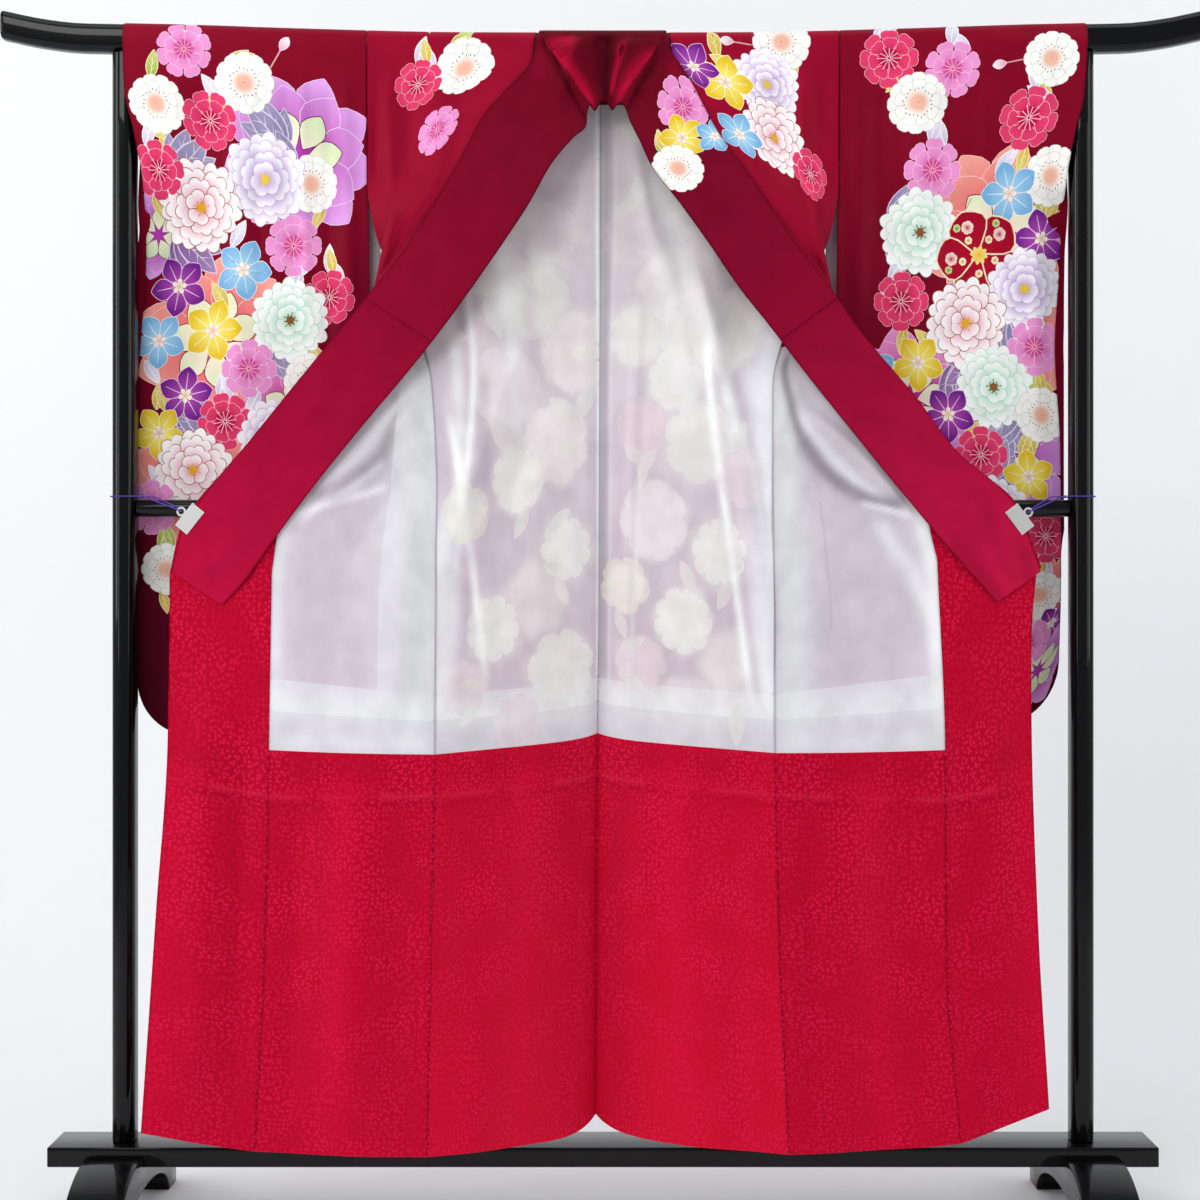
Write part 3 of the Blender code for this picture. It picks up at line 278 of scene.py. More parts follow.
# Heights over which a sleeve's high and low waves grow and end, over which its inner edge leaves the
# seam, and over which it starts to follow the bar's rise
SLEEVE_WAVES_HIGH = (1.10, 1.30, 1.58, 1.66)
SLEEVE_WAVES_LOW = (0.70, 0.80, 0.90, 1.00)
SLEEVE_SEAM_ENDS = (1.42, 1.487)
SLEEVE_LIFTS = (1.45, 1.67)

# Height over its bottom at which a sleeve's layers start to meet, heights at which its low corner and
# its top take their width, and places on the bar between which its cloth leaves the bar's depth
SLEEVE_MEETS = 0.11
SLEEVE_CORNER_AT = 0.8
SLEEVE_TOP_AT = 1.69
SLEEVE_LEAVES_BAR = (3.6, 5.0)

# Sleeve layers: height, front inner, front outer, back inner, back outer depth
SLEEVE_DEPTHS = (
    (0.810, 0.0180, 0.0285, 0.0270, 0.0302),
    (1.000, 0.0160, 0.0285, 0.0270, 0.0302),
    (1.045, 0.0145, 0.0285, 0.0265, 0.0302),
    (1.170, 0.0075, 0.0285, 0.0225, 0.0302),
    (1.300, 0.0000, 0.0280, 0.0190, 0.0297),
    (1.400, -0.0080, 0.0215, 0.0175, 0.0232),
    (1.460, -0.0120, 0.0040, 0.0175, 0.0057),
    (1.487, -0.0140, -0.0120, 0.0185, 0.0100),
    (1.550, -0.0165, -0.0262, 0.0190, 0.0262),
    (1.640, -0.0185, -0.0262, 0.0190, 0.0262),
    (1.674, -0.0190, -0.0258, 0.0190, 0.0258),
)

# Cloth mesh: spacing of the points down and across a panel and near its edges, roundness of an edge,
# longest line of the print that stays one line, and how far such a line may lie from the true one
STEP_DOWN = 0.006
STEP_ACROSS = 0.0055
EDGE_STEPS = (0.0012, 0.003)
EDGE_ROLL = 0.0007
EDGE_ROLL_WIDTH = 0.0015
LONGEST_LINE = 0.006
STRAIGHT = 0.0001

# Units for one metre in which panels are triangulated, how near two points count as one there, and
# steps for one metre in which the rims of a shell's two faces are matched
CUT_SCALE = 100
CUT_NEAR = 1e-6
RIM_STEPS = 1e5

# Rows between the points of a hidden face: close where a wide cloth folds at a slant, else wide
CLOSE_ROWS = 1
WIDE_ROWS = 3

# Marks of a triangle outside a panel, and of one whose outline isn't known yet
OUTSIDE = -1
UNKNOWN = -2

# Places over the bar: 0 at the crest, 1 to 4 round the corner, 5 just below it
BAR_PLACES = (0.0, 0.5, 1.0, 1.4, 1.8, 2.2, 2.6, 3.0, 3.4, 3.8, 4.3, 4.65, 5.0)
BAR_PLACE_DROPS = ((0.0, 0.0), (1.0, 0.006), (4.0, 0.0264), (5.0, 0.0435))

# Folds seen from the front, in mm: start across and up, end across and up, height, half width, bow
BACK_CREASES = (
    (-79, 1341, -237, 889, 6, 18, 6), (-53, 1277, -194, 832, -5, 23, 6), (-26, 1406, -16, 695, 2.5, 10, 0),
    (-93, 1148, -83, 685, 3, 17, 3), (-141, 1076, -152, 685, -3, 20, 0), (-191, 1004, -203, 745, 3, 17, 0),
    (125, 1406, 246, 760, 7, 13, -9), (93, 1377, 214, 745, -6, 26, -9), (55, 1363, 33, 685, 4, 7, 4),
    (75, 1449, 148, 1076, 3.5, 13, -4), (162, 1277, 237, 946, -4, 17, -6), (42, 1564, 93, 1320, 4, 11, 3),
    (-24, 1535, -62, 1277, 3.5, 13, -4), (10, 1320, 13, 695, -2, 11, 0), (139, 946, 190, 685, 3, 18, 0),
    (75, 1061, 93, 685, -2.5, 17, 0), (-119, 645, -131, 113, 4, 37, 7), (-191, 602, -197, 113, -3, 28, 0),
    (-47, 630, -53, 142, -3.5, 23, 0), (53, 630, 45, 142, 3.5, 26, -6), (139, 645, 151, 128, -4, 34, 4),
    (208, 602, 214, 128, 3, 23, 0),
)
FRONT_CREASES = (
    (-244, 1171, -439, 967, 3, 13, 11), (-247, 1101, -385, 875, -3, 23, 14),
    (-279, 1002, -298, 684, 2.5, 23, 0), (-364, 945, -385, 684, -2, 28, 0),
    (-428, 889, -447, 684, 2, 17, 0), (-244, 861, -284, 680, -2, 17, 0), (258, 1171, 455, 962, 4, 10, -23),
    (250, 1115, 419, 903, -4, 20, -26), (278, 988, 315, 689, 3, 20, 0), (377, 684, 462, 833, 2.5, 20, 9),
    (426, 889, 442, 689, -2, 20, 0), (349, 945, 343, 689, -2.5, 23, 0), (-354, 635, -363, 141, 4, 34, -6),
    (-428, 635, -439, 155, -3.5, 26, 0), (-287, 607, -289, 141, -3, 23, 0), (349, 635, 360, 141, 4, 37, 6),
    (426, 621, 440, 155, -3.5, 28, 0), (287, 621, 287, 141, -3, 20, 0), (-548, 833, -563, 169, 3.5, 26, 6),
    (-505, 748, -512, 155, -3, 17, 0), (539, 833, 560, 183, 3.5, 26, -6), (507, 748, 501, 183, -3, 17, 0),
)
FRONT_UPPER_CREASES = (
    (288, 1711, 288, 1505, 5, 7, 0), (299, 1519, 322, 1290, 5, 9, 4), (262, 1691, 251, 1462, -3.5, 16, 0),
    (225, 1662, 211, 1419, 2.5, 17, 0), (311, 1691, 314, 1519, -3, 10, 0),
    (-308, 1677, -302, 1462, 4, 9, 0), (-296, 1476, -322, 1276, 4.5, 10, -3),
    (-282, 1662, -274, 1448, -3, 14, 0), (-233, 1677, -245, 1405, 2.5, 20, 0),
    (-331, 1662, -328, 1476, -2.5, 9, 0), (-190, 1662, -212, 1490, -2, 20, 0),
)
SLEEVE_CREASES = (
    (-615, 1667, -609, 1321, 3, 14, 0), (-573, 1688, -578, 1379, -3, 13, 0),
    (-526, 1696, -529, 1148, 3.5, 13, 3), (-491, 1681, -497, 1278, -3.5, 11, 0),
    (-432, 1693, -428, 1278, 4, 7, 0), (-457, 1667, -451, 1408, -2.5, 10, 0),
    (-393, 1688, -396, 1148, -3, 11, 0), (-370, 1667, -364, 1278, 3, 10, 0),
    (-645, 1580, -638, 1004, -2, 17, 0), (-624, 1148, -615, 831, 2.5, 20, 0),
    (367, 1667, 370, 1278, 3, 11, 0), (396, 1688, 399, 1379, -3, 13, 0),
    (445, 1681, 449, 1177, 3.5, 14, 0), (493, 1688, 497, 1321, -3, 14, 0),
    (549, 1681, 546, 1148, 3, 14, 0), (589, 1667, 592, 1321, -2.5, 13, 0),
    (629, 1667, 627, 1062, 3, 13, 0), (344, 1580, 350, 1278, -2.5, 9, 0), (615, 947, 621, 745, 2.5, 14, 0),
)

# Folds of the collar at the neck and at its right end, same columns
COLLAR_CREASES = (
    (1, 1712, 1, 1610, -3, 8, 0), (14, 1712, 18, 1650, 2.8, 3, 0), (32, 1712, 50, 1600, 5.8, 9, 0),
    (74, 1700, 92, 1620, 3, 8, 0), (-34, 1712, -58, 1600, 5.8, 11, 0), (-78, 1700, -66, 1620, 2.6, 8, 0),
    (545, 962, 615, 925, 1.8, 4, 0), (530, 955, 612, 918, 1.6, 4, 0), (-470, 1120, -380, 1180, 1.2, 12, 0),
    (300, 1300, 360, 1240, 1.2, 14, 0),
)

# Folds of each kind of body panel
BODY_CREASES = {"back": BACK_CREASES, "front": FRONT_CREASES + FRONT_UPPER_CREASES, "okumi": FRONT_CREASES}

# Flat sizes of the cut pieces
BACK_WIDTH = 0.300
BAND_WIDTH = 0.112
SLEEVE_WIDTH = 0.350
WORDS = {-1: "left", 1: "right"}

# Where the folds fade out: at a panel's edge, under the bar, beside the collar, and the drops at which
# the collar and the armhole let go; then the gap between cloth and rail
FADE_AT_EDGE = 0.022
FADE_UNDER_BAR = (1.665, 1.600)
FADE_AT_COLLAR = {"front": 0.050, "okumi": 0.060}
HELD_BY_COLLAR = (0.80, 0.90)
HELD_AT_SIDE = (0.2, 0.25)
RAIL_CLEARANCE = 0.0016

# Picture: size in pixels, pixels for one metre at one metre, the column of the axis, distance and height
IMAGE_SIZE = 1200
FOCAL_PIXELS = 2430
AXIS_PIXEL = 603
SENSOR_WIDTH = 36.0
CAMERA_DISTANCE = 3.5
CAMERA_HEIGHT = 0.889

# Lamps: name, place, target, width and height, power
LAMPS = (
    ("front_top", (-1.4, -3.4, 3.2), (0.0, 0.0, 1.0), (1.8, 1.3), 41),
    ("left", (-3.4, -1.3, 1.9), (0.0, 0.0, 0.95), (1.2, 2.2), 42),
    ("right", (3.4, -1.5, 1.8), (0.0, 0.0, 0.95), (1.4, 2.2), 29),
    ("above", (0.0, -0.6, 3.9), (0.0, 0.0, 0.9), (3.0, 2.0), 29),
    ("strip_left", (-2.9, -2.9, 1.6), (-0.6, 0.0, 1.2), (0.10, 1.8), 12),
    ("strip_right", (2.9, -2.9, 1.6), (0.6, 0.0, 1.2), (0.10, 1.8), 7),
    ("backdrop_left", (-2.6, 0.9, 2.5), (0.3, 2.1, 1.8), (0.6, 1.6), 8),
    ("backdrop_right", (2.6, 0.9, 2.5), (-0.3, 2.1, 1.8), (0.6, 1.6), 7),
)

# Height of the folds as a multiple of the tables', how dark and wide the painted shade along a seam is,
# then a sleeve's back layer: reach beyond the front one, widest place, and widest place behind the post
FOLD_STRENGTH = 1.55
SEAM_SHADE = 0.45
SEAM_SHADE_WIDTH = 0.0018
BACK_LAYER_BEYOND = 0.0130
BACK_LAYER_LIMIT = 0.6705
BACK_LAYER_BEHIND_POST = {-1: 0.6765, 1: 0.6695}

# Heights over which that reach starts and ends, and over which the one behind the post ends
BACK_LAYER_STARTS = (0.95, 1.05)
BACK_LAYER_ENDS = (1.60, 1.56)
BEHIND_POST_ENDS = (1.43, 1.385)

# How the ends of a fold and of a soft stroke fade, as shares of its length
CREASE_ENDS = (0.0, 0.22, 0.78, 1.0)
STROKE_ENDS = (-0.08, 0.12, 0.88, 1.08)

# The neck's rounded corners: place along the collar, width, drop; and the posts' soft corners
NECK_CORNER = 0.030
NECK_CORNER_WIDTH = 0.011
NECK_CORNER_DROP = 0.008
POST_SOFT = 0.0150

# Painted shade of the collar by distance along it from the middle of the neck: darkest in the shade at the
# neck, lightest at its two ends
COLLAR_PAINTED_SHADE = (
    (-1.06, "#BE103C"), (-0.85, "#A80C36"), (-0.5, "#88082A"), (-0.12, "#6E061E"), (0.0, "#520412"),
    (0.12, "#6A061C"), (0.3, "#780826"), (0.5, "#880A2C"), (0.85, "#B0123C"), (1.06, "#C01640"),
)

# Linings that show: where the white starts, the strips in the sleeves; and the run of the over-collar
LINING_TOPS = {"back": 0.11, "front": FRONT_LINING_DROP}
SLEEVE_STRIP = (-0.62, -0.19)
SLEEVE_STRIP_WIDTH = 0.075
OVER_COLLAR_RUN = (-0.50, 0.50)
LINING_EDGES = (LINING_TOPS["back"], OKUMI_TIP, FRONT_LINING_DROP, LINING_END_DROP)

# Weaves in metres: real threads are 0.2 mm apart, drawn about ten times coarser so that they show
CRIMSON_WEAVE = 0.0022
LINING_WEAVE = 0.0015

# Blossoms of the red lining: real ones are about 5 mm apart, drawn a little coarser so that they show
FLECK_SPACING = 0.0066

# Edges of the stand stay sharp above this angle, edges of the clips above the other
STAND_SHARP = 35
CLIP_SHARP = 40

# Rings along the bar and the end of its even ones, rings along the other straight pieces, and bevels
BAR_RINGS = 90
BAR_RING_END = 0.855
STRAIGHT_RINGS = 12
WOOD_BEVEL = 0.002
RAIL_BEVEL = 0.001
FOOT_BEVEL = 0.0015

# Stage: depths of the floor, gap under the feet, radius of the bend, top and half width of the backdrop,
# then half width and end of the floor behind it, and how bright the surround is
FLOOR_DEPTHS = (-6.0, -2.0, 0.0, 1.2)
FLOOR_GAP = 0.0006
BEND_RADIUS = 0.9
BACKDROP_TOP = 5.0
BACKDROP_HALF_WIDTH = 7.0
FLOOR_BEHIND = (9.0, 9.0)
SURROUND = 0.42


def smooth_step(x, low, high):
    """0 below low, 1 above high, an even ramp between."""
    t = np.clip((np.asarray(x, float) - low) / (high - low), 0.0, 1.0)
    return t * t * (3.0 - 2.0 * t)


def between(x, start, risen, falls, end):
    """0 outside start and end, 1 from risen to falls, even ramps between."""
    return smooth_step(x, start, risen) * (1 - smooth_step(x, falls, end))


def curve(table, column, x):
    """Smooth curve through one column of a table, with no overshoot."""
    rows = np.asarray(table, float)
    xs, ys = rows[:, 0], rows[:, column]
    h = np.diff(xs)
    slope = np.diff(ys) / h
    m = np.empty(len(xs))
    m[0], m[-1] = slope[0], slope[-1]
    for i in range(1, len(xs) - 1):
        a, b = slope[i - 1], slope[i]
        w1, w2 = 2 * h[i] + h[i - 1], h[i] + 2 * h[i - 1]
        m[i] = 0.0 if a * b <= 0 else (w1 + w2) / (w1 / a + w2 / b)
    x = np.asarray(x, float)
    k = np.clip(np.searchsorted(xs, x) - 1, 0, len(h) - 1)
    t = np.clip((x - xs[k]) / h[k], 0.0, 1.0)
    t2, t3 = t * t, t * t * t
    return (ys[k] * (2 * t3 - 3 * t2 + 1) + ys[k + 1] * (3 * t2 - 2 * t3)
            + h[k] * (m[k] * (t3 - 2 * t2 + t) + m[k + 1] * (t3 - t2)))


def unit(v):
    """Vectors of length one."""
    v = np.asarray(v, float)
    return v / np.maximum(np.linalg.norm(v, axis=-1, keepdims=True), 1e-12)


def bar_height(x):
    """Height of the bar's middle, which rises towards its ends."""
    return BAR_HEIGHT + curve(BAR_RISE, 1, np.abs(x))


def round_bar(x, degrees, off):
    """Depth and height of a point off the bar's rounded top corner."""
    a = math.radians(degrees)
    depth = BAR_HALF_DEPTH - BAR_ROUND + (BAR_ROUND + off) * math.sin(a)
    height = bar_height(x) + BAR_HALF_TALL - BAR_ROUND + (BAR_ROUND + off) * math.cos(a)
    return depth, height


def spaced(width, step, edges):
    """Stops across a width, close together near both edges."""
    inner = edges[-1] + step
    middle = np.linspace(inner, width - inner, max(int(round((width - 2 * inner) / step)), 1) + 1)
    low = [0.0, *edges]
    return np.concatenate([low, middle, width - np.array(low[::-1])])


def bar_row(x, place, back):
    """One row of cloth points over the bar."""
    side = 1 if back else -1
    x = np.asarray(x, float)
    corner, level = round_bar(x, 90, CLOTH_ON_BAR)
    if place <= 1:
        depth = (BAR_HALF_DEPTH - BAR_ROUND) * place
        height = bar_height(x) + BAR_HALF_TALL + CLOTH_ON_BAR
    elif place <= 4:
        depth, height = round_bar(x, 30 * (place - 1), CLOTH_ON_BAR)
    else:
        depth = corner
        height = level + (bar_height(x) - BAR_LOW_ROW - level) * (place - 4)
    return np.stack([x, np.full(len(x), side * depth), height], axis=-1)


def place_drop(place):
    """Length of cloth from the crest to a place over the bar."""
    table = np.array(BAR_PLACE_DROPS)
    return float(np.interp(place, table[:, 0], table[:, 1]))


def grid_normals(grid, sign):
    """Unit normals of a grid of points."""
    down, across = np.gradient(grid, axis=(0, 1))
    return unit(np.cross(across, down)) * sign


def relief(x, z, creases):
    """Height of a set of folds at points seen from the front."""
    total = np.zeros(np.shape(x))
    for crease in creases:
        x0, z0, x1, z1, height, width, bow = (v / 1000 for v in crease)
        run = math.hypot(x1 - x0, z1 - z0)
        along_x, along_z = (x1 - x0) / run, (z1 - z0) / run
        part = ((x - x0) * along_x + (z - z0) * along_z) / run
        inside = np.clip(part, 0.0, 1.0)
        across = (x - x0) * along_z - (z - z0) * along_x
        across = across - bow * 4 * inside * (1 - inside)
        ends = between(part, *CREASE_ENDS)
        total = total + height * ends * np.exp(-np.abs(across / width) ** 1.7)
    return total * FOLD_STRENGTH


def side_table(side, top):
    """A body panel's whole side edge."""
    return tuple(top) + SIDE_SEAM[side]


def body_drops(first):
    """Distances down a body panel, from below the bar to the hem."""
    stops = [first] + [d for d in LINING_EDGES if d > first + STEP_DOWN] + [DROPS[-1]]
    rows = [first]
    for low, high in zip(stops, stops[1:]):
        count = int(round((high - low) / STEP_DOWN))
        rows += list(np.linspace(low, high, count + 1)[1:])
    return np.array(rows)


def back_form(side):
    """Back panel: points, distances across from the centre seam and down from the crest."""
    across = spaced(BACK_WIDTH, STEP_ACROSS, EDGE_STEPS)
    u = across / BACK_WIDTH
    table = side_table(side, BACK_SIDE_TOP)
    neck = CENTRE_SEAM[0][1]
    x_top = neck + (side * SHOULDER_X - neck) * u
    rows = [bar_row(x_top, place, True) for place in BAR_PLACES]
    down = [place_drop(place) for place in BAR_PLACES]
    for drop in body_drops(BACK_START):
        cx, cy, cz = (curve(CENTRE_SEAM, i, drop) for i in (1, 2, 3))
        sx, sy, sz = (curve(table, i, drop) for i in (1, 2, 3))
        valley = 1.0 - BACK_BEND * smooth_step(drop, *BACK_BENDS)
        rise = 1.0
        for share, start, end in ROW_RISE:
            rise = rise - share * smooth_step(drop, start, end)
        lift = rise * u + (1.0 - rise) * (1.0 - np.exp(-u / ROW_RISE_WIDTH))
        x = cx + (side * sx - cx) * u
        y = cy + (sy - cy) * u ** valley + back_fold(side, u, drop)
        follows = 1 - smooth_step(drop, *LEAVES_BAR_RISE)
        z = cz + (sz - cz) * lift + (bar_height(x) - BAR_HEIGHT) * follows
        rows.append(np.stack([x, y, z], axis=-1))
        down.append(drop)
    return np.array(rows), across, np.array(down)


def back_fold(side, u, drop):
    """Soft slack of the back: a trough and a ridge that slant from the neck to the side seam."""
    place, lean = BACK_FOLD_SLANT
    slant = place + lean * (drop - BACK_FOLD_TOP) / BACK_FOLD_RUN[side]
    from_trough = (u - slant) / BACK_FOLD_WIDTH
    from_ridge = (u - slant - BACK_FOLD_SPACING) / BACK_FOLD_WIDTH
    trough = BACK_TROUGH * np.exp(-from_trough ** 2) * smooth_step(drop, BACK_FOLD_TOP, 0.3)
    ridge = BACK_RIDGE * np.exp(-from_ridge ** 2) * smooth_step(drop, BACK_FOLD_TOP, 0.35)
    fade = 1 - smooth_step(drop, *BACK_FOLDS_FADE)
    hem = BACK_HEM_WAVE * np.sin(math.pi * 2.2 * u + side) * smooth_step(drop, *BACK_HEM_WAVES)
    return ((trough + ridge) * fade + hem) * np.sin(math.pi * u)


def collar_points():
    """Middle of the collar band from its left end to its right end, seam edge to free edge."""
    left = collar_side(-1)[::-1]
    right = collar_side(1)
    middle = []
    for x, free, height in COLLAR_MIDDLE:
        middle.append(collar_row_on_bar(x, 0, (free, COLLAR_MIDDLE_DEPTH, height)))
    return np.array(left + middle + right)


def collar_row_on_bar(x, start, free):
    """One row across the collar where it starts on the bar."""
    points = []
    for k in range(4):
        degrees = start + (90 - start) * k / 3
        depth, height = round_bar(x, degrees, BAND_ON_BAR)
        if k == 0 and start == 0:
            depth, height = SEAM_INSET, bar_height(x) + BAR_HALF_TALL + BAND_ON_BAR
        share = 0.06 * k * (start > 0)
        points.append((x + (free[0] - x) * share, -depth, height - 0.0007 * k * (start > 45)))
    last = np.array(points[-1])
    for share in (0.5, 1.0):
        points.append(tuple(last + (np.array(free) - last) * share))
    return points


def collar_side(side):
    """Rows across one half of the collar, neck to end."""
    rows = []
    for out, start, free_out, depth, height in COLLAR_ON_BAR[side]:
        rows.append(collar_row_on_bar(side * out, start, (side * free_out, depth, height)))
    for seam_x, seam_y, seam_z, free_x, free_y, free_z in COLLAR_STATIONS[side]:
        seam = np.array((side * seam_x, seam_y, seam_z))
        free = np.array((side * free_x, free_y, free_z))
        rows.append([tuple(seam + (free - seam) * k) for k in COLLAR_ROWS])
    return rows


def refine(grid, rows, columns):
    """A grid read at finer places along its rows and columns."""
    def along(points, stops, places):
        flat = points.reshape(len(points), -1)
        table = np.column_stack([stops, flat])
        out = [curve(table, k + 1, places) for k in range(flat.shape[1])]
        return np.stack(out, axis=-1).reshape(len(places), *points.shape[1:])
    stops, places = rows
    finer = along(grid, stops, places)
    stops, places = columns
    return along(finer.transpose(1, 0, 2), stops, places).transpose(1, 0, 2)


def collar_form():
    """Collar band: points, distances across from its seam edge and along from the middle of the neck."""
    coarse = collar_points()
    middle = coarse[:, -2]
    steps = np.linalg.norm(np.diff(middle, axis=0), axis=1)
    run = np.concatenate([[0.0], np.cumsum(steps)])
    run -= run[len(run) // 2]
    along = spaced(run[-1] - run[0], STEP_DOWN, EDGE_STEPS) + run[0]
    across = spaced(BAND_WIDTH, STEP_DOWN, EDGE_STEPS)
    stops = np.array(COLLAR_ROWS) * BAND_WIDTH
    grid = refine(coarse, (run, along), (stops, across))
    return grid, across, along


def seam_line(side, collar):
    """The collar's seam edge, neck to end, with its length, its direction across and its normal."""
    half = collar[: len(collar) // 2 - 1][::-1] if side < 0 else collar[len(collar) // 2 + 2:]
    line = half[:, 0]
    run = np.concatenate([[0.0], np.cumsum(np.linalg.norm(np.diff(line, axis=0), axis=1))])
    across = unit(half[:, -1] - half[:, 0])
    along = unit(np.gradient(line, axis=0))
    normal = unit(np.cross(across, along)) * side
    normal = normal * np.sign(-normal[:, 1:2])
    return [np.column_stack([run, values]) for values in (line, across, normal)]


def front_edge(side, drop, seam):
    """Inner edge of the front and okumi, just behind the collar's seam edge and then free."""
    if drop > COLLAR_END_DROP:
        x, y, z = (float(curve(FREE_EDGE[side], i, drop)) for i in (1, 2, 3))
        return np.array((side * x, y, z))
    sewn = SLEEVE_SEWN_DROP
    far = seam[0][-1, 0] - COLLAR_END_EASE
    spread = (far - sewn - NECK_EASE) / (COLLAR_END_DROP - sewn)
    along = drop + NECK_EASE if drop < sewn else sewn + NECK_EASE + spread * (drop - sewn)
    pick = [np.array([float(curve(table, i, along)) for i in (1, 2, 3)]) for table in seam]
    tuck = UNDER_BAND[0] + (UNDER_BAND[1] - UNDER_BAND[0]) * smooth_step(drop, *UNDER_BAND_BETWEEN)
    change = BEHIND_BAND[1] - BEHIND_BAND[0]
    behind = BEHIND_BAND[0] + change * smooth_step(drop, *BEHIND_BAND_BETWEEN)
    return pick[0] + pick[1] * tuck - pick[2] * behind


def front_row(side, drop, t, seam):
    """One row of a front with its okumi, from the side edge to the inner edge."""
    table = side_table(side, FRONT_SIDE_TOP)
    start = np.array([float(curve(table, i, drop)) for i in (1, 2, 3)])
    start[0] *= side
    start[2] += (bar_height(start[0]) - BAR_HEIGHT) * (1 - smooth_step(drop, *LEAVES_BAR_RISE))
    end = front_edge(side, drop, seam)
    turn_side = math.pi * float(smooth_step(drop, *TURN_AT_SIDE))
    turn_edge = math.pi * float(smooth_step(drop, *TURN_AT_EDGE))
    slack = TURN_SLACK * float(between(drop, *SLACK_RUN))
    reach = max(float(np.linalg.norm((end - start)[:2])), slack) / 3
    way_out = np.array((-side * math.cos(turn_side), -TURN_SWING[0] * math.sin(turn_side), 0.0))
    way_in = np.array((side * math.cos(turn_edge), TURN_SWING[1] * math.sin(turn_edge), 0.0))
    rise = np.array((0.0, 0.0, (end[2] - start[2]) / 3))
    b, c = start + way_out * reach + rise, end + way_in * reach - rise
    straight = float(smooth_step(drop, *STRAIGHT_BELOW) + 1 - smooth_step(drop, *STRAIGHT_ABOVE))
    b = b + (start + (end - start) / 3 - b) * straight
    c = c + (start + (end - start) * 2 / 3 - c) * straight
    t = np.asarray(t, float)[:, None]
    row = start * (1 - t) ** 3 + 3 * b * t * (1 - t) ** 2 + 3 * c * t ** 2 * (1 - t) + end * t ** 3
    pull = float(smooth_step(drop, *SEAM_BENDS))
    if pull:
        q = okumi_share(drop)
        at = start + (end - start) * q
        seam_drop = max(drop, COLLAR_END_DROP)
        goal = np.array([float(curve(OKUMI_SEAM[side], i, seam_drop)) for i in (1, 2, 3)])
        goal[0] *= side
        if drop < COLLAR_END_DROP:
            goal = goal + at - front_row_ends_at(side, COLLAR_END_DROP, seam, q)
        bow = t * (1 - t) / (q * (1 - q))
        corner = np.where(t < q, t / q, (1 - t) / (1 - q))
        row = row + (goal - at) * pull * (SEAM_ROUND * bow + (1 - SEAM_ROUND) * corner)
    row[:, 1] += front_fold(side, t[:, 0], drop)
    return row


def front_row_ends_at(side, drop, seam, share):
    """Point on the straight line between a row's ends."""
    table = side_table(side, FRONT_SIDE_TOP)
    start = np.array([float(curve(table, i, drop)) for i in (1, 2, 3)])
    start[0] *= side
    return start + (front_edge(side, drop, seam) - start) * share


def front_fold(side, t, drop):
    """Soft slack of a front below the collar."""
    wave = FRONT_WAVE * np.sin(math.pi * (3.0 * t + 0.4 * side + 0.8 * drop))
    return wave * np.sin(math.pi * t) * smooth_step(drop, *FRONT_WAVES)


def okumi_share(drop):
    """Share of a row, from the side edge, that the front takes before the okumi."""
    if drop < OKUMI_TIP:
        return 1.0
    wide = 0.0015 + OKUMI_WIDTH * min(max(drop - 0.25, 0.0) / (COLLAR_END_DROP - 0.25), 1.0)
    return FRONT_WIDTH / (FRONT_WIDTH + wide)


def front_form(side, seam):
    """Front panel: points, distances across from its side edge and down from the crest."""
    across = spaced(FRONT_WIDTH, STEP_ACROSS, EDGE_STEPS)
    f = across / FRONT_WIDTH
    rows, down = [], []
    for place in BAR_PLACES:
        neck = np.interp(place, range(6), NECK_EDGE[side])
        rows.append(bar_row(side * (SHOULDER_X + (neck - SHOULDER_X) * f), place, False))
        down.append(place_drop(place))
    for drop in body_drops(FRONT_START):
        rows.append(front_row(side, drop, f * okumi_share(drop), seam))
        down.append(drop)
    return np.array(rows), across, np.array(down)


def okumi_form(side, seam):
    """Okumi: points, distances across from its seam and down from the crest."""
    across = spaced(OKUMI_WIDTH, STEP_ACROSS, EDGE_STEPS)
    g = across / OKUMI_WIDTH
    rows, down = [], []
    for drop in body_drops(FRONT_START):
        if drop >= OKUMI_TIP:
            share = okumi_share(drop)
            rows.append(front_row(side, drop, share + (1 - share) * g, seam))
            down.append(drop)
    return np.array(rows), across, np.array(down)


def sleeve_depth(u, z, column):
    """Depth of one sleeve layer, 1 for the front and 3 for the back."""
    inner = curve(SLEEVE_DEPTHS, column, z)
    outer = curve(SLEEVE_DEPTHS, column + 1, z)
    return inner + (outer - inner) * u


def sleeve_fold(side, u, z):
    """Soft upright folds of a sleeve, the same in both layers."""
    tall = between(z, *SLEEVE_WAVES_HIGH)
    low = between(z, *SLEEVE_WAVES_LOW)
    folds = SLEEVE_WAVE_HIGH * np.sin(math.pi * (4.3 * u + 0.25 * side + 1.1 * z)) * tall
    return (folds + SLEEVE_WAVE_LOW * np.sin(math.pi * 3 * u) * low) * np.sin(math.pi * u)


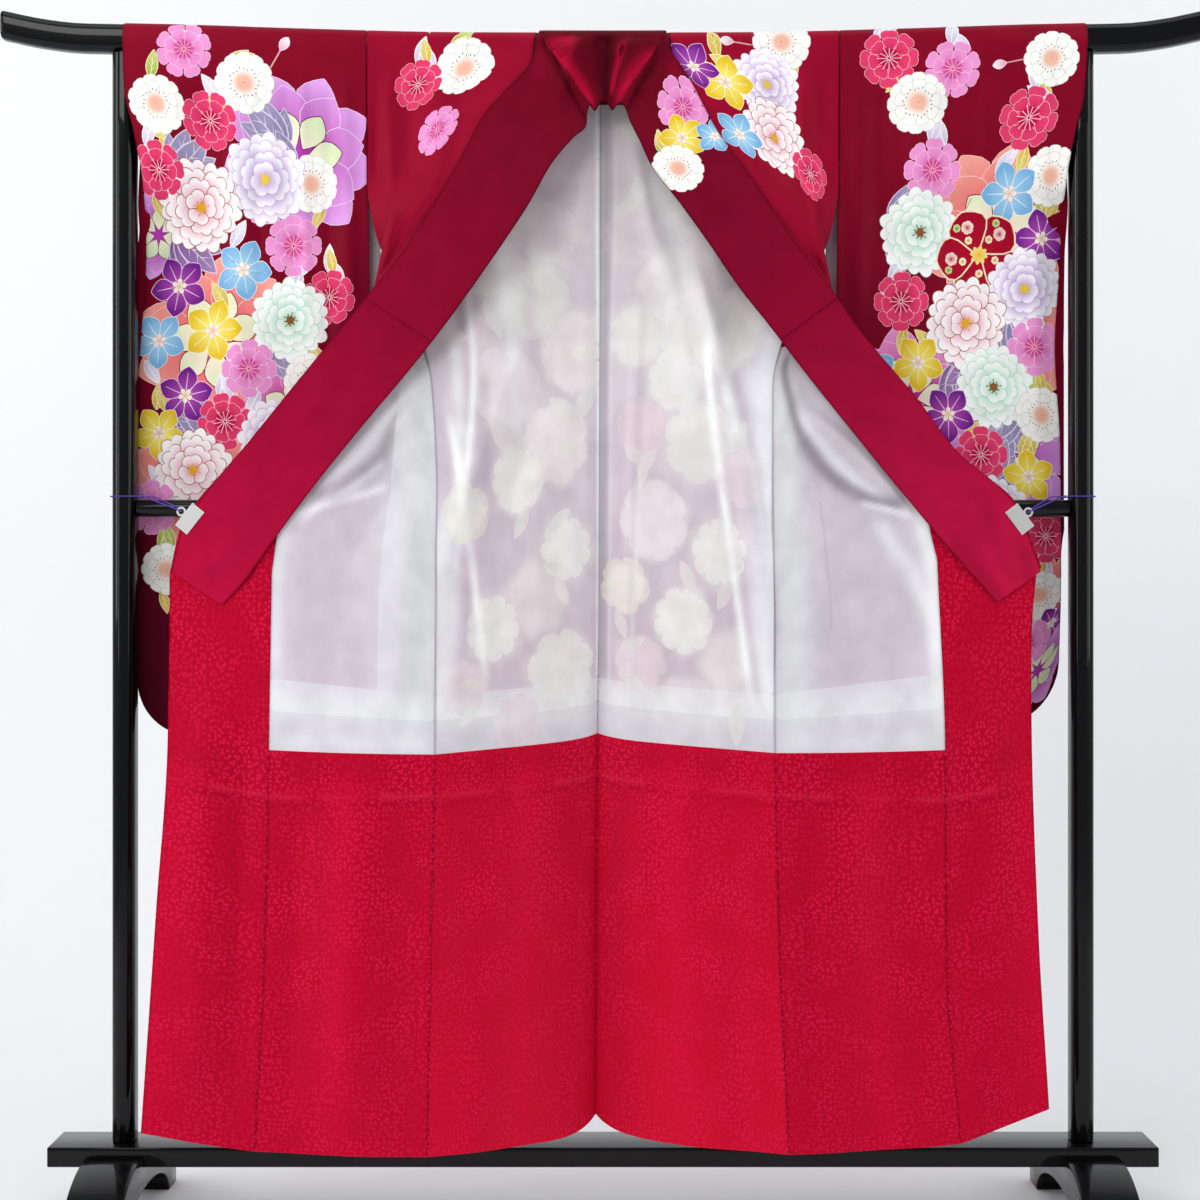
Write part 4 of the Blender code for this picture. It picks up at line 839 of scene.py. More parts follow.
def sleeve_form(side):
    """Sleeve: points, distances across from its seam, and down from the crest, less than 0 at the back."""
    across = spaced(SLEEVE_WIDTH, STEP_ACROSS, EDGE_STEPS)
    u = across / SLEEVE_WIDTH
    bottom = SLEEVE_BOTTOM[side]
    edge = float(curve(SLEEVE_EDGE[side], 1, SLEEVE_CORNER_AT))
    radius = SLEEVE_CORNER[side]
    from_edge = (edge - SLEEVE_INNER_FRONT) * (1 - u)
    short = np.maximum(radius - from_edge, 0.0)
    ends = bottom + radius - np.sqrt(radius ** 2 - short ** 2)
    spread = SLEEVE_SPREAD_HEIGHT
    count = int(round((SLEEVE_DEPTHS[-1][0] - bottom) / STEP_DOWN))
    heights_down = np.linspace(SLEEVE_DEPTHS[-1][0] - STEP_DOWN, bottom, count)
    layers, drops = {}, []
    for column, inner_low in ((1, SLEEVE_INNER_FRONT), (3, SLEEVE_INNER_BACK)):
        rows, drops = [], []
        for z in heights_down:
            fall = np.maximum(spread - z, 0.0) / (spread - bottom)
            heights = np.full(len(u), z) if z > spread else spread - (spread - ends) * fall
            inner = inner_low + (SLEEVE_INNER_SEWN - inner_low) * smooth_step(z, *SLEEVE_SEAM_ENDS)
            edge_x = curve(SLEEVE_EDGE[side], 1, heights)
            if column == 3:
                low = smooth_step(heights, *BACK_LAYER_STARTS)
                beyond = BACK_LAYER_BEYOND * low * smooth_step(heights, *BACK_LAYER_ENDS)
                limit = BACK_LAYER_LIMIT + (BACK_LAYER_BEHIND_POST[side] - BACK_LAYER_LIMIT) * (
                    low * smooth_step(heights, *BEHIND_POST_ENDS))
                edge_x = np.minimum(edge_x + beyond, np.maximum(edge_x, limit))
            x = inner + (edge_x - inner) * u
            y = sleeve_depth(u, heights, column) + sleeve_fold(side, u, heights)
            middle = (sleeve_depth(u, heights, 1) + sleeve_depth(u, heights, 3)) / 2
            middle = middle + sleeve_fold(side, u, heights) + (column - 2) * SLEEVE_EDGE_GAP / 2
            y = y + (middle - y) * smooth_step(z, bottom + SLEEVE_MEETS, bottom)
            lift = (bar_height(x) - BAR_HEIGHT) * smooth_step(z, *SLEEVE_LIFTS)
            rows.append(np.stack([side * x, y, heights + lift], axis=-1))
            drops.append(SLEEVE_DEPTHS[-1][0] - z + place_drop(5))
        layers[column] = rows
    edge_top = float(curve(SLEEVE_EDGE[side], 1, SLEEVE_TOP_AT))
    x_top = side * (SLEEVE_INNER_SEWN + (edge_top - SLEEVE_INNER_SEWN) * u)
    top = {}
    for column, back in ((1, False), (3, True)):
        rows = [bar_row(x_top, place, back) for place in BAR_PLACES]
        low = sleeve_depth(u, SLEEVE_DEPTHS[-1][0], column)
        for row, place in zip(rows, BAR_PLACES):
            row[:, 1] += (low - row[:, 1]) * smooth_step(place, *SLEEVE_LEAVES_BAR)
        top[column] = rows
    grid = layers[1][::-1] + top[1][:0:-1] + top[3] + layers[3]
    over = [place_drop(place) for place in BAR_PLACES]
    down = drops[::-1] + over[:0:-1] + [-d for d in over] + [-d for d in drops]
    return np.array(grid), across, np.array(down)


def linear(code):
    """An sRGB hex colour as linear red, green and blue."""
    parts = np.array([int(code[i:i + 2], 16) for i in (1, 3, 5)]) / 255
    return np.where(parts <= 0.04045, parts / 12.92, ((parts + 0.055) / 1.055) ** 2.4)


class Panel:
    """One cut piece of cloth as it hangs, with its flat distances across and down."""

    def __init__(self, form, sign):
        self.points, self.across, down = form
        if down[0] > down[-1]:
            self.points, down = self.points[::-1].copy(), down[::-1]
            sign = -sign
        self.down = down
        self.normals = grid_normals(self.points, sign)

    def part(self, first, last=math.inf):
        """The same panel between two distances down."""
        keep = (self.down >= first - 1e-6) & (self.down <= last + 1e-6)
        piece = object.__new__(Panel)
        piece.points, piece.normals = self.points[keep].copy(), self.normals[keep].copy()
        piece.across, piece.down = self.across, self.down[keep]
        return piece

    def read(self, flat):
        """Points and normals of the hanging cloth at flat places."""
        c = np.interp(flat[:, 0], self.across, np.arange(len(self.across)))
        r = np.interp(flat[:, 1], self.down, np.arange(len(self.down)))
        c0 = np.clip(c.astype(int), 0, len(self.across) - 2)
        r0 = np.clip(r.astype(int), 0, len(self.down) - 2)
        fc, fr = (c - c0)[:, None], (r - r0)[:, None]
        out = []
        for grid in (self.points, self.normals):
            top = grid[r0, c0] * (1 - fc) + grid[r0, c0 + 1] * fc
            low = grid[r0 + 1, c0] * (1 - fc) + grid[r0 + 1, c0 + 1] * fc
            out.append(top * (1 - fr) + low * fr)
        return out

    def rim(self):
        """Flat points all round the panel, in order."""
        a, d = self.across, self.down
        return np.concatenate([
            np.column_stack([a[:-1], np.full(len(a) - 1, d[0])]),
            np.column_stack([np.full(len(d) - 1, a[-1]), d[:-1]]),
            np.column_stack([a[:0:-1], np.full(len(a) - 1, d[-1])]),
            np.column_stack([np.full(len(d) - 1, a[0]), d[:0:-1]])])

    def inner(self):
        """Flat points of the panel's grid inside its rim."""
        a, d = np.meshgrid(self.across[1:-1], self.down[1:-1])
        return np.column_stack([a.ravel(), d.ravel()])


def leftward(outline):
    """The same outline with its inside on the left."""
    x, y = outline[:, 0], outline[:, 1]
    return outline if np.sum(x * np.roll(y, -1) - np.roll(x, -1) * y) > 0 else outline[::-1]


def triangulate(outlines, loose):
    """Triangles over layered outlines, the last on top: points, corners and the top outline of each."""
    outlines = [leftward(outline) for outline in outlines]
    points = np.concatenate([*outlines, loose])
    faces, start = [], 0
    for outline in outlines:
        faces.append(list(range(start, start + len(outline))))
        start += len(outline)
    coords = [Vector(p) for p in points * CUT_SCALE]
    found, _, corners, _, _, over = delaunay_2d_cdt(coords, [], faces, 1, CUT_NEAR)
    keep = [k for k, ids in enumerate(over) if 0 in ids and len(corners[k]) == 3]
    flat = np.array([(p.x, p.y) for p in found]) / CUT_SCALE
    corners = np.array([corners[k] for k in keep])
    top = np.array([max(over[k]) for k in keep])
    if len(outlines) > 1:
        flat, corners, top = seen_lines(flat, corners, top, loose)
    used, corners = np.unique(corners, return_inverse=True)
    return flat[used], corners.reshape(-1, 3), top


def ways_round(corners):
    """The three directed edges of each triangle."""
    return np.concatenate([corners[:, [0, 1]], corners[:, [1, 2]], corners[:, [2, 0]]])


def edges_of(corners):
    """Every edge of some triangles once, each triangle's place in that list, and its direction there."""
    ways = ways_round(corners)
    edges, place = np.unique(np.sort(ways, axis=1), axis=0, return_inverse=True)
    return edges, place.ravel(), (ways[:, 0] > ways[:, 1]).astype(int)


def straightened(flat, edges, beside):
    """The same lines without the points that lie on a straight run of them."""
    edges, beside = edges.tolist(), beside.tolist()
    links = {}
    for k, ends in enumerate(edges):
        for i in ends:
            links.setdefault(i, []).append(k)
    gone = set()
    for v, here in links.items():
        if len(here) != 2 or OUTSIDE in beside[here[0]]:
            continue
        first, second = here
        p, q = sum(edges[first]) - v, sum(edges[second]) - v
        (x, y), (s, t) = flat[p] - flat[v], flat[q] - flat[v]
        long = math.hypot(s - x, t - y)
        if p == q or long > LONGEST_LINE or abs(x * t - y * s) > STRAIGHT * long:
            continue
        edges[first] = [q if i == v else i for i in edges[first]]
        links[q] = [first if k == second else k for k in links[q]]
        gone.add(second)
    keep = [k for k in range(len(edges)) if k not in gone]
    return np.array([edges[k] for k in keep]), np.array([beside[k] for k in keep])


def seen_lines(flat, corners, top, loose):
    """The same layered outlines triangulated again with only the lines that show."""
    edges, place, back = edges_of(corners)
    beside = np.full((len(edges), 2), OUTSIDE)
    beside[place, back] = np.tile(top, 3)
    seen = beside[:, 0] != beside[:, 1]
    edges, beside = straightened(flat, edges[seen], beside[seen])
    used, lines = np.unique(edges, return_inverse=True)
    lines = lines.reshape(-1, 2)
    points = np.concatenate([flat[used], loose])
    coords = [Vector(p) for p in points * CUT_SCALE]
    found, ends, faces, _, origin, _ = delaunay_2d_cdt(coords, lines.tolist(), [], 0, CUT_NEAR)
    flat = np.array([(p.x, p.y) for p in found]) / CUT_SCALE
    held = np.array([k for k, ids in enumerate(origin) if ids])
    source = np.array([origin[k][0] for k in held])
    ends = np.sort(np.array(ends)[held], axis=1)
    way = flat[ends[:, 1]] - flat[ends[:, 0]]
    line = points[lines[source, 1]] - points[lines[source, 0]]
    same = np.sum(way * line, axis=1) > 0
    sides = np.where(same[:, None], beside[source], beside[source][:, ::-1])
    corners = np.array(faces)
    top = spread_tops(corners, ends, sides, len(flat))
    keep = top != OUTSIDE
    return flat, corners[keep], top[keep]


def spread_tops(corners, ends, sides, count):
    """The top outline of each triangle, given on both sides of the lines and spread to the rest."""
    edges, place, back = edges_of(corners)
    spot = np.searchsorted(edges[:, 0] * count + edges[:, 1], ends[:, 0] * count + ends[:, 1])
    known = np.full((len(edges), 2), UNKNOWN)
    known[spot] = sides
    top = known[place, back].reshape(3, -1).max(axis=0)
    pairs = np.full((len(edges), 2), -1)
    pairs[place, back] = np.tile(np.arange(len(corners)), 3)
    pairs = pairs[(known[:, 0] == UNKNOWN) & (pairs.min(axis=1) >= 0)]
    while True:
        there = top[pairs]
        unsure = (there[:, 0] == UNKNOWN) != (there[:, 1] == UNKNOWN)
        if not unsure.any():
            return top
        best = there[unsure].max(axis=1)
        top[pairs[unsure, 0]] = best
        top[pairs[unsure, 1]] = best


def facing(points, normals, corners, along):
    """The same triangles, turned to face along the normals or against them."""
    a, b, c = (points[corners[:, k]] for k in range(3))
    faced = np.sum(np.cross(b - a, c - a) * normals[corners[:, 0]])
    return corners[:, ::-1] if (faced < 0) == along else corners


def shell(name, panel, layers, material, colour, shapes=(), step=WIDE_ROWS):
    """A thin closed shell of cloth on a panel, its print cut into the face that shows."""
    outwards = layers[0] > layers[1]
    sign = 1 if outwards else -1
    width = panel.across[-1]
    flat, corners, top = triangulate([panel.rim()] + [s.points for s in shapes], panel.inner())
    points, normals = panel.read(flat)
    corners = facing(points, normals, corners, outwards)
    aside = np.minimum(flat[:, 0], width - flat[:, 0])
    rounding = EDGE_ROLL * np.exp(-(aside / EDGE_ROLL_WIDTH) ** 2)
    outer = points + normals * (layers[0] - sign * rounding)[:, None]
    loop = walk(corners)
    hidden_flat, hidden, _ = triangulate([flat[loop]], coarse_points(panel, step))
    points, hidden_normals = panel.read(hidden_flat)
    inner = points + hidden_normals * layers[1]
    hidden = facing(inner, hidden_normals, hidden, not outwards) + len(outer)
    sides = rim_faces(corners, loop, flat, hidden_flat)
    faces = np.concatenate([corners, hidden, sides])
    all_flat = np.concatenate([flat, hidden_flat])
    all_normals = np.concatenate([normals * sign, hidden_normals * -sign])
    shown = colours_with_painted_light(flat[corners], top, shapes, colour, width)
    plain = colour(all_flat[faces[len(corners):]].reshape(-1, 2)).reshape(-1, 3, 3)
    return cloth_mesh(name, np.concatenate([outer, inner]), faces, all_flat, all_normals,
                      np.concatenate([shown, plain]), material)


def colours_with_painted_light(places, top, shapes, colour, width):
    """Colours at the triangles' corners: ground, the shape on top, and painted shade along the seams."""
    colours = colour(places.reshape(-1, 2)).reshape(-1, 3, 3)
    for k in np.unique(top[top > 0]):
        mine = top == k
        tones = shapes[k - 1].colour(places[mine].reshape(-1, 2)).reshape(-1, 3, 3)
        colours[mine] += (tones - colours[mine]) * shapes[k - 1].share
    # Painted shade along both side edges of a panel, where the seams crease
    aside = np.minimum(places[..., 0], width - places[..., 0])
    return colours * (1 - SEAM_SHADE * np.exp(-(aside / SEAM_SHADE_WIDTH) ** 2))[..., None]


def rim_faces(corners, loop, flat, hidden_flat):
    """Narrow triangles that close a shell between its shown and its hidden face."""
    count = len(flat)
    places = {tuple(np.round(p * RIM_STEPS)): k for k, p in enumerate(hidden_flat)}
    beyond = [places.get(tuple(np.round(p * RIM_STEPS)), -1) for p in flat[loop]]
    ways = set(map(tuple, ways_round(corners).tolist()))
    faces = []
    for k in range(len(loop)):
        m = (k + 1) % len(loop)
        i, j, p, q = loop[k], loop[m], beyond[k], beyond[m]
        if min(p, q) < 0:
            continue
        if (i, j) in ways:
            faces += [(j, i, count + p), (j, count + p, count + q)]
        else:
            faces += [(i, j, count + p), (j, count + q, count + p)]
    return np.array(faces)


def coarse_points(panel, step):
    """Flat points for the hidden face of a shell, as close across as the outer ones but wider apart down."""
    a, d = np.meshgrid(panel.across[1:-1], panel.down[step:-step:step])
    return np.column_stack([a.ravel(), d.ravel()])


def walk(corners):
    """Corner numbers in order round the rim of some triangles."""
    edges, place, _ = edges_of(corners)
    edges = edges[np.bincount(place) == 1]
    beside = {}
    for i, j in edges.tolist():
        beside.setdefault(i, []).append(j)
        beside.setdefault(j, []).append(i)
    start = edges[0, 0]
    loop, last, here = [int(start)], -1, int(start)
    while True:
        ahead = [k for k in beside[here] if k != last]
        if not ahead or ahead[0] == start:
            return loop
        last, here = here, ahead[0]
        loop.append(here)


def cloth_mesh(name, verts, faces, flat, normals, colours, material):
    """A mesh with its flat cloth places, its print with painted shade and highlights, and its smooth normals.
    """
    mesh = bpy.data.meshes.new(name)
    mesh.vertices.add(len(verts))
    mesh.vertices.foreach_set("co", np.asarray(verts, np.float32).ravel())
    mesh.loops.add(len(faces) * 3)
    mesh.loops.foreach_set("vertex_index", faces.astype(np.int32).ravel())
    mesh.polygons.add(len(faces))
    mesh.polygons.foreach_set("loop_start", np.arange(0, len(faces) * 3, 3, dtype=np.int32))
    mesh.update(calc_edges=True)
    mesh.polygons.foreach_set("use_smooth", np.ones(len(faces), bool))
    places = mesh.uv_layers.new(name="cloth")
    places.data.foreach_set("uv", flat[faces].astype(np.float32).ravel())
    # The print together with its painted shade and highlights, as colours at the corners
    print_and_light_layer = mesh.color_attributes.new("print_and_painted_light", "FLOAT_COLOR", "CORNER")
    rgba = np.concatenate([colours.reshape(-1, 3), np.ones((len(faces) * 3, 1))], axis=1)
    print_and_light_layer.data.foreach_set("color", rgba.astype(np.float32).ravel())
    mesh.normals_split_custom_set(normals[faces].reshape(-1, 3).tolist())
    mesh.materials.append(material)
    obj = bpy.data.objects.new(name, mesh)
    bpy.context.collection.objects.link(obj)
    return obj


class Shape:
    """One printed outline in flat cloth metres, coloured by the distance from a point."""

    def __init__(self, points, centre, stops, share=1.0):
        self.points = np.asarray(points, float)
        self.centre = np.asarray(centre, float)
        self.stops = stops
        self.share = share

    def colour(self, flat):
        """Linear colours at flat places."""
        away = np.linalg.norm(flat - self.centre, axis=1)
        reach = [r for r, _ in self.stops]
        tones = np.array([linear(code) for _, code in self.stops])
        return np.stack([np.interp(away, reach, tones[:, k]) for k in range(3)], axis=1)

    def moved(self, place, turn, size):
        """The same outline turned, sized and placed."""
        spin = np.array([[math.cos(turn), math.sin(turn)], [-math.sin(turn), math.cos(turn)]])
        return Shape(self.points @ spin * size + place, self.centre @ spin * size + place,
                     [(r * size, code) for r, code in self.stops], self.share)


def rgba(code):
    """An sRGB hex colour as a linear colour value."""
    return (*[float(v) for v in linear(code)], 1.0)


def new_material(name):
    """An empty material with its output."""
    made = bpy.data.materials.new(name)
    made.use_nodes = True
    made.node_tree.nodes.clear()
    made.node_tree.nodes.new("ShaderNodeOutputMaterial").name = "out"
    return made


def add(made, kind, values=None, settings=None, links=None, out=None):
    """Adds a node to a material with its settings, its values and its links."""
    tree = made.node_tree
    node = tree.nodes.new(kind)
    for key, value in (settings or {}).items():
        setattr(node, key, value)
    for key, value in (values or {}).items():
        node.inputs[key].default_value = value
    for key, source in (links or {}).items():
        tree.links.new(source, node.inputs[key])
    if out:
        tree.links.new(node.outputs[0], tree.nodes["out"].inputs[out])
    return node


def flat_places(made, scale):
    """Flat places on the cloth in metres, times a scale."""
    places = add(made, "ShaderNodeUVMap", settings={"uv_map": "cloth"})
    return add(made, "ShaderNodeMapping", {"Scale": (scale, scale, scale)},
               links={"Vector": places.outputs[0]})


def silk(name, weave_size, weave_depth, roughness, sheen, sheen_tint):
    """Silk whose colours come from the dyed print and its painted shade and highlights, with a fine wavy
    weave that softens its light.
    """
    made = new_material(name)
    print_and_light = add(made, "ShaderNodeAttribute", settings={"attribute_name": "print_and_painted_light"})
    places = flat_places(made, 1.0)
    threads = add(made, "ShaderNodeTexNoise", {"Scale": 1 / weave_size, "Detail": 2.0, "Distortion": 1.2},
                  {"noise_dimensions": "2D"}, {"Vector": places.outputs[0]})
    soft = add(made, "ShaderNodeTexNoise", {"Scale": 22.0, "Detail": 3.0},
               {"noise_dimensions": "2D"}, {"Vector": places.outputs[0]})
    shade = add(made, "ShaderNodeMapRange",
                {"From Min": 0.3, "From Max": 0.7, "To Min": 0.93, "To Max": 1.05},
                links={"Value": soft.outputs[0]})
    scale = add(made, "ShaderNodeVectorMath", settings={"operation": "SCALE"},
                links={"Vector": print_and_light.outputs["Color"], "Scale": shade.outputs[0]})
    weave = add(made, "ShaderNodeBump", {"Strength": 0.35, "Distance": weave_depth},
                links={"Height": threads.outputs[0]})
    add(made, "ShaderNodeBsdfPrincipled",
        {"Roughness": roughness, "Sheen Weight": sheen, "Sheen Roughness": 0.4,
         "Sheen Tint": rgba(sheen_tint), "Specular IOR Level": 0.22, "Specular Tint": rgba(sheen_tint)},
        links={"Base Color": scale.outputs[0], "Normal": weave.outputs[0]}, out="Surface")
    return made


def fleck_silk(name):
    """Satin silk with a scatter of small lighter blossoms, five lobes round each cell's middle."""
    made = new_material(name)
    # Its colours carry the red lining's painted crease light and shade
    print_and_light = add(made, "ShaderNodeAttribute", settings={"attribute_name": "print_and_painted_light"})
    places = flat_places(made, 1 / FLECK_SPACING)
    cells = add(made, "ShaderNodeTexVoronoi", {"Scale": 1.0, "Randomness": 0.8}, {"voronoi_dimensions": "2D"},
                {"Vector": places.outputs[0]})
    local = add(made, "ShaderNodeVectorMath", settings={"operation": "SUBTRACT"},
                links={0: places.outputs[0], 1: cells.outputs["Position"]})
    axes = add(made, "ShaderNodeSeparateXYZ", links={0: local.outputs[0]})
    angle = add(made, "ShaderNodeMath", settings={"operation": "ARCTAN2"},
                links={0: axes.outputs["Y"], 1: axes.outputs["X"]})
    five = add(made, "ShaderNodeMath", {1: 5.0}, {"operation": "MULTIPLY"}, {0: angle.outputs[0]})
    lobes = add(made, "ShaderNodeMath", settings={"operation": "COSINE"}, links={0: five.outputs[0]})
    edge = add(made, "ShaderNodeMath", {1: 0.07, 2: 0.33}, {"operation": "MULTIPLY_ADD"},
               {0: lobes.outputs[0]})
    away = add(made, "ShaderNodeVectorMath", settings={"operation": "LENGTH"}, links={0: local.outputs[0]})
    inside = add(made, "ShaderNodeMath", settings={"operation": "SUBTRACT"},
                 links={0: edge.outputs[0], 1: away.outputs["Value"]})
    mask = add(made, "ShaderNodeMapRange", {"From Min": -0.04, "From Max": 0.10, "To Max": 1.0},
               links={"Value": inside.outputs[0]})
    metres = flat_places(made, 1.0)
    patches = add(made, "ShaderNodeTexNoise", {"Scale": 14.0, "Detail": 2.0}, {"noise_dimensions": "2D"},
                  {"Vector": metres.outputs[0]})
    clear = add(made, "ShaderNodeMapRange",
                {"From Min": 0.35, "From Max": 0.65, "To Min": 0.22, "To Max": 0.74},
                links={"Value": patches.outputs[0]})
    seen = add(made, "ShaderNodeMath", settings={"operation": "MULTIPLY"},
               links={0: mask.outputs[0], 1: clear.outputs[0]})
    ground = add(made, "ShaderNodeMix", {7: rgba("#DC1C48")}, {"data_type": "RGBA"},
                 {"Factor": seen.outputs[0], 6: print_and_light.outputs["Color"]})
    add(made, "ShaderNodeBsdfPrincipled",
        {"Roughness": 0.42, "Sheen Weight": 0.08, "Sheen Roughness": 0.4, "Sheen Tint": rgba("#E03050"),
         "Specular IOR Level": 0.25, "Specular Tint": rgba("#E84060")},
        links={"Base Color": ground.outputs[2]}, out="Surface")
    return made


def lacquer(name):
    """Black lacquer, rubbed smooth and polished: a dark body under a clear, very slightly uneven coat."""
    made = new_material(name)
    places = add(made, "ShaderNodeTexCoord")
    waves = add(made, "ShaderNodeTexNoise", {"Scale": 9.0, "Detail": 1.0},
                links={"Vector": places.outputs["Object"]})
    slow = add(made, "ShaderNodeBump", {"Strength": 0.05, "Distance": 0.002},
               links={"Height": waves.outputs[0]})
    add(made, "ShaderNodeBsdfPrincipled",
        {"Base Color": rgba("#030304"), "Roughness": 0.3, "Specular IOR Level": 0.05, "Coat Weight": 0.42,
         "Coat Roughness": 0.05},
        links={"Coat Normal": slow.outputs[0]}, out="Surface")
    return made


def plain(name, colour, roughness, metal=0.0, sheen=0.0):
    """A plain material."""
    made = new_material(name)
    add(made, "ShaderNodeBsdfPrincipled",
        {"Base Color": rgba(colour), "Roughness": roughness, "Metallic": metal, "Sheen Weight": sheen},
        out="Surface")
    return made


def tint(table):
    """A function that colours flat places by their distance down."""
    reach = [t for t, _ in table]
    tones = np.array([linear(code) for _, code in table])

    def colour(flat):
        return np.stack([np.interp(flat[:, 1], reach, tones[:, k]) for k in range(3)], axis=1)
    return colour


def clear_of_rail(panel, front):
    """Keeps a panel in front of the middle rail, or behind it."""
    p = panel.points
    reach = RAIL_RADIUS + RAIL_CLEARANCE
    near = np.sqrt(np.maximum(reach ** 2 - (p[..., 2] - RAIL_HEIGHT) ** 2, 0.0))
    if front:
        p[..., 1] = np.where(near > 0, np.minimum(p[..., 1], -near), p[..., 1])
    else:
        p[..., 1] = np.where(near > 0, np.maximum(p[..., 1], near), p[..., 1])


def edge_fade(across, low, high):
    """Share of the folds that is left near a panel's two edges."""
    width = across[-1]
    share = np.ones(len(across))
    if low:
        share = share * smooth_step(across, 0.0, low)
    if high:
        share = share * (1 - smooth_step(across, width - high, width))
    return share


def body_panels():
    """Back, front and okumi of both sides, folded and with common directions at their seams."""
    collar = collar_points()
    panels = {}
    for side in (-1, 1):
        seam = seam_line(side, collar)
        forms = {"back": back_form(side), "front": front_form(side, seam), "okumi": okumi_form(side, seam)}
        for key, (grid, across, down) in forms.items():
            fade = np.ones((len(down), len(across)))
            if key in FADE_AT_COLLAR:
                held = (1 - smooth_step(down, *HELD_BY_COLLAR))[:, None]
                fade = 1 - (1 - edge_fade(across, None, FADE_AT_COLLAR[key]))[None, :] * held
            if key == "front":
                held = (1 - smooth_step(down, *HELD_AT_SIDE))[:, None]
                fade = fade * (1 - (1 - edge_fade(across, FADE_AT_EDGE, None))[None, :] * held)
            under = 1 - smooth_step(grid[..., 2], FADE_UNDER_BAR[1], FADE_UNDER_BAR[0])
            grid[..., 1] -= relief(grid[..., 0], grid[..., 2], BODY_CREASES[key]) * fade * under
            panel = Panel((grid, across, down), side)
            if key == "back":
                clear_of_rail(panel, True)
                panel.normals = grid_normals(panel.points, side)
            panels[key, side] = panel
    for side in (-1, 1):
        back, front, okumi = (panels[key, side] for key in ("back", "front", "okumi"))
        join(back, -1, front, 0, SIDE_SEAM_TOP)
        join(front, -1, okumi, 0, OKUMI_TIP)
    join(panels["back", -1], 0, panels["back", 1], 0, 0.0)
    return panels


def join(first, column, second, other, top):
    """Gives two panels one direction along their seam, below its top."""
    a = first.down >= top - 1e-6
    b = second.down >= top - 1e-6
    one = first.normals[a][:, column].copy()
    here = second.down[b]
    theirs = second.normals[b][:, other]
    two = np.stack([np.interp(first.down[a], here, theirs[:, k]) for k in range(3)], axis=-1)
    both = unit(one + two)
    both = both / np.maximum(np.sum(both * unit(one), axis=-1, keepdims=True), 0.62)
    first.normals[a, column] = both
    back = np.stack([np.interp(here, first.down[a], both[:, k]) for k in range(3)], axis=-1)
    second.normals[b, other] = back


def dress(obj, node):
    """Puts a piece of cloth in place of its solid."""
    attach(obj, "root")
    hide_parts(node)


def make_body(panels, looks):
    """Outer cloth, white lining and red hem lining of the backs, fronts and okumi."""
    for (key, side), panel in panels.items():
        word = WORDS[side]
        shapes = looks.shapes.get((key, side), [])
        step = WIDE_ROWS if key == "okumi" else CLOSE_ROWS
        obj = shell(f"{key}_cloth_{word}", panel, OUTER, looks.crimson, looks.ground[key], shapes, step=step)
        dress(obj, f"{key}_{word}")
        low = panel.part(LINING_END_DROP)
        if key != "okumi":
            first = LINING_TOPS[key]
            upper = panel.part(first, LINING_END_DROP)
            shapes = looks.shapes.get((key, side, "white"), [])
            obj = shell(f"{key}_white_lining_{word}", upper, (LINING[1], LINING[0]), looks.white,
                        looks.ground[key, side, "white"], shapes, step=CLOSE_ROWS)
            dress(obj, f"lining_{key}_{word}")
        else:
            low = panel.part(FRONT_LINING_DROP)
        obj = shell(f"{key}_red_lining_{word}", low, (LINING[1], LINING[0]), looks.red,
                    looks.ground[key, "red"], looks.shapes.get((key, side, "red"), []))
        dress(obj, f"hem_lining_{key}_{word}")


def sleeve_panel(side):
    """One sleeve, folded, its two layers together."""
    grid, across, down = sleeve_form(side)
    fade = edge_fade(across, FADE_AT_EDGE, FADE_AT_EDGE)[None, :]
    z = grid[..., 2]
    under = 1 - smooth_step(z, FADE_UNDER_BAR[1], FADE_UNDER_BAR[0])
    grid[..., 1] -= relief(grid[..., 0], z, SLEEVE_CREASES) * fade * under
    panel = Panel((grid, across, down), side)
    clear_of_rail(panel, False)
    panel.normals = grid_normals(panel.points, -side)
    return panel


def make_sleeves(looks):
    """Both sleeves and the strip of lining that shows inside each."""
    for side, word in WORDS.items():
        panel = sleeve_panel(side)
        obj = shell(f"sleeve_cloth_{word}", panel, OUTER, looks.crimson, looks.ground["sleeve"],
                    looks.shapes.get(("sleeve", side), []))
        dress(obj, f"sleeve_{word}")
        strip = panel.part(*SLEEVE_STRIP)
        strip.across = strip.across[strip.across < SLEEVE_STRIP_WIDTH]
        strip.points = strip.points[:, :len(strip.across)]
        strip.normals = strip.normals[:, :len(strip.across)]
        obj = shell(f"sleeve_white_lining_{word}", strip, (LINING[1], LINING[0]), looks.white,
                    looks.ground["strip"])
        dress(obj, f"sleeve_lining_{word}")


def collar_panel(low, high):
    """The collar band between two distances along it."""
    grid, across, along = collar_form()
    grid[..., 1] -= relief(grid[..., 0], grid[..., 2], COLLAR_CREASES) * smooth_step(across, 0.020, 0.045)
    corner = np.exp(-((np.abs(along)[:, None] - NECK_CORNER) / NECK_CORNER_WIDTH) ** 2)
    grid[..., 2] -= NECK_CORNER_DROP * corner * (across / BAND_WIDTH) ** 4
    panel = Panel((grid, across, along), 1)
    if panel.normals[len(along) // 2, -3, 1] > 0:
        panel.normals = -panel.normals
    return panel.part(low, high)


def make_collar(looks):
    """Collar band and the over-collar sewn on its upper part."""
    whole = collar_panel(-math.inf, math.inf)
    obj = shell("collar_cloth", whole, BAND, looks.collar, looks.ground["collar"])
    dress(obj, "collar")
    upper = collar_panel(*OVER_COLLAR_RUN)
    obj = shell("over_collar_cloth", upper, OVER_BAND, looks.collar, looks.ground["collar"],
                looks.shapes["over_collar"])
    dress(obj, "over_collar")


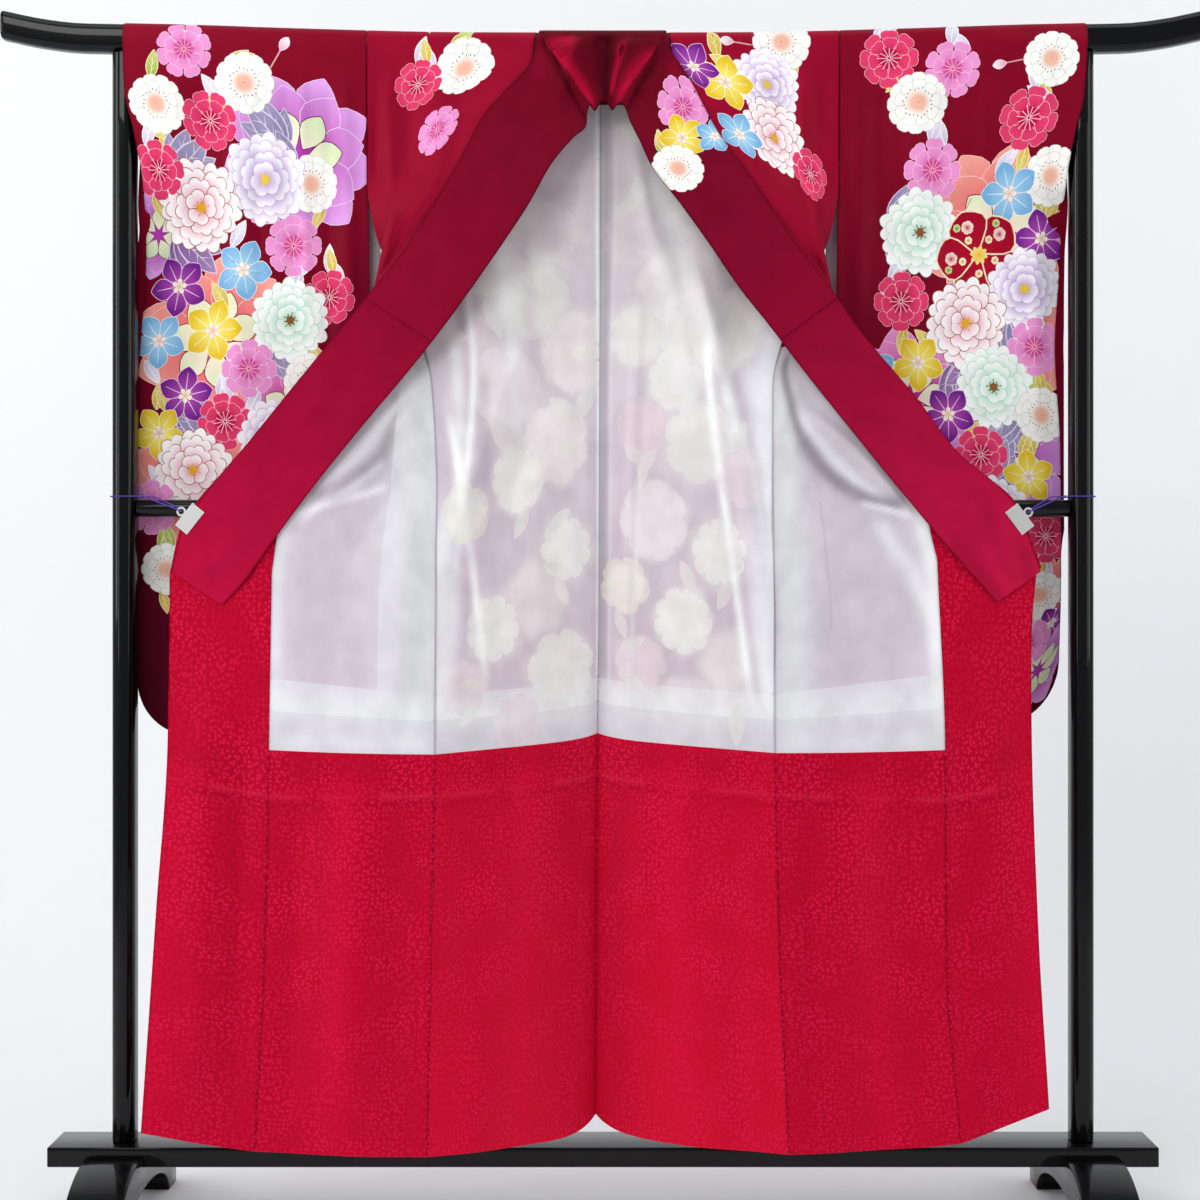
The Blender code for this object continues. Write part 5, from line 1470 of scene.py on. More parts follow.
def solid_mesh(name, rings, material):
    """A body through rings of equal count, with flat ends."""
    n = len(rings[0])
    verts = [tuple(p) for ring in rings for p in ring]
    faces = []
    for k in range(len(rings) - 1):
        for i in range(n):
            j = (i + 1) % n
            faces.append((k * n + i, k * n + j, (k + 1) * n + j, (k + 1) * n + i))
    faces.append(tuple(range(n))[::-1])
    faces.append(tuple((len(rings) - 1) * n + i for i in range(n)))
    mesh = bpy.data.meshes.new(name)
    mesh.from_pydata(verts, [], faces)
    fix_winding(mesh)
    mesh.polygons.foreach_set("use_smooth", [True] * len(mesh.polygons))
    mesh.set_sharp_from_angle(angle=math.radians(STAND_SHARP))
    mesh.materials.append(material)
    obj = bpy.data.objects.new(name, mesh)
    bpy.context.collection.objects.link(obj)
    return obj


def fix_winding(mesh):
    """Turns all faces of a closed mesh outwards and fans its wide ends."""
    bm = bmesh.new()
    bm.from_mesh(mesh)
    bmesh.ops.recalc_face_normals(bm, faces=bm.faces)
    bmesh.ops.triangulate(bm, faces=[f for f in bm.faces if len(f.verts) > 4])
    bm.to_mesh(mesh)
    bm.free()


def rounded_outline(half_a, half_b, radius, steps):
    """Outline of a rectangle with rounded corners."""
    points = []
    for corner, (sa, sb) in enumerate(((1, 1), (-1, 1), (-1, -1), (1, -1))):
        for k in range(steps + 1):
            a = math.pi / 2 * (corner + k / steps)
            points.append((sa * (half_a - radius) + radius * math.cos(a),
                           sb * (half_b - radius) + radius * math.sin(a)))
    return points


def shrunk(outline, amount):
    """An outline moved inwards by one distance."""
    p = np.array(outline)
    ahead, behind = np.roll(p, -1, axis=0) - p, p - np.roll(p, 1, axis=0)
    n1 = unit(np.stack([-ahead[:, 1], ahead[:, 0]], axis=-1))
    n2 = unit(np.stack([-behind[:, 1], behind[:, 0]], axis=-1))
    way = unit(n1 + n2)
    return p + way * amount / np.maximum(np.sum(way * n1, axis=-1, keepdims=True), 0.5)


def bevelled(outline, place, stops, bevel):
    """Rings of an outline drawn out along stops, its two ends rounded off."""
    rings = []
    for k in range(4):
        a = math.pi / 2 * k / 3
        back = bevel * (1 - math.sin(a))
        at = stops[0] + bevel * (1 - math.cos(a))
        rings.append([place(p, q, at) for p, q in shrunk(outline, back)])
    for at in stops[1:-1]:
        rings.append([place(p, q, at) for p, q in outline])
    for k in range(3, -1, -1):
        a = math.pi / 2 * k / 3
        back = bevel * (1 - math.sin(a))
        at = stops[-1] - bevel * (1 - math.cos(a))
        rings.append([place(p, q, at) for p, q in shrunk(outline, back)])
    return rings


def stand_piece(name, rings, nodes, material):
    """A piece of the stand in place of its solid."""
    obj = solid_mesh(name, rings, material)
    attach(obj, "root")
    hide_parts(*nodes)


def make_stand(material):
    """Bar, posts, rail, beam and feet in lacquer."""
    outline = rounded_outline(BAR_HALF_DEPTH, BAR_HALF_TALL, BAR_ROUND, 7)
    even = np.linspace(-BAR_RING_END, BAR_RING_END, BAR_RINGS)
    stops = np.concatenate([[-BAR_HALF_LENGTH], even, [BAR_HALF_LENGTH]])
    rings = bevelled(outline, lambda a, b, x: (x, a, b + float(bar_height(x))), stops, BAR_END_BEVEL)
    stand_piece("bar_lacquered", rings, ["top_bar"], material)
    post = rounded_outline(POST_HALF_WIDTH, POST_HALF_DEPTH, POST_SOFT, 12)
    turns = np.linspace(0, 2 * math.pi, 49)[:-1]
    rail = [(RAIL_RADIUS * math.cos(a), RAIL_RADIUS * math.sin(a)) for a in turns]
    beam = rounded_outline(BEAM_HALF_DEPTH, (BEAM_TOP - BEAM_BOTTOM) / 2, WOOD_BEVEL, 3)
    level = (BEAM_TOP + BEAM_BOTTOM) / 2
    for side, word in WORDS.items():
        rings = bevelled(post, lambda a, b, z, s=side: (s * POST_X + a, b, z),
                         np.linspace(BEAM_TOP + JOINT_GAP, POST_TOP, STRAIGHT_RINGS), WOOD_BEVEL)
        stand_piece(f"post_lacquered_{word}", rings, [f"post_{word}"], material)
        make_foot(side, word, material)
    inner = POST_X - POST_HALF_WIDTH - JOINT_GAP
    rings = bevelled(rail, lambda a, b, x: (x, a, RAIL_HEIGHT + b),
                     np.linspace(-inner, inner, STRAIGHT_RINGS), RAIL_BEVEL)
    stand_piece("rail_lacquered", rings, ["middle_rail"], material)
    rings = bevelled(beam, lambda a, b, x: (x, a, level + b),
                     np.linspace(-BEAM_HALF_LENGTH, BEAM_HALF_LENGTH, STRAIGHT_RINGS), WOOD_BEVEL)
    stand_piece("beam_lacquered", rings, ["base_beam"], material)


def make_foot(side, word, material):
    """Arched foot from front to back, notched under the beam."""
    notch = BEAM_HALF_DEPTH + JOINT_GAP
    back = [(FOOT_HALF_LENGTH, 0.0), (FOOT_HALF_LENGTH, TOE_HEIGHT)]
    for k in range(1, 33):
        a = math.pi / 2 * k / 32
        y = FOOT_HALF_LENGTH - (FOOT_HALF_LENGTH - notch) * (1 - math.cos(a))
        back.append((y, TOE_HEIGHT + (FOOT_TOP - TOE_HEIGHT) * math.sin(a) ** 1.15))
    back.append((notch, BEAM_BOTTOM - JOINT_GAP))
    front = [(-y, z) for y, z in back[::-1]]
    arch = []
    for k in range(33):
        a = math.pi * k / 32
        arch.append((-SOLE_INNER * math.cos(a), ARCH_HEIGHT * math.sin(a)))
    outline = back + front + arch
    rings = bevelled(outline, lambda a, b, x: (side * FOOT_X + x, a, b),
                     np.linspace(-FOOT_HALF_WIDTH, FOOT_HALF_WIDTH, 4), FOOT_BEVEL)
    stand_piece(f"foot_lacquered_{word}", rings, [f"foot_{word}"], material)


def make_stage():
    """Pale floor that curves up into a pale backdrop, open to a view from behind."""
    bend = FLOOR_DEPTHS[-1]
    profile = [(y, -FLOOR_GAP) for y in FLOOR_DEPTHS]
    for k in range(1, 9):
        a = math.pi / 2 * k / 8
        profile.append((bend + BEND_RADIUS * math.sin(a), BEND_RADIUS - BEND_RADIUS * math.cos(a)))
    profile.append((bend + BEND_RADIUS, BACKDROP_TOP))
    verts = [(x, y, z) for y, z in profile for x in (-BACKDROP_HALF_WIDTH, BACKDROP_HALF_WIDTH)]
    faces = [(2 * k, 2 * k + 1, 2 * k + 3, 2 * k + 2) for k in range(len(profile) - 1)]
    last = len(verts)
    wide, far = FLOOR_BEHIND
    verts += [(x, y, -2 * FLOOR_GAP) for x, y in ((-wide, bend), (wide, bend), (wide, far), (-wide, far))]
    faces.append((last, last + 1, last + 2, last + 3))
    mesh = bpy.data.meshes.new("backdrop")
    mesh.from_pydata(verts, [], faces)
    mesh.polygons.foreach_set("use_smooth", [True] * len(faces))
    # Plaster under matt paint: an even pale ground without shine, seen from its front alone
    paper = new_material("painted_plaster_backdrop")
    front = add(paper, "ShaderNodeBsdfPrincipled", {"Base Color": rgba("#F3F4F6"), "Roughness": 0.9})
    clear = add(paper, "ShaderNodeBsdfTransparent")
    side = add(paper, "ShaderNodeNewGeometry")
    add(paper, "ShaderNodeMixShader",
        links={0: side.outputs["Backfacing"], 1: front.outputs[0], 2: clear.outputs[0]}, out="Surface")
    mesh.materials.append(paper)
    obj = bpy.data.objects.new("backdrop", mesh)
    bpy.context.collection.objects.link(obj)


def make_lights():
    """Large soft lamps in front, left, right and above, and a pale surround."""
    world = bpy.data.worlds.new("studio")
    world.use_nodes = True
    world.node_tree.nodes["Background"].inputs["Color"].default_value = rgba("#EEF1F6")
    world.node_tree.nodes["Background"].inputs["Strength"].default_value = SURROUND
    bpy.context.scene.world = world
    for name, place, target, size, power in LAMPS:
        light = bpy.data.lights.new(name, "AREA")
        light.shape = "RECTANGLE"
        light.size, light.size_y = size
        light.energy = power
        obj = bpy.data.objects.new(name, light)
        obj.location = place
        obj.rotation_euler = (Vector(target) - Vector(place)).to_track_quat("-Z", "Y").to_euler()
        obj.visible_camera = False
        bpy.context.collection.objects.link(obj)


def make_camera():
    """Level camera in front of the middle, as the photo was taken."""
    camera = bpy.data.cameras.new("camera")
    camera.sensor_width = SENSOR_WIDTH
    camera.lens = SENSOR_WIDTH * FOCAL_PIXELS / IMAGE_SIZE
    camera.shift_x = (IMAGE_SIZE / 2 - AXIS_PIXEL) / IMAGE_SIZE
    obj = bpy.data.objects.new("camera", camera)
    obj.location = (0.0, -CAMERA_DISTANCE, CAMERA_HEIGHT)
    obj.rotation_euler = (math.pi / 2, 0.0, 0.0)
    bpy.context.collection.objects.link(obj)
    bpy.context.scene.camera = obj


def petal(length, width, full=0.62, round_tip=0.7, notch=0.0, count=9):
    """Outline of a petal that points up from its root, widest at a share of its length."""
    v = np.linspace(0.0, 1.0, count + 1)
    s = (1 - np.cos(math.pi * v)) / 2
    power = math.log(0.5) / math.log(full)
    half = width / 2 * np.maximum(np.sin(math.pi * s ** power), 0.0) ** round_tip
    x = np.concatenate([half, -half[-2:0:-1]])
    y = length * np.concatenate([s, s[-2:0:-1]])
    y = y - notch * length * np.exp(-(x / (0.15 * width)) ** 2) * (y > 0.8 * length)
    return np.column_stack([x, y])


def frilled(length, spread, lobes, depth, root=0.0, count=19):
    """Outline of a wide petal that fans out from its root to a frilled rim."""
    t = np.linspace(-1.0, 1.0, count)
    a = np.radians(spread) * t
    round_off = 0.80 + 0.20 * np.cos(t * math.pi / 2) ** 0.7
    frill = 1 - depth * (1 - np.abs(np.sin(lobes * math.pi * (t + 1) / 2)) ** 0.8)
    reach = length * round_off * frill
    rim = np.column_stack([reach * np.sin(a), reach * np.cos(a)])
    foot = root * np.array([(np.sin(a[0]), np.cos(a[0])), (0.0, 1.0), (np.sin(a[-1]), np.cos(a[-1]))])
    return np.concatenate([foot[::-1] if root else foot[:1], rim])[::-1]


def turned(points, angle):
    """Points turned clockwise about the origin."""
    c, s = math.cos(angle), math.sin(angle)
    return points @ np.array([[c, -s], [s, c]])


def grown(points, amount):
    """An outline moved outwards about its middle by a distance."""
    middle = points.mean(axis=0)
    reach = np.linalg.norm(points - middle, axis=1, keepdims=True)
    return middle + (points - middle) * (1 + amount / np.maximum(reach, 1e-6))


def petal_ring(outline, count, start, stops, line, thick, lift=0.0):
    """Petals set round a flower's middle, each with a thin line round it."""
    shapes = []
    for k in range(count):
        points = turned(outline + (0.0, lift), start + 2 * math.pi * k / count)
        if line:
            shapes.append(Shape(points, (0, 0), [(0, line)]))
            points = grown(points, -thick)
        shapes.append(Shape(points, (0, 0), stops))
    return shapes


def disc(radius, place, stops, count=10, wave=0.0):
    """A small round spot."""
    a = np.arange(count) * 2 * math.pi / count
    r = radius * (1 + wave * np.cos(a * count / 2))
    return Shape(np.column_stack([r * np.cos(a), r * np.sin(a)]) + place, place, stops)


def rings(stops, count=14, wave=0.0):
    """Nested spots that shade a flower's middle from its rim inwards."""
    shapes = []
    for (r0, _), (r1, _) in reversed(list(zip(stops, stops[1:]))):
        for part in (1.0, 0.66, 0.33):
            shapes.append(disc(r0 + (r1 - r0) * part, (0, 0), stops, count, wave))
    return shapes


def stamens(count, inner, outer, thick, colour, dot, start=0.0):
    """Thin threads out from a flower's middle, each with a dot at its end."""
    shapes = []
    for k in range(count):
        a = start + 2 * math.pi * k / count
        reach = outer * (1.0 if k % 2 else 0.8)
        thread = np.array([(-thick, inner), (thick, inner), (thick, reach), (-thick, reach)])
        shapes.append(Shape(turned(thread, a), (0, 0), [(0, colour)]))
        end = turned(np.array([(0.0, reach)]), a)[0]
        shapes.append(disc(dot, end, [(0, colour)], 5))
    return shapes


def blossom(root, rim, line, core, thread):
    """Double cherry blossom, one across."""
    tones = [(0.08, root), (0.28, rim), (0.5, rim)]
    shapes = [disc(0.3, (0, 0), tones, 14)]
    shapes += petal_ring(petal(0.34, 0.30, 0.68, notch=0.10), 8, 0.0, tones, line, 0.008, 0.16)
    shapes += petal_ring(petal(0.28, 0.26, 0.68, notch=0.10), 7, 0.4, tones, line, 0.008, 0.08)
    shapes += rings([(0, core), (0.06, core), (0.17, root)], 14, 0.06)
    return shapes + stamens(12, 0.02, 0.19, 0.006, thread, 0.012)


def pompom(root, rim, line, core, dots):
    """White many-petalled blossom with a ring of dark dots, one across."""
    tones = [(0.10, root), (0.25, rim), (0.5, rim)]
    shapes = [disc(0.36, (0, 0), [(0, rim)], 16)]
    shapes += petal_ring(petal(0.26, 0.24, 0.66, notch=0.08), 12, 0.0, tones, line, 0.007, 0.24)
    shapes += petal_ring(petal(0.24, 0.22, 0.66, notch=0.08), 9, 0.3, tones, line, 0.007, 0.15)
    shapes += rings([(0, core), (0.10, core), (0.21, rim)], 16)
    for k in range(22):
        a = 2 * math.pi * k / 22
        reach = (0.190, 0.225, 0.205)[k % 3]
        dash = np.array([(-0.007, reach), (0.007, reach), (0.007, reach + 0.026), (-0.007, reach + 0.026)])
        shapes.append(Shape(turned(dash, a), (0, 0), [(0, dots)]))
    return shapes + [disc(0.014, (0, 0), [(0, "#D88070")], 6)]


def peony(root, middle, rim, line, heart, thick):
    """Full peony with frilled petals in rows, one across."""
    shapes = []
    rows = ((6, 0.50, 35, 3, 0.2, 0.24), (5, 0.41, 40, 3, 0.75, 0.18), (4, 0.30, 50, 3, 0.3, 0.10),
            (3, 0.19, 62, 2, 0.9, 0.0))
    for count, length, spread, lobes, start, shade in rows:
        tones = [(shade * 0.8 + 0.02, root), (shade + 0.09, middle), (length * 0.84, rim)]
        outline = frilled(length, spread, lobes, 0.13, shade)
        shapes += petal_ring(outline, count, start, tones, line, thick)
        for k in range(count):
            rib = np.array([(-0.004, length * 0.55), (0.004, length * 0.55), (0.0, length * 0.84)])
            shapes.append(Shape(turned(rib, start + 2 * math.pi * k / count), (0, 0), [(0, middle)]))
    shapes.append(disc(0.055, (0, 0.0), [(0, heart), (0.06, heart)], 12, 0.25))
    return shapes + stamens(9, 0.01, 0.085, 0.004, heart, 0.011, 0.2)


def bell(root, rim, line, heart):
    """Bellflower with five pointed petals, one across."""
    tones = [(0.08, root), (0.4, rim)]
    shapes = petal_ring(petal(0.46, 0.36, 0.56, 0.85), 5, 0.0, tones, line, 0.010, 0.03)
    for k in range(5):
        rib = np.array([(-0.009, 0.10), (0.009, 0.10), (0.003, 0.38), (-0.003, 0.38)])
        shapes.append(Shape(turned(rib, 2 * math.pi * k / 5), (0, 0), [(0, line)]))
    shapes += petal_ring(petal(0.13, 0.09, 0.6), 5, 0.6, [(0, heart), (0.1, "#FFF8F0")], "#E0B8A0", 0.006)
    return shapes


def lotus(root, rim, line, inner_root, inner_rim, dark):
    """Wide flower of large pointed petals with a pale ring in its middle, one across."""
    tones = [(0.12, root), (0.48, rim)]
    shapes = [disc(0.3, (0, 0), tones, 16)]
    shapes += petal_ring(petal(0.30, 0.26, 0.52, 0.85), 9, 0.2, tones, line, 0.004, 0.20)
    shapes += petal_ring(petal(0.34, 0.27, 0.52, 0.85), 8, 0.0, tones, line, 0.004, 0.09)
    pale = [(0.05, inner_root), (0.26, inner_rim)]
    return shapes + petal_ring(petal(0.24, 0.17, 0.56, 0.8), 7, 0.3, pale, dark, 0.006, 0.05)


def leaf(colour, tip, vein):
    """A simple leaf with a light rim and veins, one long."""
    shape = petal(1.0, 0.44, 0.45, 0.85)
    shapes = [Shape(shape, (0, 0), [(0, vein)]),
              Shape(grown(shape, -0.028), (0, 0), [(0.0, colour), (0.95, tip)])]
    shapes.append(Shape(np.array([(-0.016, 0.02), (0.016, 0.02), (0.004, 0.86), (-0.004, 0.86)]),
                        (0, 0), [(0, vein)]))
    for k, sign in ((0.28, 1), (0.48, 1), (0.38, -1), (0.58, -1)):
        rib = np.array([(0.0, k), (0.0, k + 0.035), (sign * 0.13, k + 0.17)])
        shapes.append(Shape(rib, (0, 0), [(0, vein)]))
    return shapes


def lobed_leaf(colour, tip, vein):
    """A peony's leaf of three pointed lobes, one long."""
    shapes = []
    for angle, size in ((-0.75, 0.72), (0.75, 0.72), (-0.36, 0.9), (0.36, 0.9), (0.0, 1.0)):
        for part in leaf(colour, tip, vein):
            shapes.append(Shape(turned(part.points * size, angle), (0, 0), part.stops))
    return shapes


def bud(colour, line):
    """A closed bud on its stem, one long."""
    stem = np.array([(-0.02, 0.0), (0.02, 0.0), (0.02, 0.6), (-0.02, 0.6)])
    return [Shape(stem, (0, 0), [(0, "#D8A8A8")]),
            Shape(petal(0.46, 0.30, 0.55, 0.75) + (0, 0.54), (0, 0), [(0, line)]),
            Shape(petal(0.40, 0.24, 0.55, 0.75) + (0, 0.57), (0, 0.6), [(0, colour), (0.4, "#FFFFFF")])]


def roundel():
    """Five red lobes with a cream edge and small blossoms inside, one across."""
    shapes = petal_ring(petal(0.48, 0.46, 0.62, 0.72), 5, 0.0, [(0, "#B0102C"), (0.5, "#A00A28")], "#F6E2C0",
                        0.018, 0.01)
    for k in range(5):
        for reach, aside, size, root, rim in ((0.31, 0.0, 0.15, "#C03040", "#F8D8D0"),
                                              (0.19, 0.22, 0.09, "#E08828", "#F8EEC8"),
                                              (0.37, 0.30, 0.09, "#4A8A40", "#C8D890")):
            a = 2 * math.pi * k / 5 + aside
            place = np.array((reach * math.sin(a), reach * math.cos(a)))
            small = petal(0.5, 0.4, 0.66, notch=0.1)
            for part in petal_ring(small, 6, 0.0, [(0.1, root), (0.3, rim)], None, 0):
                shapes.append(Shape(part.points * size + place, part.centre * size + place,
                                    [(r * size, c) for r, c in part.stops]))
    shapes += petal_ring(petal(0.10, 0.05, 0.6), 8, 0.0, [(0, "#E8B838"), (0.1, "#F8E088")], None, 0)
    return shapes


def motif_set():
    """Every printed motif, one across or one long."""
    return {
        "rose": blossom("#C41A50", "#E2406E", "#FFB8C0", "#A80F3E", "#FFC4CC"),
        "pink": blossom("#D45CA4", "#EE98D2", "#F9CCE8", "#CC4084", "#F9B4D4"),
        "white": pompom("#F2E4DC", "#FCFCF6", "#CFCFC0", "#F2BCA4", "#5A3038"),
        "lilac": peony("#A98CCB", "#D6C4E8", "#FBF8FD", "#BFA9CF", "#E6C63E", 0.006),
        "rosy": peony("#EC94B4", "#F9D2DE", "#FFFCFA", "#A05C34", "#E6AE2E", 0.009),
        "green": peony("#98DABE", "#CFF0DF", "#FCFFFC", "#A9CDBA", "#8A5A30", 0.006),
        "purple": bell("#B04CB0", "#72248A", "#F0D4F0", "#F4D8A8"),
        "blue": bell("#A4D6F0", "#78B4E0", "#EAF6FC", "#F4D8C8"),
        "yellow": bell("#FAEC74", "#E8C428", "#FEF8C8", "#F4C8A8"),
        "orchid": lotus("#B03CA8", "#E4A8EC", "#F6D8F8", "#F8F0D8", "#D4E8B8", "#6A1458"),
        "coral": lotus("#E85C68", "#F8A898", "#FBD0C4", "#FBE4D0", "#E8F0C8", "#8A1838"),
        "magenta": lotus("#C03090", "#EE9CD4", "#F9CCE8", "#FBE4D8", "#E8F0C8", "#7A1458"),
        "roundel": roundel(),
        "bud": bud("#E89CB8", "#FBE0E8"),
        "grey leaf": lobed_leaf("#8078A4", "#A79FC0", "#DCD4E6"),
        "violet leaf": lobed_leaf("#76508E", "#A488B8", "#E0D0E6"),
        "green leaf": leaf("#9CB440", "#C8D478", "#F2F4CC"),
        "gold leaf": leaf("#D2B234", "#E8D880", "#FBF4C4"),
        "pale leaf": leaf("#C8C0DC", "#F2F0F8", "#FFFFFF"),
    }


# Leaves that stand out from under each kind of flower: kind, count, length as a share of its width
LEAVES = {
    "rose": (("pale leaf", 2, 0.52), ("gold leaf", 1, 0.46)), "pink": (("pale leaf", 2, 0.52),),
    "white": (("green leaf", 2, 0.50), ("gold leaf", 2, 0.46)), "lilac": (("grey leaf", 2, 0.62),),
    "rosy": (("violet leaf", 2, 0.64), ("grey leaf", 1, 0.62)), "green": (("grey leaf", 2, 0.60),),
    "yellow": (("gold leaf", 2, 0.5),), "blue": (("pale leaf", 1, 0.5),),
}
CLOUDS = ("orchid", "coral", "magenta")
CORES = {"rose": 0.34, "pink": 0.34, "white": 0.38, "lilac": 0.36, "rosy": 0.36, "green": 0.36}


def veil(ground, rows, motifs_seen):
    """Colours of the thin white lining: soft pale places where the print behind shows through."""
    def colour(flat):
        base = ground(flat)
        cover = np.zeros(len(flat))
        warm = np.zeros(len(flat))
        for across, down, kind, wide, _ in rows:
            size = wide / 2000 * motifs_seen.get(kind, (0, 0))[0]
            if not size:
                continue
            way = flat - np.array((across, down)) / 1000
            away = np.linalg.norm(way, axis=1)
            angle = np.arctan2(way[:, 1], way[:, 0])
            petals = 1 + 0.05 * np.cos(7 * angle + across) + 0.05 * np.cos(3 * angle + down)
            soft = VEIL_SOFT[0] + VEIL_SOFT[1] * math.sin(across * 0.13 + down * 0.07) ** 2
            here = 1 - smooth_step(away / (size * petals), 1.0 - soft, 1.0 + soft)
            cover = np.maximum(cover, here)
            warm = np.maximum(warm, here * motifs_seen[kind][1])
        pale, pink = linear(VEIL_PALE), linear(VEIL_PINK)
        tone = pale + (pink - pale) * warm[:, None]
        return base + (tone - base) * (cover * VEIL_SHARE)[:, None]
    return colour


def with_painted_light(ground, strokes):
    """Ground colours with soft painted strokes, most of them painted shade and highlights: ends across and
    down in mm, half width, share, colour.
    """
    def colour(flat):
        tones = np.array(ground(flat))
        for a0, d0, a1, d1, half, share, code in strokes:
            start = np.array((a0, d0)) / 1000
            way = np.array((a1 - a0, d1 - d0)) / 1000
            run = np.linalg.norm(way)
            along = (flat - start) @ way / run ** 2
            aside = (flat - start) @ np.array((way[1], -way[0])) / run * 1000
            here = share * between(along, *STROKE_ENDS) * np.exp(-np.abs(aside / half) ** 2.2)
            tones = tones + (linear(code) - tones) * here[:, None]
        return tones
    return colour


def silhouette(petals):
    """Outline of a whole flower with frilled petals, one across."""
    a = np.linspace(0.0, 2 * math.pi, 72, endpoint=False)
    deep = 0.16 * (1 - np.abs(np.sin(petals * a / 2))) ** 1.5
    fine = 0.05 * (1 - np.abs(np.sin(petals * 1.5 * a))) ** 1.2
    reach = 0.5 * (1 - deep - fine)
    return np.column_stack([reach * np.cos(a), reach * np.sin(a)])


def pale_print(rows, seed):
    """Crisp pale flowers and leaves of the print where the lining lies on it."""
    chance = random.Random(seed)
    outline = petal(1.0, 0.42, 0.5, 0.85)
    shapes = []
    for across, down, kind, wide, turn in rows:
        if kind not in VEIL_CRISP or chance.random() < VEIL_LEFT_OUT[0]:
            continue
        place = np.array((across, down)) / 1000
        petals, tone, share = VEIL_CRISP[kind]
        share = share * (0.4 + 0.8 * smooth_step(down, *VEIL_CLEARER))
        whole = Shape(silhouette(petals), (0, 0), [(0, tone)], share)
        shapes.append(whole.moved(place, math.radians(turn + across), wide * VEIL_FLOWER_SIZE))
    for across, down, kind, wide, _ in rows:
        if kind not in LEAVES or chance.random() < VEIL_LEFT_OUT[1]:
            continue
        start = chance.uniform(0, 2 * math.pi)
        for k in range(chance.choice((1, 2, 2, 3))):
            angle = start + k * chance.uniform(0.6, 1.0)
            away = np.array((math.sin(angle), math.cos(angle))) * wide * VEIL_LEAF_REACH
            root = np.array((across, down)) / 1000 + away
            shape = Shape(outline, (0, 0), [(0.0, VEIL_LEAF_TIP), (0.9, VEIL_PALE)], 0.45)
            shapes.append(shape.moved(root, angle, wide * VEIL_LEAF_SIZE))
    return shapes


def overlaps(table):
    """Crisp edges where two layers of cloth lie under the white lining: corners in mm, tone, share."""
    shapes = []
    for a0, d0, a1, d1, code, share in table:
        across = np.linspace(a0, a1, max(2, int((a1 - a0) / 6)))
        down = np.linspace(d0, d1, max(2, int((d1 - d0) / 6)))
        rim = [(a, d0) for a in across[:-1]] + [(a1, d) for d in down[:-1]]
        rim += [(a, d1) for a in across[:0:-1]] + [(a0, d) for d in down[:0:-1]]
        shapes.append(Shape(np.array(rim) / 1000, (0, 0), [(0, code)], share))
    return shapes


def uncovered(shapes, places):
    """Shapes that no flower laid over them later hides whole; places holds their order, middle and reach."""
    kept = []
    for order, shape in shapes:
        hidden = any(first > order and np.max(np.linalg.norm(shape.points - middle, axis=1)) < reach
                     for first, middle, reach in places)
        if not hidden:
            kept.append(shape)
    return kept


def printed(rows, motifs, seed):
    """Shapes of a table of motifs: across, down, kind, width in millimetres, turn in degrees."""
    chance = random.Random(seed)
    low, leaves, flowers, places = [], [], [], []
    for across, down, kind, wide, turn in rows:
        place = np.array((across, down)) / 1000
        size = wide / 1000
        for name, count, share in LEAVES.get(kind, ()):
            start = chance.uniform(0, 2 * math.pi)
            for k in range(count):
                angle = start + k * chance.uniform(0.55, 0.95)
                root = place + np.array((math.sin(angle), math.cos(angle))) * size * 0.40
                for part in motifs[name]:
                    leaves.append((0, part.moved(root, angle, size * share)))
        cloud = kind in CLOUDS
        order = 0 if cloud else len(places) + 1
        if not cloud:
            places.append((order, place, size * CORES.get(kind.removeprefix("lone "), 0.0)))
        for part in motifs[kind.removeprefix("lone ")]:
            (low if cloud else flowers).append((order, part.moved(place, math.radians(turn), size)))
    return uncovered(low + leaves + flowers, places)


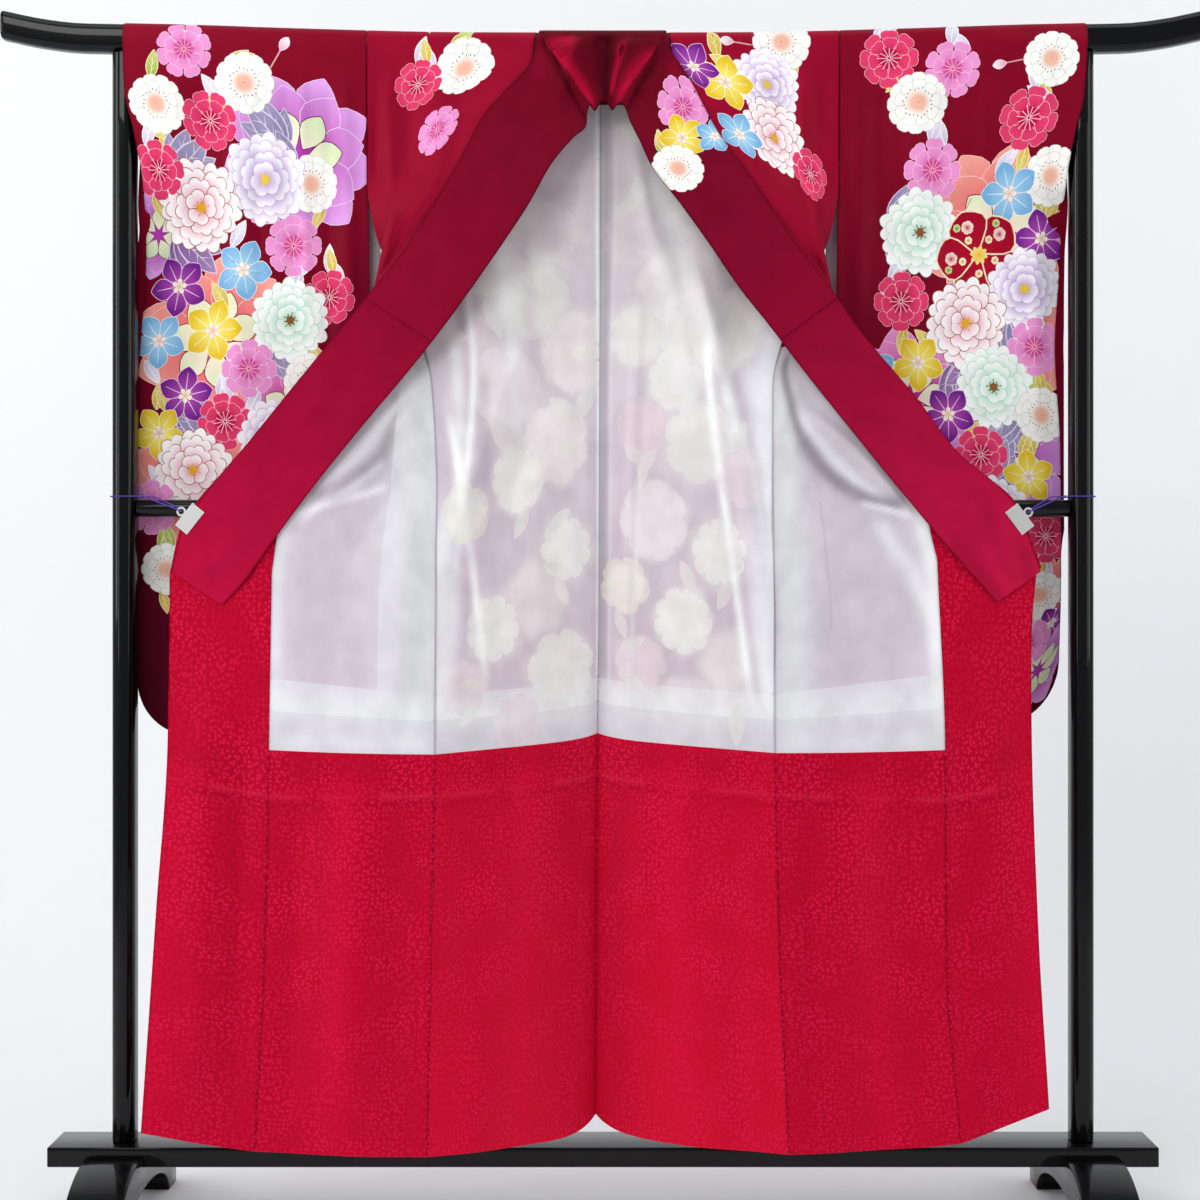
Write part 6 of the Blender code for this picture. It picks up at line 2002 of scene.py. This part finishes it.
# Print of the sleeves' fronts: across from the seam, down from the crest, kind, width in mm, turn in degrees
SLEEVE_PRINT = {
    -1: (
        (104, 196, "orchid", 236, 10), (236, 452, "coral", 250, 25), (110, 560, "magenta", 190, 0),
        (262, 650, "coral", 220, 70), (330, 300, "orchid", 130, 40), (140, 740, "orchid", 170, 10),
        (262, 52, "pink", 84, 20), (176, 96, "white", 90, 0), (306, 128, "white", 84, 40),
        (232, 148, "rose", 86, 15), (138, 74, "bud", 52, 150), (86, 232, "white", 84, 10),
        (158, 226, "lilac", 132, 0), (262, 262, "rosy", 136, 30), (322, 214, "rose", 82, 0),
        (118, 318, "pink", 92, 0), (196, 352, "blue", 92, 12), (296, 374, "purple", 92, -8),
        (62, 392, "rose", 84, 30), (122, 424, "green", 126, 15), (240, 438, "yellow", 96, 20),
        (322, 452, "blue", 86, 0), (182, 494, "pink", 88, 0), (278, 532, "purple", 88, 30),
        (90, 512, "white", 84, 0), (218, 570, "rose", 88, 10), (318, 586, "yellow", 84, 0),
        (140, 594, "lilac", 122, 40), (266, 640, "rosy", 126, 0), (192, 676, "white", 84, 20),
        (328, 694, "pink", 84, 0), (114, 694, "blue", 84, 25), (240, 738, "rose", 84, 0),
        (306, 784, "white", 80, 30), (164, 776, "yellow", 80, 0), (258, 828, "pink", 78, 15),
    ),
    1: (
        (250, 300, "coral", 250, 0), (116, 540, "magenta", 220, 20), (262, 620, "orchid", 230, 0),
        (338, 846, "coral", 190, 15), (316, 950, "orchid", 120, 40), (286, 452, "coral", 190, 50),
        (160, 720, "coral", 180, 10), (70, 58, "rose", 88, 0), (160, 76, "pink", 84, 25),
        (112, 122, "white", 90, 0), (300, 66, "white", 82, 30), (262, 66, "bud", 46, 80),
        (276, 146, "rose", 90, 10), (324, 222, "white", 84, 0), (142, 214, "pink", 92, 0),
        (206, 250, "bud", 50, 25), (264, 244, "blue", 92, 15), (128, 300, "green", 130, 0),
        (318, 306, "purple", 88, 20), (222, 330, "roundel", 140, 10), (296, 378, "lilac", 124, 0),
        (102, 398, "rose", 90, 0), (206, 428, "rosy", 138, 20), (316, 462, "pink", 90, 0),
        (130, 486, "yellow", 86, 0), (58, 500, "blue", 82, 20), (250, 520, "green", 128, 30),
        (176, 560, "purple", 88, 0), (322, 560, "white", 84, 15), (96, 586, "pink", 88, 0),
        (226, 618, "rose", 88, 0), (300, 650, "yellow", 84, 30), (150, 652, "white", 88, 0),
        (244, 706, "lilac", 120, 10), (326, 736, "rose", 82, 0), (172, 738, "blue", 82, 0),
        (280, 790, "pink", 80, 0), (214, 806, "white", 78, 20), (316, 826, "white", 84, 0),
        (336, 884, "lone purple", 66, 20), (296, 900, "lone pink", 84, 0),
    ),
}

# Print of the sleeves' backs, down from the crest behind
SLEEVE_BACK_PRINT = (
    (150, 300, "coral", 230, 0), (240, 560, "orchid", 220, 30), (90, 70, "white", 88, 0),
    (250, 96, "rose", 88, 20), (170, 180, "pink", 90, 0), (290, 216, "lilac", 126, 0),
    (110, 276, "rosy", 132, 0), (220, 330, "yellow", 92, 0), (310, 380, "white", 84, 0),
    (140, 420, "rose", 88, 10), (236, 460, "green", 126, 0), (80, 520, "blue", 86, 0),
    (316, 540, "purple", 86, 0), (176, 560, "pink", 88, 0), (256, 630, "rosy", 126, 20),
    (120, 660, "white", 84, 0), (318, 716, "rose", 82, 0), (200, 740, "yellow", 82, 0),
)

# Print of the fronts: across from the side edge
FRONT_PRINT = {
    -1: (
        (148, 66, "white", 90, 15), (84, 92, "rose", 80, 0), (150, 168, "lone pink", 82, 0),
        (92, 18, "bud", 44, 160), (120, 1150, "lilac", 120, 0), (190, 1240, "rose", 88, 0),
        (70, 1300, "white", 86, 0), (150, 1380, "rosy", 124, 0), (210, 1470, "yellow", 86, 0),
        (80, 1490, "pink", 86, 0),
    ),
    1: (
        (84, 30, "white", 88, 0), (128, 34, "bud", 46, -100), (118, 92, "lilac", 112, 0),
        (184, 88, "yellow", 92, 10), (222, 62, "purple", 76, 0), (128, 172, "lone rosy", 126, 20),
        (196, 172, "lone blue", 84, 0), (70, 222, "lone rose", 82, 0), (100, 1160, "green", 120, 0),
        (180, 1220, "pink", 86, 0), (70, 1320, "rose", 88, 0), (150, 1400, "lilac", 124, 0),
        (210, 1500, "white", 84, 0), (70, 1500, "blue", 84, 0),
    ),
}

# Print of the backs: across from the centre seam
BACK_PRINT = {
    -1: (
        (70, 130, "blue", 84, 0), (36, 206, "rose", 86, 0), (74, 292, "white", 92, 0),
        (170, 330, "lilac", 118, 0), (112, 388, "green", 124, 0), (228, 436, "pink", 88, 0),
        (40, 470, "rosy", 122, 0), (168, 520, "lilac", 120, 0), (82, 604, "rosy", 122, 0),
        (152, 656, "white", 94, 0), (248, 700, "yellow", 86, 0), (62, 758, "white", 92, 0),
        (116, 828, "rosy", 112, 0), (196, 866, "white", 96, 0), (70, 936, "green", 120, 0),
        (250, 950, "pink", 84, 0), (150, 1010, "rose", 88, 0), (220, 1090, "white", 88, 0),
        (90, 1130, "lilac", 120, 0), (170, 1210, "green", 124, 0), (60, 1290, "yellow", 90, 0),
        (220, 1330, "rosy", 122, 0), (120, 1410, "rose", 88, 0), (200, 1490, "white", 88, 0),
        (60, 1510, "pink", 86, 0),
    ),
    1: (
        (56, 132, "yellow", 84, 0), (112, 214, "white", 94, 0), (48, 300, "pink", 88, 0),
        (176, 306, "lilac", 120, 0), (116, 372, "rosy", 118, 0), (204, 436, "green", 124, 0),
        (62, 446, "white", 90, 0), (132, 508, "white", 92, 0), (74, 580, "rose", 88, 0),
        (176, 600, "green", 122, 0), (250, 650, "pink", 88, 0), (96, 716, "lilac", 116, 0),
        (208, 756, "white", 92, 0), (46, 812, "yellow", 84, 0), (146, 858, "white", 98, 0),
        (236, 920, "green", 118, 0), (74, 926, "pink", 86, 0), (160, 1000, "rosy", 120, 0),
        (60, 1080, "white", 88, 0), (230, 1090, "rose", 88, 0), (130, 1180, "lilac", 120, 0),
        (210, 1260, "white", 90, 0), (70, 1290, "rose", 88, 0), (160, 1370, "green", 122, 0),
        (240, 1440, "pink", 86, 0), (80, 1480, "rosy", 120, 0), (190, 1530, "yellow", 86, 0),
    ),
}
OKUMI_PRINT = ((70, 1150, "rose", 84, 0), (80, 1290, "lilac", 110, 0), (60, 1430, "white", 84, 0))

# Print of the upper collar: across from its seam edge, along from the middle of the neck
COLLAR_PRINT = (
    (30, 140, "lone pink", 84, 0), (52, 178, "yellow", 74, 30), (82, 216, "white", 76, 0),
    (8, 196, "lone blue", 60, 0),
)

# Painted shadows and highlights on the collar: dark valleys and bright satin ridges of the folds at the neck,
# and crease shade and a highlight at its ends
COLLAR_PAINTED_FOLD_LIGHT = (
    (22, -66, 72, -74, 10, 0.75, "#2E000C"), (66, -74, 112, -90, 10, 0.75, "#2E000C"),
    (26, -29, 58, -50, 8, 0.80, "#C00A38"), (54, -50, 110, -33, 12, 0.80, "#B80A36"),
    (22, 1, 114, 5, 8, 0.88, "#180006"), (34, 17, 98, 18, 3, 0.80, "#B00C38"),
    (46, 51, 100, 37, 12, 0.80, "#B80A36"), (94, 37, 114, 50, 10, 0.60, "#B00A34"),
    (36, 78, 82, 72, 10, 0.75, "#2E000C"), (78, 72, 112, 88, 10, 0.75, "#2E000C"),
    (16, -110, 16, -76, 12, 0.50, "#900A2C"), (14, 92, 14, 120, 12, 0.50, "#900A2C"),
    (98, 860, 106, 1040, 12.0, 0.40, "#8A0A30"), (12, 930, 60, 1060, 11.0, 0.40, "#8E0A32"),
    (20, 830, 66, 930, 10.0, 0.28, "#8E0A32"), (64, 900, 84, 1010, 9.0, 0.25, "#D01C4C"),
    (60, -1000, 20, -1055, 12.0, 0.30, "#8E0A32"), (96, -860, 60, -960, 11.0, 0.25, "#96103A"),
)

# The print seen through the white lining: width as a share of the motif's own, and how pink it looks;
# then the count of a back's flowers that lie under it
VEIL_SEEN = {"lilac": (1.0, 0.35), "white": (1.05, 0.0), "rose": (0.9, 0.9), "rosy": (1.0, 0.25),
             "green": (1.0, 0.0), "pink": (0.9, 0.7), "blue": (0.7, 0.2), "yellow": (0.8, 0.0)}
FLOWERS_UNDER_LINING = 17

# Its tones, how much of it shows, how soft its rims are, and shares of the crisp flowers and of the
# crisp leaves that are left out
VEIL_PALE = "#EEEDE4"
VEIL_LEAF_TIP = "#DCDAD4"
VEIL_PINK = "#E2C8D0"
VEIL_SHARE = 0.50
VEIL_SOFT = (0.12, 0.26)
VEIL_LEFT_OUT = (0.25, 0.35)

# Millimetres down over which the crisp flowers grow clearer, then metres for each millimetre of a
# flower's width: its size there, how far out its leaves start, and their length
VEIL_CLEARER = (250.0, 800.0)
VEIL_FLOWER_SIZE = 0.00104
VEIL_LEAF_REACH = 0.00046
VEIL_LEAF_SIZE = 0.00056

# Crisp flowers under the white lining: petals, tone, share
VEIL_CRISP = {"lilac": (7, "#EAE6EA", 0.34), "white": (9, "#EFEDE8", 0.40), "rose": (8, "#E2CCD4", 0.34),
              "rosy": (7, "#EDE6E4", 0.36), "green": (7, "#EBEDE6", 0.36), "pink": (8, "#E6D4DC", 0.32),
              "yellow": (5, "#EAE8D4", 0.36), "blue": (5, "#DCE2E6", 0.36)}

# Layers seen through the white lining: corners across and down in mm, tone, share
BACK_OVERLAPS = ((0, 996, 300, 1045, "#D0CED2", 0.35), (0, 958, 300, 996, "#ECEDEE", 0.35))
FRONT_OVERLAPS = {
    -1: ((0, 480, 86, 957, "#E2E4E5", 0.45), (0, 957, 245, 996, "#EDEFF0", 0.40),
         (0, 996, 245, 1045, "#D6D7DA", 0.35)),
    1: ((82, 700, 86, 880, "#B4A8B4", 0.35), (0, 957, 245, 996, "#ECEEF0", 0.40),
        (0, 996, 245, 1045, "#D6D7DA", 0.35)),
}

# Painted highlights and painted fold shade on the white lining, with a few strokes for seam allowances and
# the hem's layers seen through it: ends across and down in mm, half width, share, colour
BACK_LINING_PAINTED_LIGHT = {
    -1: (
        (290, 690, 292, 1040, 34, 0.80, "#E8E9EB"), (206, 500, 214, 660, 15, 0.60, "#AEA2AC"),
        (236, 300, 262, 700, 13, 0.60, "#EEEFF0"), (196, 220, 236, 560, 16, 0.45, "#B7A6B0"),
        (172, 160, 262, 760, 7, 0.80, "#FAFAFA"), (128, 120, 158, 560, 12, 0.55, "#F0EEF0"),
        (98, 200, 120, 520, 12, 0.40, "#BBA9B4"), (272, 560, 210, 930, 8, 0.85, "#FFFFFF"),
        (236, 640, 256, 1000, 12, 0.45, "#C4B4C2"), (2, 60, 2, 1040, 4, 0.90, "#FBFBFD"),
        (40, 500, 46, 960, 12, 0.35, "#D6C6D2"), (52, 220, 60, 330, 30, 0.50, "#B39FAE"),
        (0, 1000, 300, 1000, 33, 0.85, "#E2E3E5"), (0, 1034, 300, 1034, 16, 0.90, "#D0CCD2"),
    ),
    1: (
        (8, 60, 8, 1040, 9, 0.80, "#A9A0A8"), (20, 60, 20, 1040, 4, 0.50, "#E6E0E6"),
        (288, 380, 292, 1040, 30, 0.80, "#EDEFF3"), (96, 120, 250, 620, 10, 0.85, "#FCFCFC"),
        (60, 200, 170, 560, 30, 0.50, "#E9EAEA"), (176, 420, 262, 960, 8, 0.90, "#FFFFFF"),
        (204, 520, 280, 1010, 9, 0.50, "#C0B2BC"), (70, 640, 50, 1030, 5, 0.60, "#F6F0F4"),
        (150, 250, 214, 520, 12, 0.45, "#B4A8AE"), (40, 560, 46, 900, 18, 0.35, "#C2AEBC"),
        (0, 990, 300, 1000, 30, 0.85, "#E0E1E3"), (0, 1030, 300, 1034, 16, 0.85, "#D2CED4"),
    ),
}
FRONT_LINING_PAINTED_LIGHT = {
    -1: (
        (83, 540, 106, 648, 16, 0.80, "#7C7078"), (104, 640, 214, 714, 17, 0.76, "#82767E"),
        (92, 676, 230, 748, 5, 0.80, "#F6F5F7"), (26, 470, 26, 1040, 26, 0.80, "#C0C3C5"),
        (78, 470, 70, 1040, 34, 0.35, "#E2E1E4"), (170, 640, 190, 1000, 52, 0.42, "#CBBCC8"),
        (60, 520, 205, 700, 9, 0.65, "#E9E8EB"), (100, 640, 228, 760, 7, 0.45, "#F0F0F2"),
        (238, 700, 238, 1040, 12, 0.55, "#EEF0F2"), (0, 990, 245, 990, 24, 0.75, "#E4E5E7"),
        (0, 1032, 245, 1032, 14, 0.70, "#E9E9EB"),
    ),
    1: (
        (26, 470, 26, 1040, 30, 0.75, "#DDE0E0"), (120, 720, 130, 940, 44, 0.40, "#CDC1CD"),
        (24, 470, 64, 604, 13, 0.80, "#847A82"), (60, 596, 134, 686, 17, 0.80, "#847A82"),
        (128, 680, 212, 748, 18, 0.78, "#887E86"), (74, 500, 214, 668, 13, 0.55, "#DAD2DA"),
        (150, 720, 236, 772, 6, 0.70, "#F2F2F4"), (60, 560, 190, 720, 10, 0.55, "#ECECEF"),
        (170, 760, 236, 900, 12, 0.60, "#F2F2F4"), (236, 700, 238, 1040, 14, 0.75, "#FFFFFF"),
        (0, 990, 245, 990, 24, 0.70, "#E4E5E7"), (0, 1032, 245, 1032, 14, 0.70, "#E6E6E8"),
    ),
}

# Painted light and shade on the red lining, same columns: a highlight over a dark line along a crease, and
# softer dark and light bands down the panels
RED_LINING_PAINTED_LIGHT = (
    (0, 1103, 84, 1106, 3, 0.26, "#E03856"), (110, 1107, 170, 1105, 2.5, 0.14, "#E03856"),
    (196, 1104, 300, 1107, 3, 0.22, "#E03856"), (0, 1113, 130, 1117, 6, 0.34, "#8E0420"),
    (150, 1115, 300, 1119, 5, 0.24, "#8E0420"), (20, 1066, 260, 1074, 16, 0.24, "#96061F"),
    (40, 1050, 46, 1600, 30, 0.30, "#A8062A"), (130, 1050, 140, 1600, 26, 0.20, "#E0103C"),
    (220, 1100, 214, 1600, 24, 0.25, "#B00628"),
)

# Seeds of the leaves' places
SEEDS = {"sleeve": 11, "sleeve behind": 21, "front": 31, "back": 41, "okumi": 51, "collar": 61,
         "under lining": 71}


class Looks:
    """Materials, ground colours with their painted shade and highlights, and printed shapes of every piece of
    cloth.
    """

    def __init__(self):
        # Figured silk dyed by hand: a deep even crimson, half matt, that pales a little at a slant
        self.crimson = silk("crimson_figured_silk_yuzen_dyed", CRIMSON_WEAVE, 0.0004,
                            roughness=0.50, sheen=0.10, sheen_tint="#F06078")
        # Crepe with hard twisted threads: a duller face with wider, softer light along its folds; the darker
        # neck and the shadows and highlights of its folds are also painted into its colours
        self.collar = silk("crimson_crepe_silk_collar", CRIMSON_WEAVE, 0.0005,
                           roughness=0.55, sheen=0.12, sheen_tint="#E84868")
        # Plain white silk pressed by rollers: a smooth sheen, with long bright streaks down its folds, partly
        # from that sheen and partly painted highlights in its colours
        self.white = silk("white_silk_lining_calendered", LINING_WEAVE, 0.0002,
                          roughness=0.36, sheen=0.25, sheen_tint="#FFFFFF")
        # Woven satin: smooth red that glows broadly, with lighter blossoms where the weave turns over
        self.red = fleck_silk("red_satin_lining_woven_flecks")
        self.ground = {
            "back": tint(((0.0, "#8E0A2A"), (1.6, "#7A0822"))),
            "front": tint(((0.0, "#960A2C"), (1.6, "#7A0822"))),
            "okumi": tint(((0.0, "#8E0A2A"), (1.6, "#7A0822"))),
            # Painted shade: the sleeves darken from the bar towards their bottoms, in front and behind, as
            # they hang into shadow
            "sleeve": tint(((-1.05, "#46081C"), (-0.5, "#700620"), (0.0, "#840824"), (0.5, "#700620"),
                            (0.8, "#560620"), (1.05, "#46081C"))),
            "strip": tint(((0.0, "#D8D4DA"), (1.0, "#D8D4DA"))),
            # Collar: painted shade towards the neck, with painted fold shadows and highlights
            "collar": with_painted_light(tint(COLLAR_PAINTED_SHADE), COLLAR_PAINTED_FOLD_LIGHT),
        }
        # White linings: the print seen through them, then painted highlights and painted fold shade
        for side in (-1, 1):
            thin = tint(((0.1, "#DCD5D8"), (0.4, "#D2C8CF"), (0.95, "#C9B8C4")))
            thin = veil(thin, BACK_PRINT[side], VEIL_SEEN)
            self.ground["back", side, "white"] = with_painted_light(thin, BACK_LINING_PAINTED_LIGHT[side])
            thin = tint(((0.3, "#C9C4CA"), (0.95, "#CFC4CE")))
            self.ground["front", side, "white"] = with_painted_light(thin, FRONT_LINING_PAINTED_LIGHT[side])
        # Red linings: a painted crease highlight and shade, and soft painted bands
        for key in ("back", "front", "okumi"):
            low = "#C8102F" if key == "back" else "#B80A2B"
            red = tint(((0.4, "#9A0824"), (0.9, "#B20828"), (1.6, low)))
            self.ground[key, "red"] = with_painted_light(red, RED_LINING_PAINTED_LIGHT)
        self.shapes = self.prints(motif_set())

    def prints(self, motifs):
        """Printed shapes of every panel, and those seen through the white lining."""
        shapes = {}
        for side in (-1, 1):
            front = printed(SLEEVE_PRINT[side], motifs, SEEDS["sleeve"] + side)
            behind = [(a, -d, kind, wide, turn + 180) for a, d, kind, wide, turn in SLEEVE_BACK_PRINT]
            shapes["sleeve", side] = front + printed(behind, motifs, SEEDS["sleeve behind"] + side)
            shapes["front", side] = printed(FRONT_PRINT[side], motifs, SEEDS["front"] + side)
            shapes["back", side] = printed(BACK_PRINT[side], motifs, SEEDS["back"] + side)
            under = BACK_PRINT[side][:FLOWERS_UNDER_LINING]
            crisp = pale_print(under, SEEDS["under lining"] + side)
            shapes["back", side, "white"] = overlaps(BACK_OVERLAPS) + crisp
            shapes["front", side, "white"] = overlaps(FRONT_OVERLAPS[side])
            shapes["okumi", side] = printed(OKUMI_PRINT, motifs, SEEDS["okumi"] + side)
        shapes["over_collar"] = printed(COLLAR_PRINT, motifs, SEEDS["collar"])
        return shapes


def finish_hardware():
    """Nickel for the clips and violet cord for their loops."""
    # Steel bent, then plated with nickel: pale satin metal with soft bright edges
    nickel = plain("nickel_plated_spring_steel", "#ECEAE6", 0.34, metal=1.0)
    # Braided rayon: deep violet, matt, with a faint glow at its rim
    cord = plain("violet_braided_rayon_cord", "#3E1A96", 0.6, sheen=0.2)
    for node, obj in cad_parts.items():
        if node.startswith("clip_cord"):
            show(obj, cord)
        elif node.startswith("clip"):
            show(obj, nickel)


def show(obj, material):
    """Gives a kept solid its material and smooth faces."""
    for slot in obj.material_slots:
        slot.material = material
    obj.data.polygons.foreach_set("use_smooth", [True] * len(obj.data.polygons))
    obj.data.set_sharp_from_angle(angle=math.radians(CLIP_SHARP))


def main():
    """Builds the whole scene."""
    looks = Looks()
    make_body(body_panels(), looks)
    make_sleeves(looks)
    make_collar(looks)
    # Wood under many coats of lacquer, polished: near black with narrow clear highlights
    make_stand(lacquer("black_lacquer_polished"))
    finish_hardware()
    make_stage()
    make_lights()
    make_camera()
    bpy.context.scene.view_settings.view_transform = "Standard"


main()
